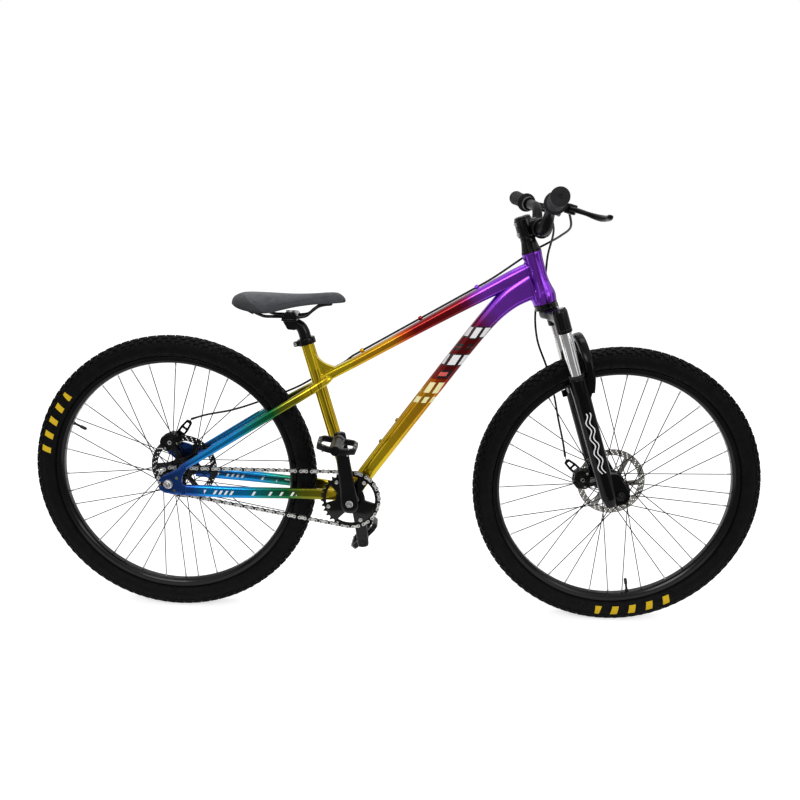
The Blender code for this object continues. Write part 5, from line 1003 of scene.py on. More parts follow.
def fine_seat_clamp():
    inner, post = SEAT_RADIUS + 2 * GAP, POST_RADIUS + 2 * GAP
    low, high = SEAT_LENGTH - 0.012, SEAT_LENGTH + 0.003
    middle = (low + high) / 2 - 0.001
    collar = turned([(inner, low), (inner + 0.005, low), (inner + 0.005, high - 0.002),
                     (inner + 0.0035, high),
                     (post, high), (post, SEAT_LENGTH + GAP), (inner, SEAT_LENGTH + GAP)],
                    seat_point(0), SEAT_UP, 64, ring=True)
    split = block(seat_point(middle, -inner - 0.004), (0.014, 0.0024, 0.03), SEAT_TURN, 0)
    ears = [block(seat_point(middle, -inner - 0.0075, side * 0.0045), (0.013, 0.006, 0.0115), SEAT_TURN,
                  0.0012)
            for side in BOTH]
    centre = seat_point(middle, -inner - 0.0098)
    shank = pin(centre, Y_AXIS, -0.007, 0.007, 0.0024)
    head = bolt(centre - Y_AXIS * 0.0074, -Y_AXIS, 0.0042, 0.0044)
    nut = bolt(centre + Y_AXIS * 0.0074, Y_AXIS, 0.0042, 0.0028)
    steel = painted(merged(shank, head, nut))
    put("seat_clamp", merged(combine(collar, cut=[split]), *ears, steel), GLOSS_BLACK, BOLT_STEEL)


# The seat

POST_HEAD = seat_point(SEAT_LENGTH + 0.0492, -0.0205)
RAIL_HEIGHT = POST_HEAD.z + 0.011
NOSE_RISE = 0.028
# The rails' ends in their sockets: ahead of the clamp, to the side and up
RAIL_TAIL = [(-0.08, 0.0445, 0.0158), (-0.067, 0.04, 0.008)]


def saddle_point(ahead, left, rise):
    """A point from the middle of the rails' clamp."""
    return Vector((POST_HEAD.x + ahead, left, RAIL_HEIGHT + rise))


def fine_seatpost():
    straight = SEAT_LENGTH + 0.006
    stations = [(*seat_point(SEAT_LENGTH - 0.15), POST_RADIUS),
                (*seat_point(SEAT_LENGTH - 0.02), POST_RADIUS),
                (*seat_point(straight), POST_RADIUS), (*seat_point(straight + 0.011), 0.0135),
                (*(POST_HEAD + Vector((0.0225, 0, -0.014))), 0.013),
                (*(POST_HEAD + Vector((0.011, 0, -0.0065))), 0.0125),
                (*(POST_HEAD + Vector((-0.002, 0, 0.002))), 0.0118)]
    rows = resampled(stations, 6)
    post = piped([row[:3] for row in rows], [min(row[3], POST_RADIUS) for row in rows], 48, SEAT_FORWARD)
    top = RAIL_HEIGHT - 0.0035 - GAP
    head = plate([(-0.0065, -0.0265), (0.011, -0.028), (0.02, -0.015), (0.0155, -0.0005), (-0.0165, -0.0005),
                  (-0.0165, -0.0085)], [], Vector((POST_HEAD.x, 0, top)), X_AXIS, Z_AXIS, 0.023,
                 0.002, 0.003, 3)
    cradle = block(Vector((POST_HEAD.x, 0, top - 0.0027)), (0.0345, 0.058, 0.0054), None, 0.0014)
    above = block(Vector((POST_HEAD.x, 0, top + 0.02)), (0.1, 0.1, 0.04), None, 0)
    put("seatpost", merged(combine(post, cut=[above]), head, cradle), GLOSS_BLACK)


def fine_saddle_clamp():
    bolts = [bolt(saddle_point(ahead, 0, 0.0085), Z_AXIS, 0.0042, 0.003) for ahead in (-0.007, 0.007)]
    body = bevelled(cad_shape("saddle_clamp"), 0.0008, 2, 35)
    put("saddle_clamp", merged(body, painted(merged(*bolts))), GLOSS_BLACK, BOLT_STEEL)


def fine_rails():
    half = 0.022
    run = [*RAIL_TAIL, (-0.054, 0.033, 0.002), (-0.039, half + 0.001, 0.0), (-0.023, half, 0.0),
           (0.023, half, 0.0), (0.036, half - 0.001, 0.0025), (0.051, 0.018, 0.0145), (0.065, 0.014, 0.024),
           (0.08, 0.0095, 0.0276), (0.09, 0.004, NOSE_RISE)]
    other = [(ahead, -left, rise) for ahead, left, rise in reversed(run)]
    points = smooth_points([saddle_point(*knot) for knot in [*run, *other]], 0.003)
    put("saddle_rails", piped(points, 0.0035, 20, Z_AXIS), DARK_STEEL)


SADDLE_HALF = 0.071
# The saddle from tail to nose: ahead of the clamp, half width as a share, top and skirt above the rails
SADDLE = [
    (-0.126, 0.3, 0.0368, 0.0325), (-0.125, 0.5, 0.041, 0.0305), (-0.1205, 0.68, 0.045, 0.0275),
    (-0.108, 0.88, 0.0492, 0.0225), (-0.089, 0.98, 0.0504, 0.0175), (-0.064, 1.0, 0.0502, 0.0133),
    (-0.039, 0.93, 0.0497, 0.013), (-0.014, 0.74, 0.0492, 0.018), (0.011, 0.54, 0.0492, 0.023),
    (0.036, 0.4, 0.0502, 0.0265), (0.061, 0.32, 0.052, 0.0292), (0.086, 0.285, 0.0542, 0.0308),
    (0.105, 0.26, 0.0538, 0.0322), (0.117, 0.21, 0.0475, 0.0332), (0.1222, 0.13, 0.041, 0.0337),
    (0.1235, 0.06, 0.0372, 0.034)]


def crown_height(share):
    """The cover's height as a share of its middle's, by the place across it."""
    return (1 - abs(share) ** 2.6) ** 0.55 if abs(share) < 1 else 0.0


def cushion_ring(ahead, share, top, skirt):
    """The cover's section: over its crown from side to side, and back along its hollow underside."""
    half = min(share, 1.0) * SADDLE_HALF
    over = [-cos(pi * step / 56) for step in range(57)]
    under = [cos(pi * step / 24) for step in range(1, 24)]
    return [saddle_point(ahead, place * half,
                         skirt + (top - skirt) * crown_height(place)) for place in over] + [
saddle_point(ahead, place * half * 0.97, skirt + 0.35 * (top - skirt) * (1 - abs(place) ** 3))
for place in under]


def saddle_row(ahead):
    """The saddle's half width, top and skirt at one place along it."""
    for near, far in zip(SADDLE, SADDLE[1:]):
        if near[0] <= ahead <= far[0]:
            share = (ahead - near[0]) / (far[0] - near[0])
            return [p + (q - p) * share for p, q in zip(near, far)]
    return list(SADDLE[0])


def seam(side, line):
    """A raised seam on one side of the saddle, through points by way ahead and share of the width."""
    points = []
    for ahead, share in resampled([(ahead, side * share) for ahead, share in line], 14):
        _, wide, top, skirt = saddle_row(ahead)
        rise = skirt + (top - skirt) * crown_height(share) - 0.0003
        points.append(saddle_point(ahead, share * wide * SADDLE_HALF, rise))
    return piped(points, 0.0007, 8)


def fine_saddle():
    cover = loft(SADDLE, 7, cushion_ring)
    seams = []
    for side in BOTH:
        seams.append(seam(side, [(-0.118, 0.35), (-0.098, 0.62), (-0.07, 0.8), (-0.04, 0.9), (-0.01, 0.9),
                                 (0.03, 0.86), (0.07, 0.8), (0.1, 0.66), (0.115, 0.3)]))
        seams.append(seam(side, [(-0.086, 0.73), (-0.082, 0.9), (-0.079, 0.985)]))
    cushion = put("saddle_cushion", merged(cover, *seams), LEATHER, smooth=60)
    rings = []
    for ahead, share, top, skirt in resampled(SADDLE[2:-2], 6):
        half = min(share, 1.0) * SADDLE_HALF - 0.0035
        low, floor = skirt - 0.0008, skirt + 0.35 * (top - skirt) - 0.0012
        section = [(-half * 0.94, low), (-half * 0.52, floor), (half * 0.52, floor), (half * 0.94, low),
                   (half * 0.5, floor - 0.0034), (-half * 0.5, floor - 0.0034)]
        rings.append([saddle_point(ahead, left, rise) for left, rise in soften(section, 0.004)])
    sockets = []
    for side in BOTH:
        end, after = (saddle_point(ahead, side * left, rise) for ahead, left, rise in RAIL_TAIL)
        along = (after - end).normalized()
        sockets.append(sleeve(0.0041, 0.0066, 0, 0.011, end - along * 0.004, along, 32))
    pad = block(saddle_point(0.085, 0, NOSE_RISE + 0.0058), (0.019, 0.011, 0.004))
    put("saddle_shell", merged(skin(rings), *sockets, pad), SADDLE_BASE)


fine_frame()
fine_headset()
fine_bottom_bracket()
fine_seat_clamp()
fine_seatpost()
fine_saddle_clamp()
fine_rails()
fine_saddle()


# The fork

CROWN_SEAT = 0.125
SOCKET_BOTTOM = 0.181
STANCHION_TOP = 0.14
STANCHION_RADIUS = 0.014
LEG_BORE = STANCHION_RADIUS + 2 * GAP
BORE_END = LEG_TOP + 0.205
CALIPER_DOWN = AXLE_DOWN - 0.0274
CALIPER_FORWARD = -0.0205


def leg_line(side):
    """The foot of a fork leg's axis, level with the head tube's top."""
    return head_point(0, LEG_OFFSET, side * LEG_SIDE)


def leg_bores(low, high):
    return [pin(leg_line(side), STEER_DOWN, low, high, LEG_BORE, 64) for side in BOTH]


def fine_crown():
    half = [(0.0, 0.0132, 0.003, 0.0225, 0.0126), (0.02, 0.014, 0.006, 0.019, 0.0128),
            (0.04, 0.018, 0.0125, 0.015, 0.015), (LEG_SIDE, 0.025, LEG_OFFSET, 0.015, 0.016)]
    sections = [(-left, *rest) for left, *rest in reversed(half[1:])] + half

    def section(left, down, forward, reach, height):
        return oval(head_point(CROWN_SEAT + down, forward, left), STEER_FORWARD, STEER_DOWN, reach, height,
                    40, 3.0)

    inner_bore = pin(HEAD_TOP, STEER_DOWN, STEM_TOP - 0.02, CROWN_SEAT + 0.045, STEERER_BORE, 48)
    bridge = combine(loft(sections, 7, section),
                     cut=[inner_bore, *leg_bores(STANCHION_TOP, SOCKET_BOTTOM + 0.01)])
    steerer = sleeve(STEERER_BORE, STEERER_RADIUS, STEM_TOP + 0.002, CROWN_SEAT + 0.008, HEAD_TOP, STEER_DOWN,
                     64)
    race = turned([(STEERER_RADIUS, CROWN_SEAT), (0.024, CROWN_SEAT), (0.0246, CROWN_SEAT + 0.004),
                   (STEERER_RADIUS, CROWN_SEAT + 0.006)], HEAD_TOP, STEER_DOWN, 64, ring=True)
    sockets = []
    outer = STANCHION_RADIUS + 0.003
    for side in BOTH:
        sockets.append(turned([(LEG_BORE, STANCHION_TOP), (LEG_BORE, SOCKET_BOTTOM),
                               (outer - 0.0006, SOCKET_BOTTOM),
                               (outer, SOCKET_BOTTOM - 0.002), (outer, SOCKET_BOTTOM - 0.0075),
                               (outer - 0.0005, SOCKET_BOTTOM - 0.008), (outer, SOCKET_BOTTOM - 0.0085),
                               (outer, CROWN_SEAT + 0.009), (outer - 0.0026, CROWN_SEAT + 0.0026),
                               (LEG_BORE, CROWN_SEAT + 0.0026)], leg_line(side), STEER_DOWN, 64, ring=True))
        cap = turned([(0.012, CROWN_SEAT + 0.0022), (0.012, CROWN_SEAT + 0.01)], leg_line(side), STEER_DOWN,
                     48)
        sockets.append(cap)
    put("fork_crown", merged(bridge, steerer, race, *sockets), GLOSS_BLACK)


def fine_stanchions():
    for side, name in NAMED_SIDES:
        shape = turned([(STANCHION_RADIUS, STANCHION_TOP + GAP), (STANCHION_RADIUS, LEG_TOP + 0.115)],
                       leg_line(side), STEER_DOWN, 72)
        put("stanchion_" + name, shape, CHROME)


def fine_lowers():
    path = [(-LEG_SIDE, 0.04, 0.037, 0.008), (-LEG_SIDE, 0.007, 0.0468, 0.0105),
            (-0.06, -0.027, 0.05, 0.0105),
            (-0.04, -0.059, 0.051, 0.0095), (-0.015, -0.072, 0.051, 0.009)]
    path = [*path, *[(-left, *rest) for left, *rest in reversed(path)]]
    rows = resampled([(*head_point(LEG_TOP + down, forward, left), half) for left, down, forward,
                      half in path], 6)
    points = [Vector(row[:3]) for row in rows]
    rings = []
    for index, centre in enumerate(points):
        heading = heading_at(points, index)
        ahead = (STEER_FORWARD - heading * heading.dot(STEER_FORWARD)).normalized()
        rings.append(oval(centre, ahead, heading.cross(ahead), 0.0105, rows[index][3], 32, 3.2))
    shapes = [combine(skin(rings), cut=leg_bores(LEG_TOP - 0.02, BORE_END))]
    for side in BOTH:
        foot = leg_line(side)
        profile = [(LEG_BORE, LEG_TOP), (LEG_RADIUS - 0.0012, LEG_TOP),
                   (LEG_RADIUS + 0.0008, LEG_TOP + 0.003),
                   (LEG_RADIUS + 0.001, LEG_TOP + 0.006), (LEG_RADIUS + 0.001, LEG_TOP + 0.034),
                   (LEG_RADIUS + 0.0002, LEG_TOP + 0.045), (LEG_RADIUS - 0.0001, LEG_TOP + 0.06),
                   (LEG_RADIUS - 0.0003, LEG_BOTTOM - 0.12), (LEG_RADIUS - 0.0008, LEG_BOTTOM - 0.032),
                   (LEG_RADIUS - 0.0016, LEG_BOTTOM - 0.02), (LEG_RADIUS - 0.0072, LEG_BOTTOM),
                   (0.0001, LEG_BOTTOM), (0.0001, BORE_END), (LEG_BORE, BORE_END)]
        shapes.append(turned(profile, foot, STEER_DOWN, 72, ring=True, cut=0.0012))
        web = [(0.02, LEG_TOP + 0.003), (0.038, LEG_TOP + 0.003), (0.039, LEG_TOP - 0.006),
               (0.047, LEG_TOP - 0.006),
               (0.046, LEG_TOP + 0.03), (0.031, LEG_TOP + 0.058), (0.02, LEG_TOP + 0.058)]
        web = plate(web, [], head_point(0, 0, side * LEG_SIDE), STEER_FORWARD, STEER_DOWN, 0.018, 0.0045,
                    0.003, 4)
        shapes.append(combine(web, cut=leg_bores(LEG_TOP - 0.02, BORE_END)))
        middle = side * (FRONT_FACE + GAP + 0.006)
        lug = [(0.012, AXLE_DOWN - 0.06), (0.03, AXLE_DOWN - 0.06), (0.052, AXLE_DOWN - 0.052),
               *arc(0.0215, -35, 100, 12, (FORK_RAKE, AXLE_DOWN)), (0.02, LEG_BOTTOM + 0.003),
               (0.01, LEG_BOTTOM - 0.01)]
        shapes.append(plate(lug, [circle(0.0051, 32, (FORK_RAKE, AXLE_DOWN))], head_point(0, 0, middle),
                            STEER_FORWARD, STEER_DOWN, 0.012, 0.0016, 0.003, 3))
        shapes.append(painted(bolt(foot + STEER_DOWN * (LEG_BOTTOM - 0.0005), STEER_DOWN, 0.0062, 0.0012)))
    down, forward = CALIPER_DOWN, CALIPER_FORWARD
    tab = [(forward - 0.012, down + 0.01), (0.012, down - 0.004), (0.014, down + 0.03), (0.0, down + 0.034),
           (forward - 0.01, down + 0.026)]
    shapes.append(plate(tab, [], head_point(0, 0, FRONT_ROTOR_SIDE + CALIPER_HALF + GAP + 0.003),
                        STEER_FORWARD,
                        STEER_DOWN, 0.006, 0.001, 0.003))
    shapes.append(block(head_point(LEG_TOP + 0.062, -0.0045, LEG_SIDE), (0.012, 0.008, 0.016), STEER_TURN,
                        0.0014))
    put("fork_lowers", merged(*shapes), FORK_BLACK, BOLT_STEEL)
    for side, name in NAMED_SIDES:
        seal = turned([(LEG_BORE, LEG_TOP - 0.0065), (LEG_BORE + 0.0018, LEG_TOP - 0.0065),
                       (LEG_BORE + 0.0022, LEG_TOP - 0.005), (LEG_BORE + 0.0016, LEG_TOP - 0.0042),
                       (LEG_RADIUS - 0.002, LEG_TOP - 0.0022), (LEG_RADIUS - 0.0016, LEG_TOP - GAP),
                       (LEG_BORE, LEG_TOP - GAP)], leg_line(side), STEER_DOWN, 64, True, 0.0004)
        put("dust_seal_" + name, seal, GRIP)


# The brakes

def caliper_layout(centre, axle, shift, arm_end):
    """A caliper's centre, its ways along the rotor and off the axle, its pivot's shift and arm's reach."""
    radial = (centre - axle).normalized()
    return centre, -quarter(radial), radial, shift, arm_end - (centre + shift)


def front_caliper():
    centre = head_point(CALIPER_DOWN, CALIPER_FORWARD)
    shift = head_point(CALIPER_DOWN - 0.008, CALIPER_FORWARD) - centre
    return caliper_layout(centre, FRONT_AXLE, shift, head_point(AXLE_DOWN - 0.0734, -0.042))


def rear_caliper():
    centre = REAR_AXLE + Vector((-0.029, 0, 0.064))
    return caliper_layout(centre, REAR_AXLE, Vector((0.0146, 0, 0.009)), Vector((-0.502, 0, 0.442)))


def fine_brake(prefix, layout, rotor_side):
    """A caliper that straddles its rotor, and the arm that the cable pulls."""
    centre, tangent, radial, shift, reach = layout
    origin = centre + Y_AXIS * rotor_side
    half, low, high = 0.0225, -0.0175, 0.02
    outline = [(-half, low + 0.006), (-half + 0.006, low), (half - 0.006, low), (half, low + 0.006),
               (half, high - 0.01), (half - 0.01, high), (-half + 0.01, high), (-half, high - 0.01)]
    body = plate(outline, [], origin, tangent, radial, 2 * CALIPER_HALF, 0.0022, 0.003, 3)
    turn = axes(tangent, Y_AXIS, radial)
    slot = block(origin - radial * 0.014, (0.08, 0.0028, 0.056), turn, 0)
    recess = block(origin + radial * high, (0.018, 0.014, 0.006), turn, 0)
    outer = rotor_side + CALIPER_HALF
    pivot = centre + shift
    inner = origin - Y_AXIS * CALIPER_HALF
    shapes = [combine(body, cut=[slot, recess]),
              pin(pivot, Y_AXIS, outer - 0.002, outer + 0.005, 0.004, 40),
              painted(bolt(pivot + Y_AXIS * (outer + 0.005), Y_AXIS, 0.0034, 0.0011)),
              turned([(0.0105, 0), (0.0105, 0.0006), (0.0095, 0.0012)], inner + Y_AXIS * 0.0004, -Y_AXIS, 48),
              *(painted(bolt(inner + tangent * along + radial * -0.0085, -Y_AXIS, 0.003, 0.0013))
                for along in (-0.0165, 0.0165)),
              painted(bolt(inner - Y_AXIS * 0.0004, -Y_AXIS, 0.0052, 0.001))]
    put(prefix + "_caliper", merged(*shapes), SATIN_BLACK, BOLT_STEEL)

    length = reach.length
    along = reach.normalized()
    outline = [*arc(0.011, 110, 250, 16), (length * 0.55, -0.01), (length, -0.0065), (length + 0.003, 0.0),
               (length, 0.0085), (length * 0.55, 0.011)]
    windows = [[(0.0125, -0.0055), (length * 0.5, -0.005), (length * 0.5, 0.0055), (0.0125, 0.0055)],
               [(length * 0.6, -0.0045), (length * 0.9, -0.0025), (length * 0.9, 0.004),
                (length * 0.6, 0.0055)]]
    holes = [circle(0.0046, 32), *(soften(window, 0.0016) for window in windows)]
    thick = 0.0045
    arm_side = outer + GAP + thick / 2
    arm = plate(outline, holes, pivot + Y_AXIS * arm_side, along, quarter(reach).normalized(), thick, 0.0006,
                0.0015)
    pinch = bolt(pivot + along * (length - 0.003) + Y_AXIS * (arm_side + thick / 2), Y_AXIS, 0.0032, 0.0012)
    put(prefix + "_caliper_arm", merged(arm, painted(pinch)), SATIN_BLACK, BOLT_STEEL)


# The axles

def hex_nut(centre, axis, bore, flats, low, high):
    """A hexagon nut with a round bore, flanged where it bears and chamfered outside."""
    first, second = across(axis)
    rows = []
    for step in range(72):
        angle = 2 * pi * step / 72
        outward = first * cos(angle) + second * sin(angle)
        flat = flats / 2 / cos(angle % (pi / 3) - pi / 6)
        profile = [(bore, low), (flats / 2 + 0.003, low), (flats / 2 + 0.003, low + 0.001),
                   (flat, low + 0.0018),
                   (flat, high - 0.0004 - (flat - flats / 2) * 0.7), (flats / 2 - 0.0004, high), (bore, high)]
        rows.append([centre + axis * along + outward * radius for radius, along in profile])
    return skin(rows, closed_loop=True)


def fine_axles():
    for prefix, centre, outer, radius in (("front", FRONT_AXLE, FRONT_FACE + GAP + 0.012, 0.0045),
                                          ("rear", REAR_AXLE, REAR_FACE + 0.006, 0.005)):
        end = outer + 0.0105
        threads = []
        for step in range(9):
            threads += [(radius, step * 0.001), (radius - 0.0004, step * 0.001 + 0.0005)]
        profile = [(radius - 0.0008, 0.0), *((reach, 0.0004 + along) for reach, along in threads)]
        profile += [(reach, 2 * end - along) for reach, along in reversed(profile)]
        steel = DARK_STEEL if prefix == "front" else BRIGHT_STEEL
        put(prefix + "_axle", turned(profile, centre - Y_AXIS * end, Y_AXIS, 32, cut=0.0001), steel)
        for side, name in NAMED_SIDES:
            nut = hex_nut(centre, Y_AXIS * side, radius + 2 * GAP, 0.015, outer + GAP, outer + 0.0082)
            put(f"{prefix}_axle_nut_{name}", nut, steel)


fine_crown()
fine_stanchions()
fine_lowers()
fine_brake("front", front_caliper(), FRONT_ROTOR_SIDE)
fine_brake("rear", rear_caliper(), REAR_ROTOR_SIDE)
fine_axles()


# The wheels

CASING = 0.0262
CASING_POWER = 2 / 2.3
CASING_MIDDLE = 0.3075
CASING_HEIGHT = 0.0228
PITCHES = 96
SPOKE_RADIUS = 0.0011
SPOKE_HEADS = 0.027
SPOKE_ENDS = 0.2677


def casing_point(turn):
    """The tyre's section over the tread, as (radius, left), by its angle in degrees from the left side."""
    cosine, sine = cos(radians(turn)), sin(radians(turn))
    left = copysign(abs(cosine) ** CASING_POWER, cosine) * CASING
    return CASING_MIDDLE + CASING_HEIGHT * max(sine, 0) ** CASING_POWER, left


def casing_profile():
    side = [(CASING_MIDDLE - 0.021 * sin(radians(step * 10)),
             0.0122 + 0.014 * cos(radians(step * 10))) for step in range(9, 0, -1)]
    over = [casing_point(step * 5) for step in range(37)]
    return [(0.282, 0.0112), (0.285, 0.0116), *side, *over,
            *((radius, -left) for radius, left in reversed(side)),
            (0.285, -0.0116), (0.282, -0.0112)]


def knob(shape, centre, angle, turn, half_round, half_across, height, skew=0.0):
    """One tapered tread block, standing on the casing."""
    radius, left = casing_point(turn)
    after_radius, after_left = casing_point(turn + 1)
    rise, aside = after_left - left, after_radius - radius
    length = hypot(rise, aside)
    outward = polar(angle)
    along = quarter(outward)
    sideways = (Y_AXIS * rise + outward * aside) / length
    normal = (outward * -rise + Y_AXIS * aside) / length
    foot = centre + outward * radius + Y_AXIS * left
    corners = []
    for level, size in ((-0.0022, 1.12), (height - 0.0005, 0.94), (height, 0.82)):
        corners.append([shape.verts.new(foot + normal * level + along * (a * half_round + b * skew) * size
                                        + sideways * b * half_across * size)
                        for a, b in ((-1, -1), (1, -1), (1, 1), (-1, 1))])
    for near, far in zip(corners, corners[1:]):
        for index in range(4):
            after = (index + 1) % 4
            shape.faces.new((near[index], near[after], far[after], far[index]))
    shape.faces.new(corners[-1])


def fine_tyre(name, centre, finish):
    profile = casing_profile()
    segments = 192
    rows = []
    for step in range(segments):
        outward = polar(2 * pi * step / segments)
        rows.append([centre + outward * radius + Y_AXIS * left for radius, left in profile])
    shape = skin(rows, closed_loop=True)
    step = 2 * pi / PITCHES
    for index in range(PITCHES):
        angle = index * step
        for side in BOTH:
            lean = 0.0012 * side
            knob(shape, centre, angle, 90 - side * 8.5, 0.0056, 0.003, 0.0021, lean)
            knob(shape, centre, angle + step / 2, 90 - side * 27, 0.005, 0.0032, 0.0026, -lean)
            knob(shape, centre, angle, 90 - side * 47, 0.0058, 0.0032, 0.0031, lean)
            knob(shape, centre, angle + step / 2, 90 - side * 62, 0.0062, 0.0026, 0.002, 0.0)
            knob(shape, centre, angle, 90 - side * 68, 0.004, 0.0022, 0.0012, 0.0)
    bmesh.ops.recalc_face_normals(shape, faces=shape.faces)
    put(name, shape, finish, smooth=32)


def fine_rim(name, centre):
    half = 0.014
    side = [(RIM_INNER, 0.0), (RIM_INNER, half - 0.0078), (RIM_INNER + 0.0018, half - 0.0042),
            (RIM_INNER + 0.006, half - 0.0008), (RIM_INNER + 0.0074, half - 0.0004),
            (RIM_RADIUS - 0.0016, half - 0.0002), (RIM_RADIUS, half), (RIM_RADIUS, half - 0.0016),
            (RIM_RADIUS - 0.0043, half - 0.0022)]
    profile = [(radius, -left) for radius, left in side[1:]] + side[::-1]
    rim = turned(profile, centre, Y_AXIS, 180, ring=True, cut=0.0009)
    eyes = []
    for index in range(36):
        outward = polar(2 * pi * (index + 0.5) / 36)
        eyes.append(bolt(centre + outward * (RIM_INNER + 0.0001), -outward, 0.0026, 0.0004, 0.7))
    put(name, merged(rim, *eyes), GLOSS_BLACK)


def wheel_spokes(centre, right_flange, left_flange):
    """Crossed spokes with their heads at the flanges and their nipples at the rim."""
    per_side = 18
    swing = 3 * 2 * pi / per_side + radians(1.5)
    wires, nipples = [], []
    for flange, side in ((right_flange, RIGHT), (left_flange, LEFT)):
        turn_by = 0 if side < 0 else pi / per_side
        for index in range(per_side):
            hub_angle = 2 * pi * index / per_side + turn_by
            leads = 1 if index % 2 == 0 else -1
            shift = side * leads * 0.00112
            start = centre + polar(hub_angle) * SPOKE_HEADS + Y_AXIS * (flange + shift)
            end = centre + polar(hub_angle + leads * swing) * SPOKE_ENDS + Y_AXIS * (shift + side * 0.0025)
            head = Y_AXIS * (leads * side)
            wires += [rod(start, end, SPOKE_RADIUS, 10, 0.0002),
                      turned([(0.0019, 0), (0.0017, 0.0008), (0.0008, 0.0012)], start + head * 0.0013, head,
                             14,
                             cut=0.0002)]
            nipples.append(turned([(0.0019, 0), (0.0019, 0.007), (0.0014, 0.012), (0.0011, 0.0125)], end,
                                  start - end, 12, cut=0.0003))
    return merged(*wires), merged(*nipples)


def fine_hub(name, centre, profile, right_flange, left_flange, bore):
    ring = [(bore, profile[0][1]), *profile, (bore, profile[-1][1])]
    hub = turned(ring, centre, Y_AXIS, 72, ring=True, cut=0.0008)
    wires, nipples = wheel_spokes(centre, right_flange, left_flange)
    put(name, merged(hub, painted(wires), painted(nipples, 2)), SATIN_BLACK, SPOKE_BLACK, BOLT_STEEL)


def fine_hubs():
    edge, thick = 0.029, 0.0015
    right, left = -0.03, 0.033
    face, seat, cog_seat = REAR_FACE - GAP, REAR_ROTOR_SIDE - 0.0012, 0.0162
    profile = [(0.0085, -face), (0.0085, -0.0555), (cog_seat, -0.0555), (cog_seat, -0.0345),
               (edge, right - thick),
               (edge, right + thick), (0.019, right + 0.004), (0.0165, right + 0.007), (0.0155, 0.0),
               (0.0165, left - 0.007),
               (0.019, left - 0.004), (edge, left - thick), (edge, left + thick), (0.0225, seat),
               (0.0164, seat), (0.0164, seat + 0.004), (0.0095, face)]
    fine_hub("rear_spoked_hub", REAR_AXLE, profile, right, left, 0.0056)
    right, left = -0.03, 0.0245
    face, seat = FRONT_FACE - GAP, FRONT_ROTOR_SIDE - 0.0012
    profile = [(0.009, -face), (0.01, -0.044), (0.015, -0.037), (edge, right - thick), (edge, right + thick),
               (0.0175, right + 0.005), (0.0145, right + 0.009), (0.0138, 0.0), (0.0145, left - 0.009),
               (0.0175, left - 0.005), (edge, left - thick), (edge, left + thick), (0.0225, seat),
               (0.0164, seat),
               (0.0164, seat + 0.0035), (0.009, face)]
    fine_hub("front_spoked_hub", FRONT_AXLE, profile, right, left, 0.0051)


def fine_rotor(name, centre, side, finish):
    """A rotor with a pierced braking ring, six slanted arms and a bolt at each arm's foot."""
    windows = [soften([*arc(0.0655, start + 6, start + 54, 14), *arc(0.029, start + 38, start + 2, 6)], 0.003)
               for start in range(0, 360, 60)]
    holes = []
    for index in range(36):
        for row, radius in enumerate((0.0688, 0.0726, 0.0764)):
            angle = radians(10 * index + 2.6 * row)
            holes.append(circle(0.0015, 10, (radius * cos(angle), radius * sin(angle))))
    shape = plate(circle(0.08, 144), [circle(0.017, 64), *windows, *holes], centre + Y_AXIS * side,
                  X_AXIS, Z_AXIS, 0.0018)
    face = centre + Y_AXIS * (side + 0.0009)
    bolts = [bolt(face + polar(radians(60 * index + 20)) * 0.0228, Y_AXIS, 0.0034,
                  0.0016) for index in range(6)]
    put(name, merged(shape, painted(merged(*bolts))), finish, BOLT_STEEL, smooth=30)


def fine_valve(name, centre, angle):
    inward = -polar(angle)
    foot = centre - inward * 0.2678
    threads = []
    for step in range(12):
        threads += [(0.0028, 0.0036 + step * 0.0011), (0.0025, 0.00415 + step * 0.0011)]
    profile = [(0.004, 0), (0.004, 0.0028), (0.0029, 0.0032), *threads, (0.0038, 0.0178), (0.0038, 0.0285),
               (0.0034, 0.03), (0.0026, 0.032)]
    put(name, turned(profile, foot, inward, 32, cut=0.0002), DARK_STEEL)


# The drive

AXLE_ROOM = 0.0066


def flat_point(centre, radius, angle):
    return centre + radius * Vector((cos(angle), sin(angle)))


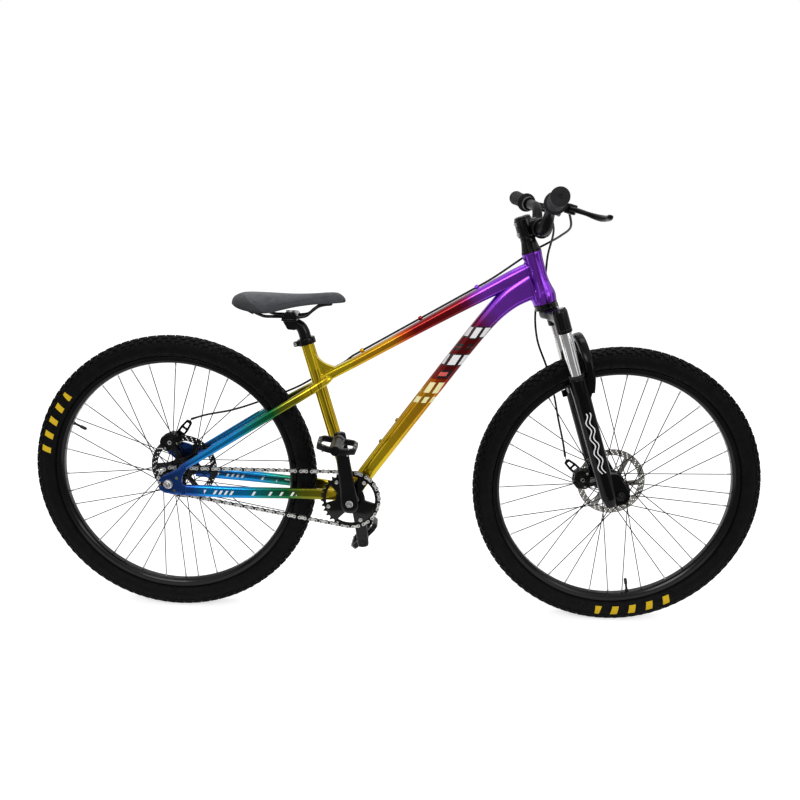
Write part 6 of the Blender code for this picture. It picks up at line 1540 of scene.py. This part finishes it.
def chain_rollers():
    """The rollers' places in the X-Z plane, clockwise from the ring's top, and the sprockets' angles."""
    ring_centre = Vector((BB_CENTRE.x, BB_CENTRE.z))
    cog_centre = Vector((REAR_AXLE.x, REAR_AXLE.z))
    span = ring_centre - cog_centre
    heading = atan2(span.y, span.x)
    spread = asin((RING_RADIUS - COG_RADIUS) / span.length)
    straight = span.length * cos(spread)
    ring_arc = pi + 2 * spread
    cog_arc = pi - 2 * spread
    ring_step = 2 * pi / RING_TEETH
    cog_step = 2 * pi / COG_TEETH
    ring_top = heading + pi / 2 + spread
    on_ring = [ring_top - ring_step * index for index in range(int(ring_arc / ring_step) + 1)]
    points = [flat_point(ring_centre, RING_RADIUS, angle) for angle in on_ring]
    upper = int(straight / CHAIN_PITCH)
    overrun = (CHAIN_PITCH * (upper + 1) - straight) / COG_RADIUS
    count = int((cog_arc - overrun) / cog_step) + 1
    on_cog = [ring_top + overrun + cog_step * index for index in reversed(range(count))]
    lower_start = ring_arc - ring_step * (len(on_ring) - 1)
    lower_end = cog_arc - overrun - cog_step * (count - 1)
    lower_length = lower_start * RING_RADIUS + straight + lower_end * COG_RADIUS
    lower = round(lower_length / CHAIN_PITCH)
    if (len(on_ring) + lower - 1 + count + upper) % 2:
        lower += 1 if lower_length / CHAIN_PITCH > lower else -1
    leave = flat_point(ring_centre, RING_RADIUS, ring_top - ring_arc)
    arrive = flat_point(cog_centre, COG_RADIUS, ring_top + cog_arc)
    for index in range(1, lower):
        run = lower_length * index / lower - lower_start * RING_RADIUS
        if run < 0:
            points.append(flat_point(ring_centre, RING_RADIUS, ring_top - ring_arc - run / RING_RADIUS))
        elif run > straight:
            points.append(flat_point(cog_centre, COG_RADIUS,
                                     ring_top + cog_arc - (run - straight) / COG_RADIUS))
        else:
            points.append(leave.lerp(arrive, run / straight))
    points += [flat_point(cog_centre, COG_RADIUS, angle) for angle in on_cog]
    toward_ring = (points[0] - flat_point(cog_centre, COG_RADIUS, ring_top)).normalized()
    points += [points[0] - toward_ring * CHAIN_PITCH * index for index in range(upper, 0, -1)]
    return points, ring_top, on_cog[-1]


ROLLERS, RING_START, COG_START = chain_rollers()


def link_outline(length):
    """A chain plate's waisted edge between two pins."""
    end = arc(0.004, 60, 300, 9)
    other = [(length - x, -y) for x, y in end]
    return [*end, (length * 0.36, -0.0027), (length * 0.64, -0.0027), *other, (length * 0.64, 0.0027),
            (length * 0.36, 0.0027)]


def fine_chain():
    shapes = []
    for index, here in enumerate(ROLLERS):
        after = ROLLERS[(index + 1) % len(ROLLERS)]
        origin = Vector((here.x, -CHAIN_LINE, here.y))
        way = Vector((after.x - here.x, 0, after.y - here.y))
        heading = way.normalized()
        outer = (index + 1) % 2 == 0
        for side in BOTH:
            depth = 0.00165 + (0.0013 if outer else 0) + 0.00055
            link = plate(link_outline(way.length), [], origin + Y_AXIS * side * depth, heading,
                         quarter(heading), 0.001)
            shapes.append(painted(link, 0 if outer else 1))
        shapes += [painted(pin(origin, Y_AXIS, -0.0041, 0.0041, 0.0018, 14, 0.0003)),
                   pin(origin, Y_AXIS, -0.0016, 0.0016, 0.003, 14, 0.0002)]
    put("chain", merged(*shapes), CHAIN_STEEL, DARK_STEEL, smooth=30)


def toothed(teeth, pitch_radius, start):
    """A sprocket's edge: a round seat for each roller and a flat-topped tooth between."""
    step = 2 * pi / teeth
    seat, tip = 0.0037, pitch_radius + 0.0025
    points = []
    for tooth in range(teeth):
        angle = start + tooth * step
        for turn in range(70, -71, -28):
            lean = angle + pi + radians(turn)
            points.append((pitch_radius * cos(angle) + seat * cos(lean),
                           pitch_radius * sin(angle) + seat * sin(lean)))
        for share in (0.44, 0.56):
            points.append((tip * cos(angle + step * share), tip * sin(angle + step * share)))
    return points


SPROCKET_THICK = 0.0026
# The chainring's windows: each one's middle angle and half its width, in degrees
RING_WINDOWS = [(-96, 25), (19, 27), (95, 23), (167, 23)]


def fine_chainring():
    origin = BB_CENTRE - Y_AXIS * CHAIN_LINE
    windows = []
    for middle, half in RING_WINDOWS:
        window = soften([*arc(0.057, middle - half, middle + half, 14),
                         *arc(0.034, middle + half - 7, middle - half + 7, 8)], 0.003)
        windows.append(plate(window, [], origin, X_AXIS, Z_AXIS, 0.01))
    ring = plate(toothed(RING_TEETH, RING_RADIUS, RING_START), [circle(0.0171, 48)], origin, X_AXIS, Z_AXIS,
                 SPROCKET_THICK, 0.0004)
    lip = sleeve(0.0578, 0.0612, -0.0022, 0.0022, origin, Y_AXIS, 120)
    put("chainring", merged(combine(ring, cut=windows), lip), SATIN_BLACK)


def fine_cog():
    teeth = plate(toothed(COG_TEETH, COG_RADIUS, COG_START), [circle(0.02, 48)],
                  REAR_AXLE - Y_AXIS * CHAIN_LINE,
                  X_AXIS, Z_AXIS, SPROCKET_THICK, 0.0004)
    body = turned([(0.0168, 0.0375), (0.0222, 0.0375), (0.0222, 0.053), (0.021, 0.054), (0.0168, 0.054)],
                  REAR_AXLE, -Y_AXIS, 72, ring=True)
    face = REAR_AXLE - Y_AXIS * 0.0538
    pins = [bolt(face + polar(radians(turn)) * 0.0192, -Y_AXIS, 0.0014, 0.0004, 0.5)
            for turn in range(30, 360, 90)]
    put("freewheel_cog", merged(teeth, body, *pins), DARK_STEEL)


def fine_crank(side, name):
    along = CRANK_UP * -side
    outward = Y_AXIS * side
    pedal_centre = BB_CENTRE + along * CRANK_LENGTH
    inner, thick, flare = 0.062, 0.014, 0.008
    sections = [(-0.0205, 0.007, 0.0, 0.0045), (-0.019, 0.0135, 0.0, 0.0062), (-0.006, 0.02, 0.0, 0.007),
                (0.03, 0.018, 0.0, 0.007), (CRANK_LENGTH - 0.05, 0.015, flare * 0.85, 0.0068),
                (CRANK_LENGTH + 0.004, 0.0138, flare, 0.007), (CRANK_LENGTH + 0.0118, 0.009, flare, 0.0062),
                (CRANK_LENGTH + 0.013, 0.005, flare, 0.0045)]

    def section(run, half, out, deep):
        middle = BB_CENTRE + along * run + outward * (inner + thick / 2 + out)
        return oval(middle, along.cross(Y_AXIS), Y_AXIS, half, deep, 36, 3.4)

    bore = pin(BB_CENTRE, outward, 0.03, 0.1, SPINDLE_ROOM, 48)
    pedal_bore = pin(pedal_centre, outward, 0.05, 0.11, 0.0076, 48)
    shapes = [combine(loft(sections, 5, section), cut=[bore, pedal_bore]),
              sleeve(SPINDLE_ROOM, 0.0165, 0.04, inner + 0.004, BB_CENTRE, outward, 64)]
    if side == RIGHT:
        outline = []
        for (middle, half), (next_middle, next_half) in zip(RING_WINDOWS,
                                                            RING_WINDOWS[1:] + RING_WINDOWS[:1]):
            next_middle += 360 if next_middle < middle else 0
            outline += [*arc(0.0325, middle - half + 9, middle + half - 9, 6),
                        *arc(0.06, middle + half + 2, next_middle - next_half - 2, 8)]
        plane = CHAIN_LINE + SPROCKET_THICK / 2 + GAP
        shapes += [plate(outline, [circle(0.015, 32)], BB_CENTRE - Y_AXIS * (plane + 0.002), X_AXIS, Z_AXIS,
                         0.004, 0.0008, 0.0025),
                   turned([(0.015, plane + 0.003), (0.025, plane + 0.003), (0.0195, inner + 0.002),
                           (0.015, inner + 0.002)], BB_CENTRE, outward, 64, ring=True)]
        for middle, half in RING_WINDOWS:
            corner = polar(radians(middle + half + 8)) * 0.0535
            shapes.append(painted(bolt(BB_CENTRE + corner - Y_AXIS * (plane + 0.0038), -Y_AXIS, 0.0045,
                                       0.0014)))
    put("crank_arm_" + name, merged(*shapes), GLOSS_BLACK, BOLT_STEEL)


def fine_spindle():
    end = 0.073
    core = pin(BB_CENTRE, Y_AXIS, -end, end, 0.009, 48, 0.001)
    heads = [bolt(BB_CENTRE + Y_AXIS * side * end, Y_AXIS * side, 0.0084, 0.0044, 0.5) for side in BOTH]
    put("crank_spindle", merged(core, *heads), BRIGHT_STEEL)


def fine_pedal(side, name, tilt):
    centre = BB_CENTRE + CRANK_UP * -side * CRANK_LENGTH
    outward = Y_AXIS * side
    length, width, height, inner = 0.088, 0.082, 0.013, 0.0965
    outer_end, outer_face = inner + width, 0.084
    axle = turned([(0.007, 0.071), (0.007, outer_face + GAP), (0.0095, outer_face + GAP),
                   (0.0095, inner - 0.0035),
                   (0.006, inner - 0.0035), (0.0048, outer_end - 0.012)], centre, outward, 48)
    put("pedal_axle_" + name, axle, DARK_STEEL)
    forward = polar(-tilt)
    upward = forward.cross(outward)
    half = length / 2
    outline = [(-half + 0.01, 0), (half - 0.01, 0), (half, 0.014), (half - 0.002, width - 0.016),
               (half - 0.02, width - 0.004), (0.012, width), (-0.012, width), (-half + 0.02, width - 0.004),
               (-half + 0.002, width - 0.016), (-half, 0.014)]
    window = [(0.0135, 0.0085), (half - 0.012, 0.0085), (half - 0.0085, 0.0165),
              (half - 0.0105, width - 0.0215),
              (half - 0.024, width - 0.0125), (0.0135, width - 0.009)]
    windows = [soften(shape, 0.003) for shape in (window, [(-x, y) for x, y in reversed(window)])]
    bore = pin(centre, outward, inner - 0.02, outer_end - 0.011, AXLE_ROOM, 40)
    root = centre + outward * inner
    body = combine(plate(outline, windows, root, forward, outward, height, 0.0016, 0.004), cut=[bore])
    barrel = turned([(AXLE_ROOM, -0.003), (0.0118, -0.003), (0.0125, -0.001), (0.0125, 0.012),
                     (0.0105, 0.018),
                     (0.01, width - 0.012), (0.0112, width - 0.002), (0.0105, width + 0.001),
                     (0.0001, width + 0.001),
                     (0.0001, width - 0.011), (AXLE_ROOM, width - 0.011)], root, outward, 48, True)
    shapes = [body, barrel]
    for face in BOTH:
        for ahead, out in ((half - 0.0045, 0.02), (half - 0.005, 0.04), (half - 0.006, 0.06),
                           (half - 0.017, width - 0.008)):
            for way in BOTH:
                foot = centre + outward * (inner + out) + forward * way * ahead + upward * face * height / 2
                shapes.append(painted(pin(foot, upward * face, -0.001, 0.0024, 0.0018, 12)))
    put("pedal_" + name, merged(*shapes), SATIN_BLACK, BOLT_STEEL)


fine_hubs()
REAR_RUBBER = tyre_rubber("rear_tyre_rubber", REAR_AXLE, 141, 0.0362)
FRONT_RUBBER = tyre_rubber("front_tyre_rubber", FRONT_AXLE, -95, 0.042)
REAR_STEEL = rotor_steel("rear_rotor_steel", REAR_AXLE, tint(34, 34, 36), tint(84, 84, 86))
FRONT_STEEL = rotor_steel("front_rotor_steel", FRONT_AXLE, tint(136, 134, 128), tint(196, 194, 186))
for prefix, centre, rubber, steel, rotor_side, valve_angle in (
        ("rear", REAR_AXLE, REAR_RUBBER, REAR_STEEL, REAR_ROTOR_SIDE, 154),
        ("front", FRONT_AXLE, FRONT_RUBBER, FRONT_STEEL, FRONT_ROTOR_SIDE, -79)):
    fine_rim(prefix + "_rim", centre)
    fine_tyre(prefix + "_tyre", centre, rubber)
    fine_rotor(prefix + "_rotor", centre, rotor_side, steel)
    fine_valve(prefix + "_valve", centre, radians(valve_angle))
fine_chain()
fine_chainring()
fine_cog()
fine_spindle()
for side, name, tilt in ((-1, "right", radians(8)), (1, "left", radians(-48))):
    fine_crank(side, name)
    fine_pedal(side, name, tilt)


# The cockpit

BAR_KNOTS = [(0.0, 0.0, 0.0), (0.0, 0.048, 0.0), (0.0008, 0.066, 0.0048), (0.003, 0.1, 0.0345),
             (0.003, 0.124, 0.045), (-0.005, 0.205, 0.0512), (-0.019, 0.354, 0.064)]
BAR_END = 0.0111
BAR_MIDDLE = 0.0159
PERCH_PLACE = 0.198
PIVOT_FORWARD = 0.032
LEVER_TILT = radians(14)
LEVER_FORWARD = Vector((cos(LEVER_TILT), 0, -sin(LEVER_TILT)))
LEVER_AXIS = Vector((sin(LEVER_TILT), 0, cos(LEVER_TILT)))
GRIP_LENGTH = 0.132


def bar_point(left):
    """A point on the bar's centre line, from its distance to the side."""
    reach = abs(left)
    near, far = next((a, b) for a, b in zip(BAR_KNOTS, BAR_KNOTS[1:]) if reach <= b[1])
    share = (reach - near[1]) / (far[1] - near[1])
    return BAR_CENTRE + Vector((near[0] + (far[0] - near[0]) * share, left,
                                near[2] + (far[2] - near[2]) * share))


def bar_heading(side):
    near, far = BAR_KNOTS[-2], BAR_KNOTS[-1]
    return Vector((far[0] - near[0], side * (far[1] - near[1]), far[2] - near[2])).normalized()


def lever_point(side, forward, outward, rise=0.0):
    """A point from the bar's centre at the perch: ahead of it, outward of it, and up the pivot's axis."""
    middle = bar_point(side * PERCH_PLACE)
    return middle + LEVER_FORWARD * forward + Y_AXIS * side * outward + LEVER_AXIS * rise


def fine_stem():
    clamp = 0.0219
    middle = (STEM_TOP + STEM_BOTTOM) / 2
    bar_bore = (BAR_CENTRE, Y_AXIS, -0.05, 0.05, BAR_MIDDLE + 2 * GAP, 72)
    post = turned([(STEERER_ROOM, STEM_TOP), (0.0195, STEM_TOP), (0.0195, STEM_BOTTOM - 0.0025),
                   (0.0176, STEM_BOTTOM - 0.0004), (STEERER_ROOM, STEM_BOTTOM - 0.0004)],
                  HEAD_TOP, STEER_DOWN, 72, ring=True, cut=0.0012)

    def section(forward, down, half, height):
        return oval(head_point(middle + down, forward), Y_AXIS, STEER_DOWN, half, height, 40, 5.0)

    neck = loft([(-0.01, 0.0, 0.016, 0.0172), (0.006, 0.001, 0.0158, 0.017), (0.016, 0.002, 0.0175, 0.0174),
                 (0.027, 0.003, 0.0205, 0.0184)], 5, section)
    neck = combine(neck,
                   cut=[pin(HEAD_TOP, STEER_DOWN, STEM_TOP - 0.02, 0, STEERER_ROOM, 64), pin(*bar_bore)])
    profile = [(clamp - 0.002, -0.023), (clamp, -0.021), (clamp, 0.021), (clamp - 0.002, 0.023)]
    ahead = block(BAR_CENTRE + STEER_FORWARD * 0.036, (0.066, 0.08, 0.08), STEER_TURN, 0)
    rear_clamp = combine(turned(profile, BAR_CENTRE, Y_AXIS, 80), cut=[pin(*bar_bore), ahead])
    bolts = []
    for down in (-0.0115, 0.0115):
        for side in BOTH:
            centre = head_point(middle + down, -0.0165, side * 0.0062)
            bolts.append(painted(pin(centre, Y_AXIS * side, -0.004, 0.005, 0.004)))
    put("stem", merged(post, neck, rear_clamp, *bolts), GLOSS_BLACK, BOLT_STEEL)
    window = block(BAR_CENTRE + STEER_FORWARD * 0.03, (0.03, 0.016, 0.015), STEER_TURN, 0)
    behind = block(BAR_CENTRE - STEER_FORWARD * 0.028, (0.065, 0.08, 0.08), STEER_TURN, 0)
    face = combine(turned(profile, BAR_CENTRE, Y_AXIS, 80), cut=[pin(*bar_bore), behind, window])
    bolts = []
    for angle in (-52, 52):
        outward = STEER_FORWARD * cos(radians(angle)) + STEER_DOWN * sin(radians(angle))
        for side in BOTH:
            foot = BAR_CENTRE + outward * (clamp - 0.0024) + Y_AXIS * side * 0.0155
            bolts.append(painted(bolt(foot, outward, 0.0036, 0.0026)))
    put("stem_faceplate", merged(face, *bolts), GLOSS_BLACK, BOLT_STEEL)
    cap = turned([(0.014, STEM_TOP - 0.0062), (0.018, STEM_TOP - 0.004), (0.018, STEM_TOP - GAP),
                  (0.009, STEM_TOP - GAP), (0.009, STEM_TOP + 0.0017)], HEAD_TOP, STEER_DOWN, 64)
    head = painted(bolt(head_point(STEM_TOP - 0.006), -STEER_DOWN, 0.0044, 0.0004, 0.6))
    put("stem_top_cap", merged(cap, head), GLOSS_BLACK, BOLT_STEEL)


def fine_handlebar():
    half = [BAR_CENTRE + Vector(knot) for knot in BAR_KNOTS]
    bend = smooth_points([half[1], *half[2:5]], 0.004)
    left_half = [half[0] + (half[1] - half[0]) * 0.5, *bend]
    left_half += [near.lerp(far, step / 12) for near, far in zip(half[4:], half[5:]) for step in range(1, 13)]
    points = [Vector((point.x, -point.y, point.z)) for point in reversed(left_half)] + left_half
    radii = []
    for point in points:
        share = min(max((abs(point.y) - BAR_KNOTS[1][1]) / 0.052, 0), 1)
        radii.append(BAR_MIDDLE + (BAR_END - BAR_MIDDLE) * share * share * (3 - 2 * share))
    put("handlebar", piped(points, radii, 40, Z_AXIS), BAR_BLACK)


def fine_grip(side, name):
    heading = bar_heading(side)
    outer_end = bar_point(side * 0.354)
    start = outer_end - heading * (GRIP_LENGTH - 0.003)
    bore = BAR_END + 2 * GAP
    radius = 0.017
    profile = [(bore, 0.0), (0.021, 0.0), (0.022, 0.001), (0.022, 0.0028), (0.021, 0.0036), (0.016, 0.006)]
    for rib in range(26):
        run = 0.009 + rib * 0.0044
        profile += [(radius - 0.0015, run), (radius - 0.0003, run + 0.0008), (radius - 0.0003, run + 0.0026),
                    (radius - 0.0015, run + 0.0034)]
    profile += [(0.0168, GRIP_LENGTH - 0.007), (0.0175, GRIP_LENGTH - 0.0058), (0.0175, GRIP_LENGTH - 0.0012),
                (0.0172, GRIP_LENGTH + 0.001), (0.0045, GRIP_LENGTH + 0.001), (0.004, GRIP_LENGTH - 0.0012),
                (0.0001, GRIP_LENGTH - 0.0012), (0.0001, GRIP_LENGTH - 0.0025), (bore, GRIP_LENGTH - 0.0025)]
    put("grip_" + name, turned(profile, start, heading, 72, ring=True, cut=0.0004), GRIP, smooth=45)


def fine_perch(side, name):
    base = bar_point(side * PERCH_PLACE)
    heading = bar_heading(side)
    bore = BAR_END + 2 * GAP
    band = turned([(bore, -0.0075), (0.0152, -0.0075), (0.016, -0.0065), (0.016, 0.0065), (0.0152, 0.0075),
                   (bore, 0.0075)], base, heading, 64, ring=True)
    turn = axes(LEVER_FORWARD, Y_AXIS * side, LEVER_AXIS * side)
    hole = pin(base, heading, -0.03, 0.03, bore, 48)
    arm = combine(block(lever_point(side, 0.019, -0.0035), (0.02, 0.013, 0.016), turn, 0.003), cut=[hole])
    slot = block(lever_point(side, 0.0365, 0.0115), (0.026, 0.04, 0.0106), turn, 0)
    nose = combine(block(lever_point(side, 0.033, -0.0035), (0.022, 0.017, 0.019), turn, 0.0026), cut=[slot])
    near, far = lever_point(side, 0.031, -0.01), lever_point(side, 0.033, -0.03)
    barrel = turned([(0.0038, 0), (0.0038, 0.007), (0.005, 0.0074), (0.005, 0.013), (0.0042, 0.0136),
                     (0.0042, 0.015), (0.0036, 0.0156), (0.0034, (far - near).length)], near, far - near, 40,
                    cut=0.0003)
    pivot = lever_point(side, PIVOT_FORWARD, 0.0)
    steel = [pin(pivot, LEVER_AXIS, -0.008, 0.008, 0.0024),
             *(bolt(pivot + LEVER_AXIS * way * 0.0086, LEVER_AXIS * way, 0.0036, 0.0014) for way in BOTH),
             bolt(lever_point(side, 0.015, 0.0028), Y_AXIS * side, 0.0034, 0.002)]
    put("brake_perch_" + name, merged(band, arm, nose, barrel, painted(merged(*steel))), SATIN_BLACK,
        BOLT_STEEL)


def fine_lever(side, name):
    pivot = lever_point(side, PIVOT_FORWARD, 0.0)
    centre_line = [(0.0, 0.0, 0.0062, 0.005, 0.0), (0.014, 0.012, 0.0068, 0.005, 0.0),
                   (0.03, 0.023, 0.0056, 0.0046, -0.0012), (0.043, 0.034, 0.0056, 0.0056, -0.0026),
                   (0.052, 0.054, 0.005, 0.0062, -0.003), (0.056, 0.082, 0.0048, 0.0052, -0.0016),
                   (0.056, 0.101, 0.0056, 0.0048, 0.0006), (0.0552, 0.1085, 0.004, 0.0036, 0.0014)]
    rows = resampled(centre_line, 8)
    flat = [Vector(row[:2]) for row in rows]
    rings = []
    for index, (forward, outward, half, deep, rise) in enumerate(rows):
        heading = heading_at(flat, index)
        normal = LEVER_FORWARD * heading.y - Y_AXIS * side * heading.x
        centre = pivot + LEVER_FORWARD * forward + Y_AXIS * side * outward + LEVER_AXIS * rise
        rings.append(oval(centre, normal, LEVER_AXIS, half, deep, 28, 3.0))
    blade = combine(skin(rings), cut=[pin(pivot, LEVER_AXIS, -0.01, 0.01, 0.003)])
    heel = sleeve(0.003, 0.0064, -0.0049, 0.0049, pivot, LEVER_AXIS, 40)
    put("brake_lever_" + name, merged(blade, heel), SATIN_BLACK)


# The cables

def rear_cable_route():
    start = lever_point(-1, 0.033, -0.0308)
    line = cable_line()
    line = [line[0] + (line[0] - line[1]) * 0.08, *line, line[2] + (line[2] - line[1]) * 0.08]
    centre, _, _, shift, reach = rear_caliper()
    end = centre + shift + reach + Vector((0.001, REAR_ROTOR_SIDE + CALIPER_HALF + 0.01, 0.0045))
    return [start, start + Vector((0.006, 0.03, -0.002)), (0.356, -0.09, 0.93), (0.348, -0.025, 0.908),
            (0.33, 0.025, 0.89), (0.298, 0.04, 0.87), (0.265, 0.028, 0.848), *line,
            (-0.118, 0.018, 0.6125), (-0.15, 0.0235, 0.5935), (-0.185, 0.031, 0.5735), (-0.23, 0.05, 0.544),
            (-0.31, 0.07, 0.506), (-0.4, 0.079, 0.472), end + Vector((0.03, 0, 0.01)), end]


def front_cable_route():
    start = lever_point(1, 0.033, -0.0308)
    centre, _, _, shift, reach = front_caliper()
    end = centre + shift + reach + Vector((-0.0035, FRONT_ROTOR_SIDE + CALIPER_HALF + 0.009, 0.0085))
    return [start, start + Vector((0.004, -0.03, -0.006)), (0.348, 0.085, 0.915), (0.335, 0.062, 0.86),
            (0.331, 0.064, 0.8), (0.3165, 0.066, 0.745), (0.323, 0.065, 0.668), (0.35, 0.066, 0.6),
            (0.372, 0.074, 0.535), (0.388, 0.078, 0.47), end + Vector((-0.006, 0.002, 0.03)), end]


def fine_cable(node, route, wire):
    """A brake cable's housing, ferrules and wire, bending between the bodies that it joins."""
    points = smooth_points(route, 0.0055)
    steel = [rod(tip, after + (after - tip), 0.0029, 24) for tip, after in (points[:2], points[:-3:-1])]
    steel.append(rod(points[-1], points[-1] + Vector(wire), 0.0011, 12))
    shape = merged(piped(points, 0.0025, 16, Z_AXIS), painted(merged(*steel)))
    cable = piece_of(node, shape, (HOUSING, DARK_STEEL), 40)
    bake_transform(cable)
    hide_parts(node)


fine_stem()
fine_handlebar()
for side, name in NAMED_SIDES:
    fine_grip(side, name)
    fine_perch(side, name)
    fine_lever(side, name)
fine_cable("rear_brake_cable", rear_cable_route(),
           (-0.004, -0.0018, -0.0085))
fine_cable("front_brake_cable", front_cable_route(),
           (0.0045, -0.0018, -0.0125))


# Light, floor and end

def ray_level(tree, rays, low, high):
    """A strength that is high for some kinds of ray and low for the rest."""
    path = new_node(tree, "ShaderNodeLightPath")
    seen = path.outputs[rays[0]]
    for ray in rays[1:]:
        seen = new_node(tree, "ShaderNodeMath", {0: seen, 1: path.outputs[ray]},
                        operation="MAXIMUM").outputs[0]
    return new_node(tree, "ShaderNodeMapRange",
                    {"Value": seen, "To Min": low, "To Max": high}).outputs["Result"]


def build_world():
    world = bpy.data.worlds.new("studio")
    bpy.context.scene.world = world
    world.use_nodes = True
    background = world.node_tree.nodes["Background"]
    give(background.inputs["Color"], (1, 1, 1, 1))
    rays = ("Is Camera Ray", "Is Glossy Ray", "Is Transmission Ray")
    give(background.inputs["Strength"], ray_level(world.node_tree, rays, 0.55, 1.0))


def area_light(name, place, target, size, power):
    data = bpy.data.lights.new(name, "AREA")
    data.shape = "RECTANGLE"
    data.size, data.size_y = size
    data.energy = power
    lamp = add(name, data)
    lamp.location = place
    lamp.rotation_euler = (Vector(place) - Vector(target)).to_track_quat("Z", "Y").to_euler()


def stage_mesh(name, points, material, hidden_from=()):
    """Rectangles that belong to the studio, four points each, with the kinds of ray that don't see them."""
    mesh = bpy.data.meshes.new(name)
    mesh.from_pydata(points, [], [tuple(range(start, start + 4)) for start in range(0, len(points), 4)])
    mesh.materials.append(material)
    made = add(name, mesh)
    for kind in hidden_from:
        setattr(made, "visible_" + kind, False)


def build_floor():
    """A white floor that glows to the camera and in reflections."""
    material = bpy.data.materials.new("floor_white")
    material.use_nodes = True
    tree = material.node_tree
    tree.nodes.remove(tree.nodes["Principled BSDF"])
    diffuse = new_node(tree, "ShaderNodeBsdfDiffuse", {"Color": (0.8, 0.8, 0.8, 1)})
    level = ray_level(tree, ("Is Camera Ray", "Is Glossy Ray"), 0.0, 0.62)
    glow = new_node(tree, "ShaderNodeEmission", {"Strength": level})
    both = new_node(tree, "ShaderNodeAddShader", {0: diffuse.outputs[0], 1: glow.outputs[0]})
    give(tree.nodes["Material Output"].inputs["Surface"], both.outputs[0])
    stage_mesh("floor", [(-20, -20, 0), (20, -20, 0), (20, 20, 0), (-20, 20, 0)], material)


def dark_cards():
    """Dark cards round the bicycle and before it on the floor, which only reflections show."""
    points = [(-3.2, -4.4, 0.003), (3.2, -4.4, 0.003), (3.2, -0.5, 0.003), (-3.2, -0.5, 0.003)]
    for turns in ((-26, 26), (40, 70), (82, 112), (128, 156), (-70, -40), (-112, -82), (-156, -128)):
        near, far = (Vector((sin(radians(turn)), -cos(radians(turn)), 0)) * 4.5 for turn in turns)
        points += [near, far, far + Z_AXIS * 2.4, near + Z_AXIS * 2.4]
    card = Finish("card_dark", Base_Color=(0.004, 0.004, 0.004, 1), Specular_IOR_Level=0.0,
                  Emission_Color=(1, 1, 1, 1), Emission_Strength=0.28)
    stage_mesh("dark_cards", points, card.material,
               ("camera", "diffuse", "transmission", "volume_scatter", "shadow"))


build_world()
dark_cards()
area_light("key", (-1.2, -3.4, 3.2), (0, 0, 0.5), (2.0, 1.2), 48)
area_light("fill", (2.8, -2.8, 2.0), (0, 0, 0.5), (1.6, 1.6), 26)
area_light("top", (0.0, 0.6, 4.2), (0, 0, 0.4), (2.6, 1.6), 40)
build_floor()
bpy.context.scene.view_settings.view_transform = "Standard"
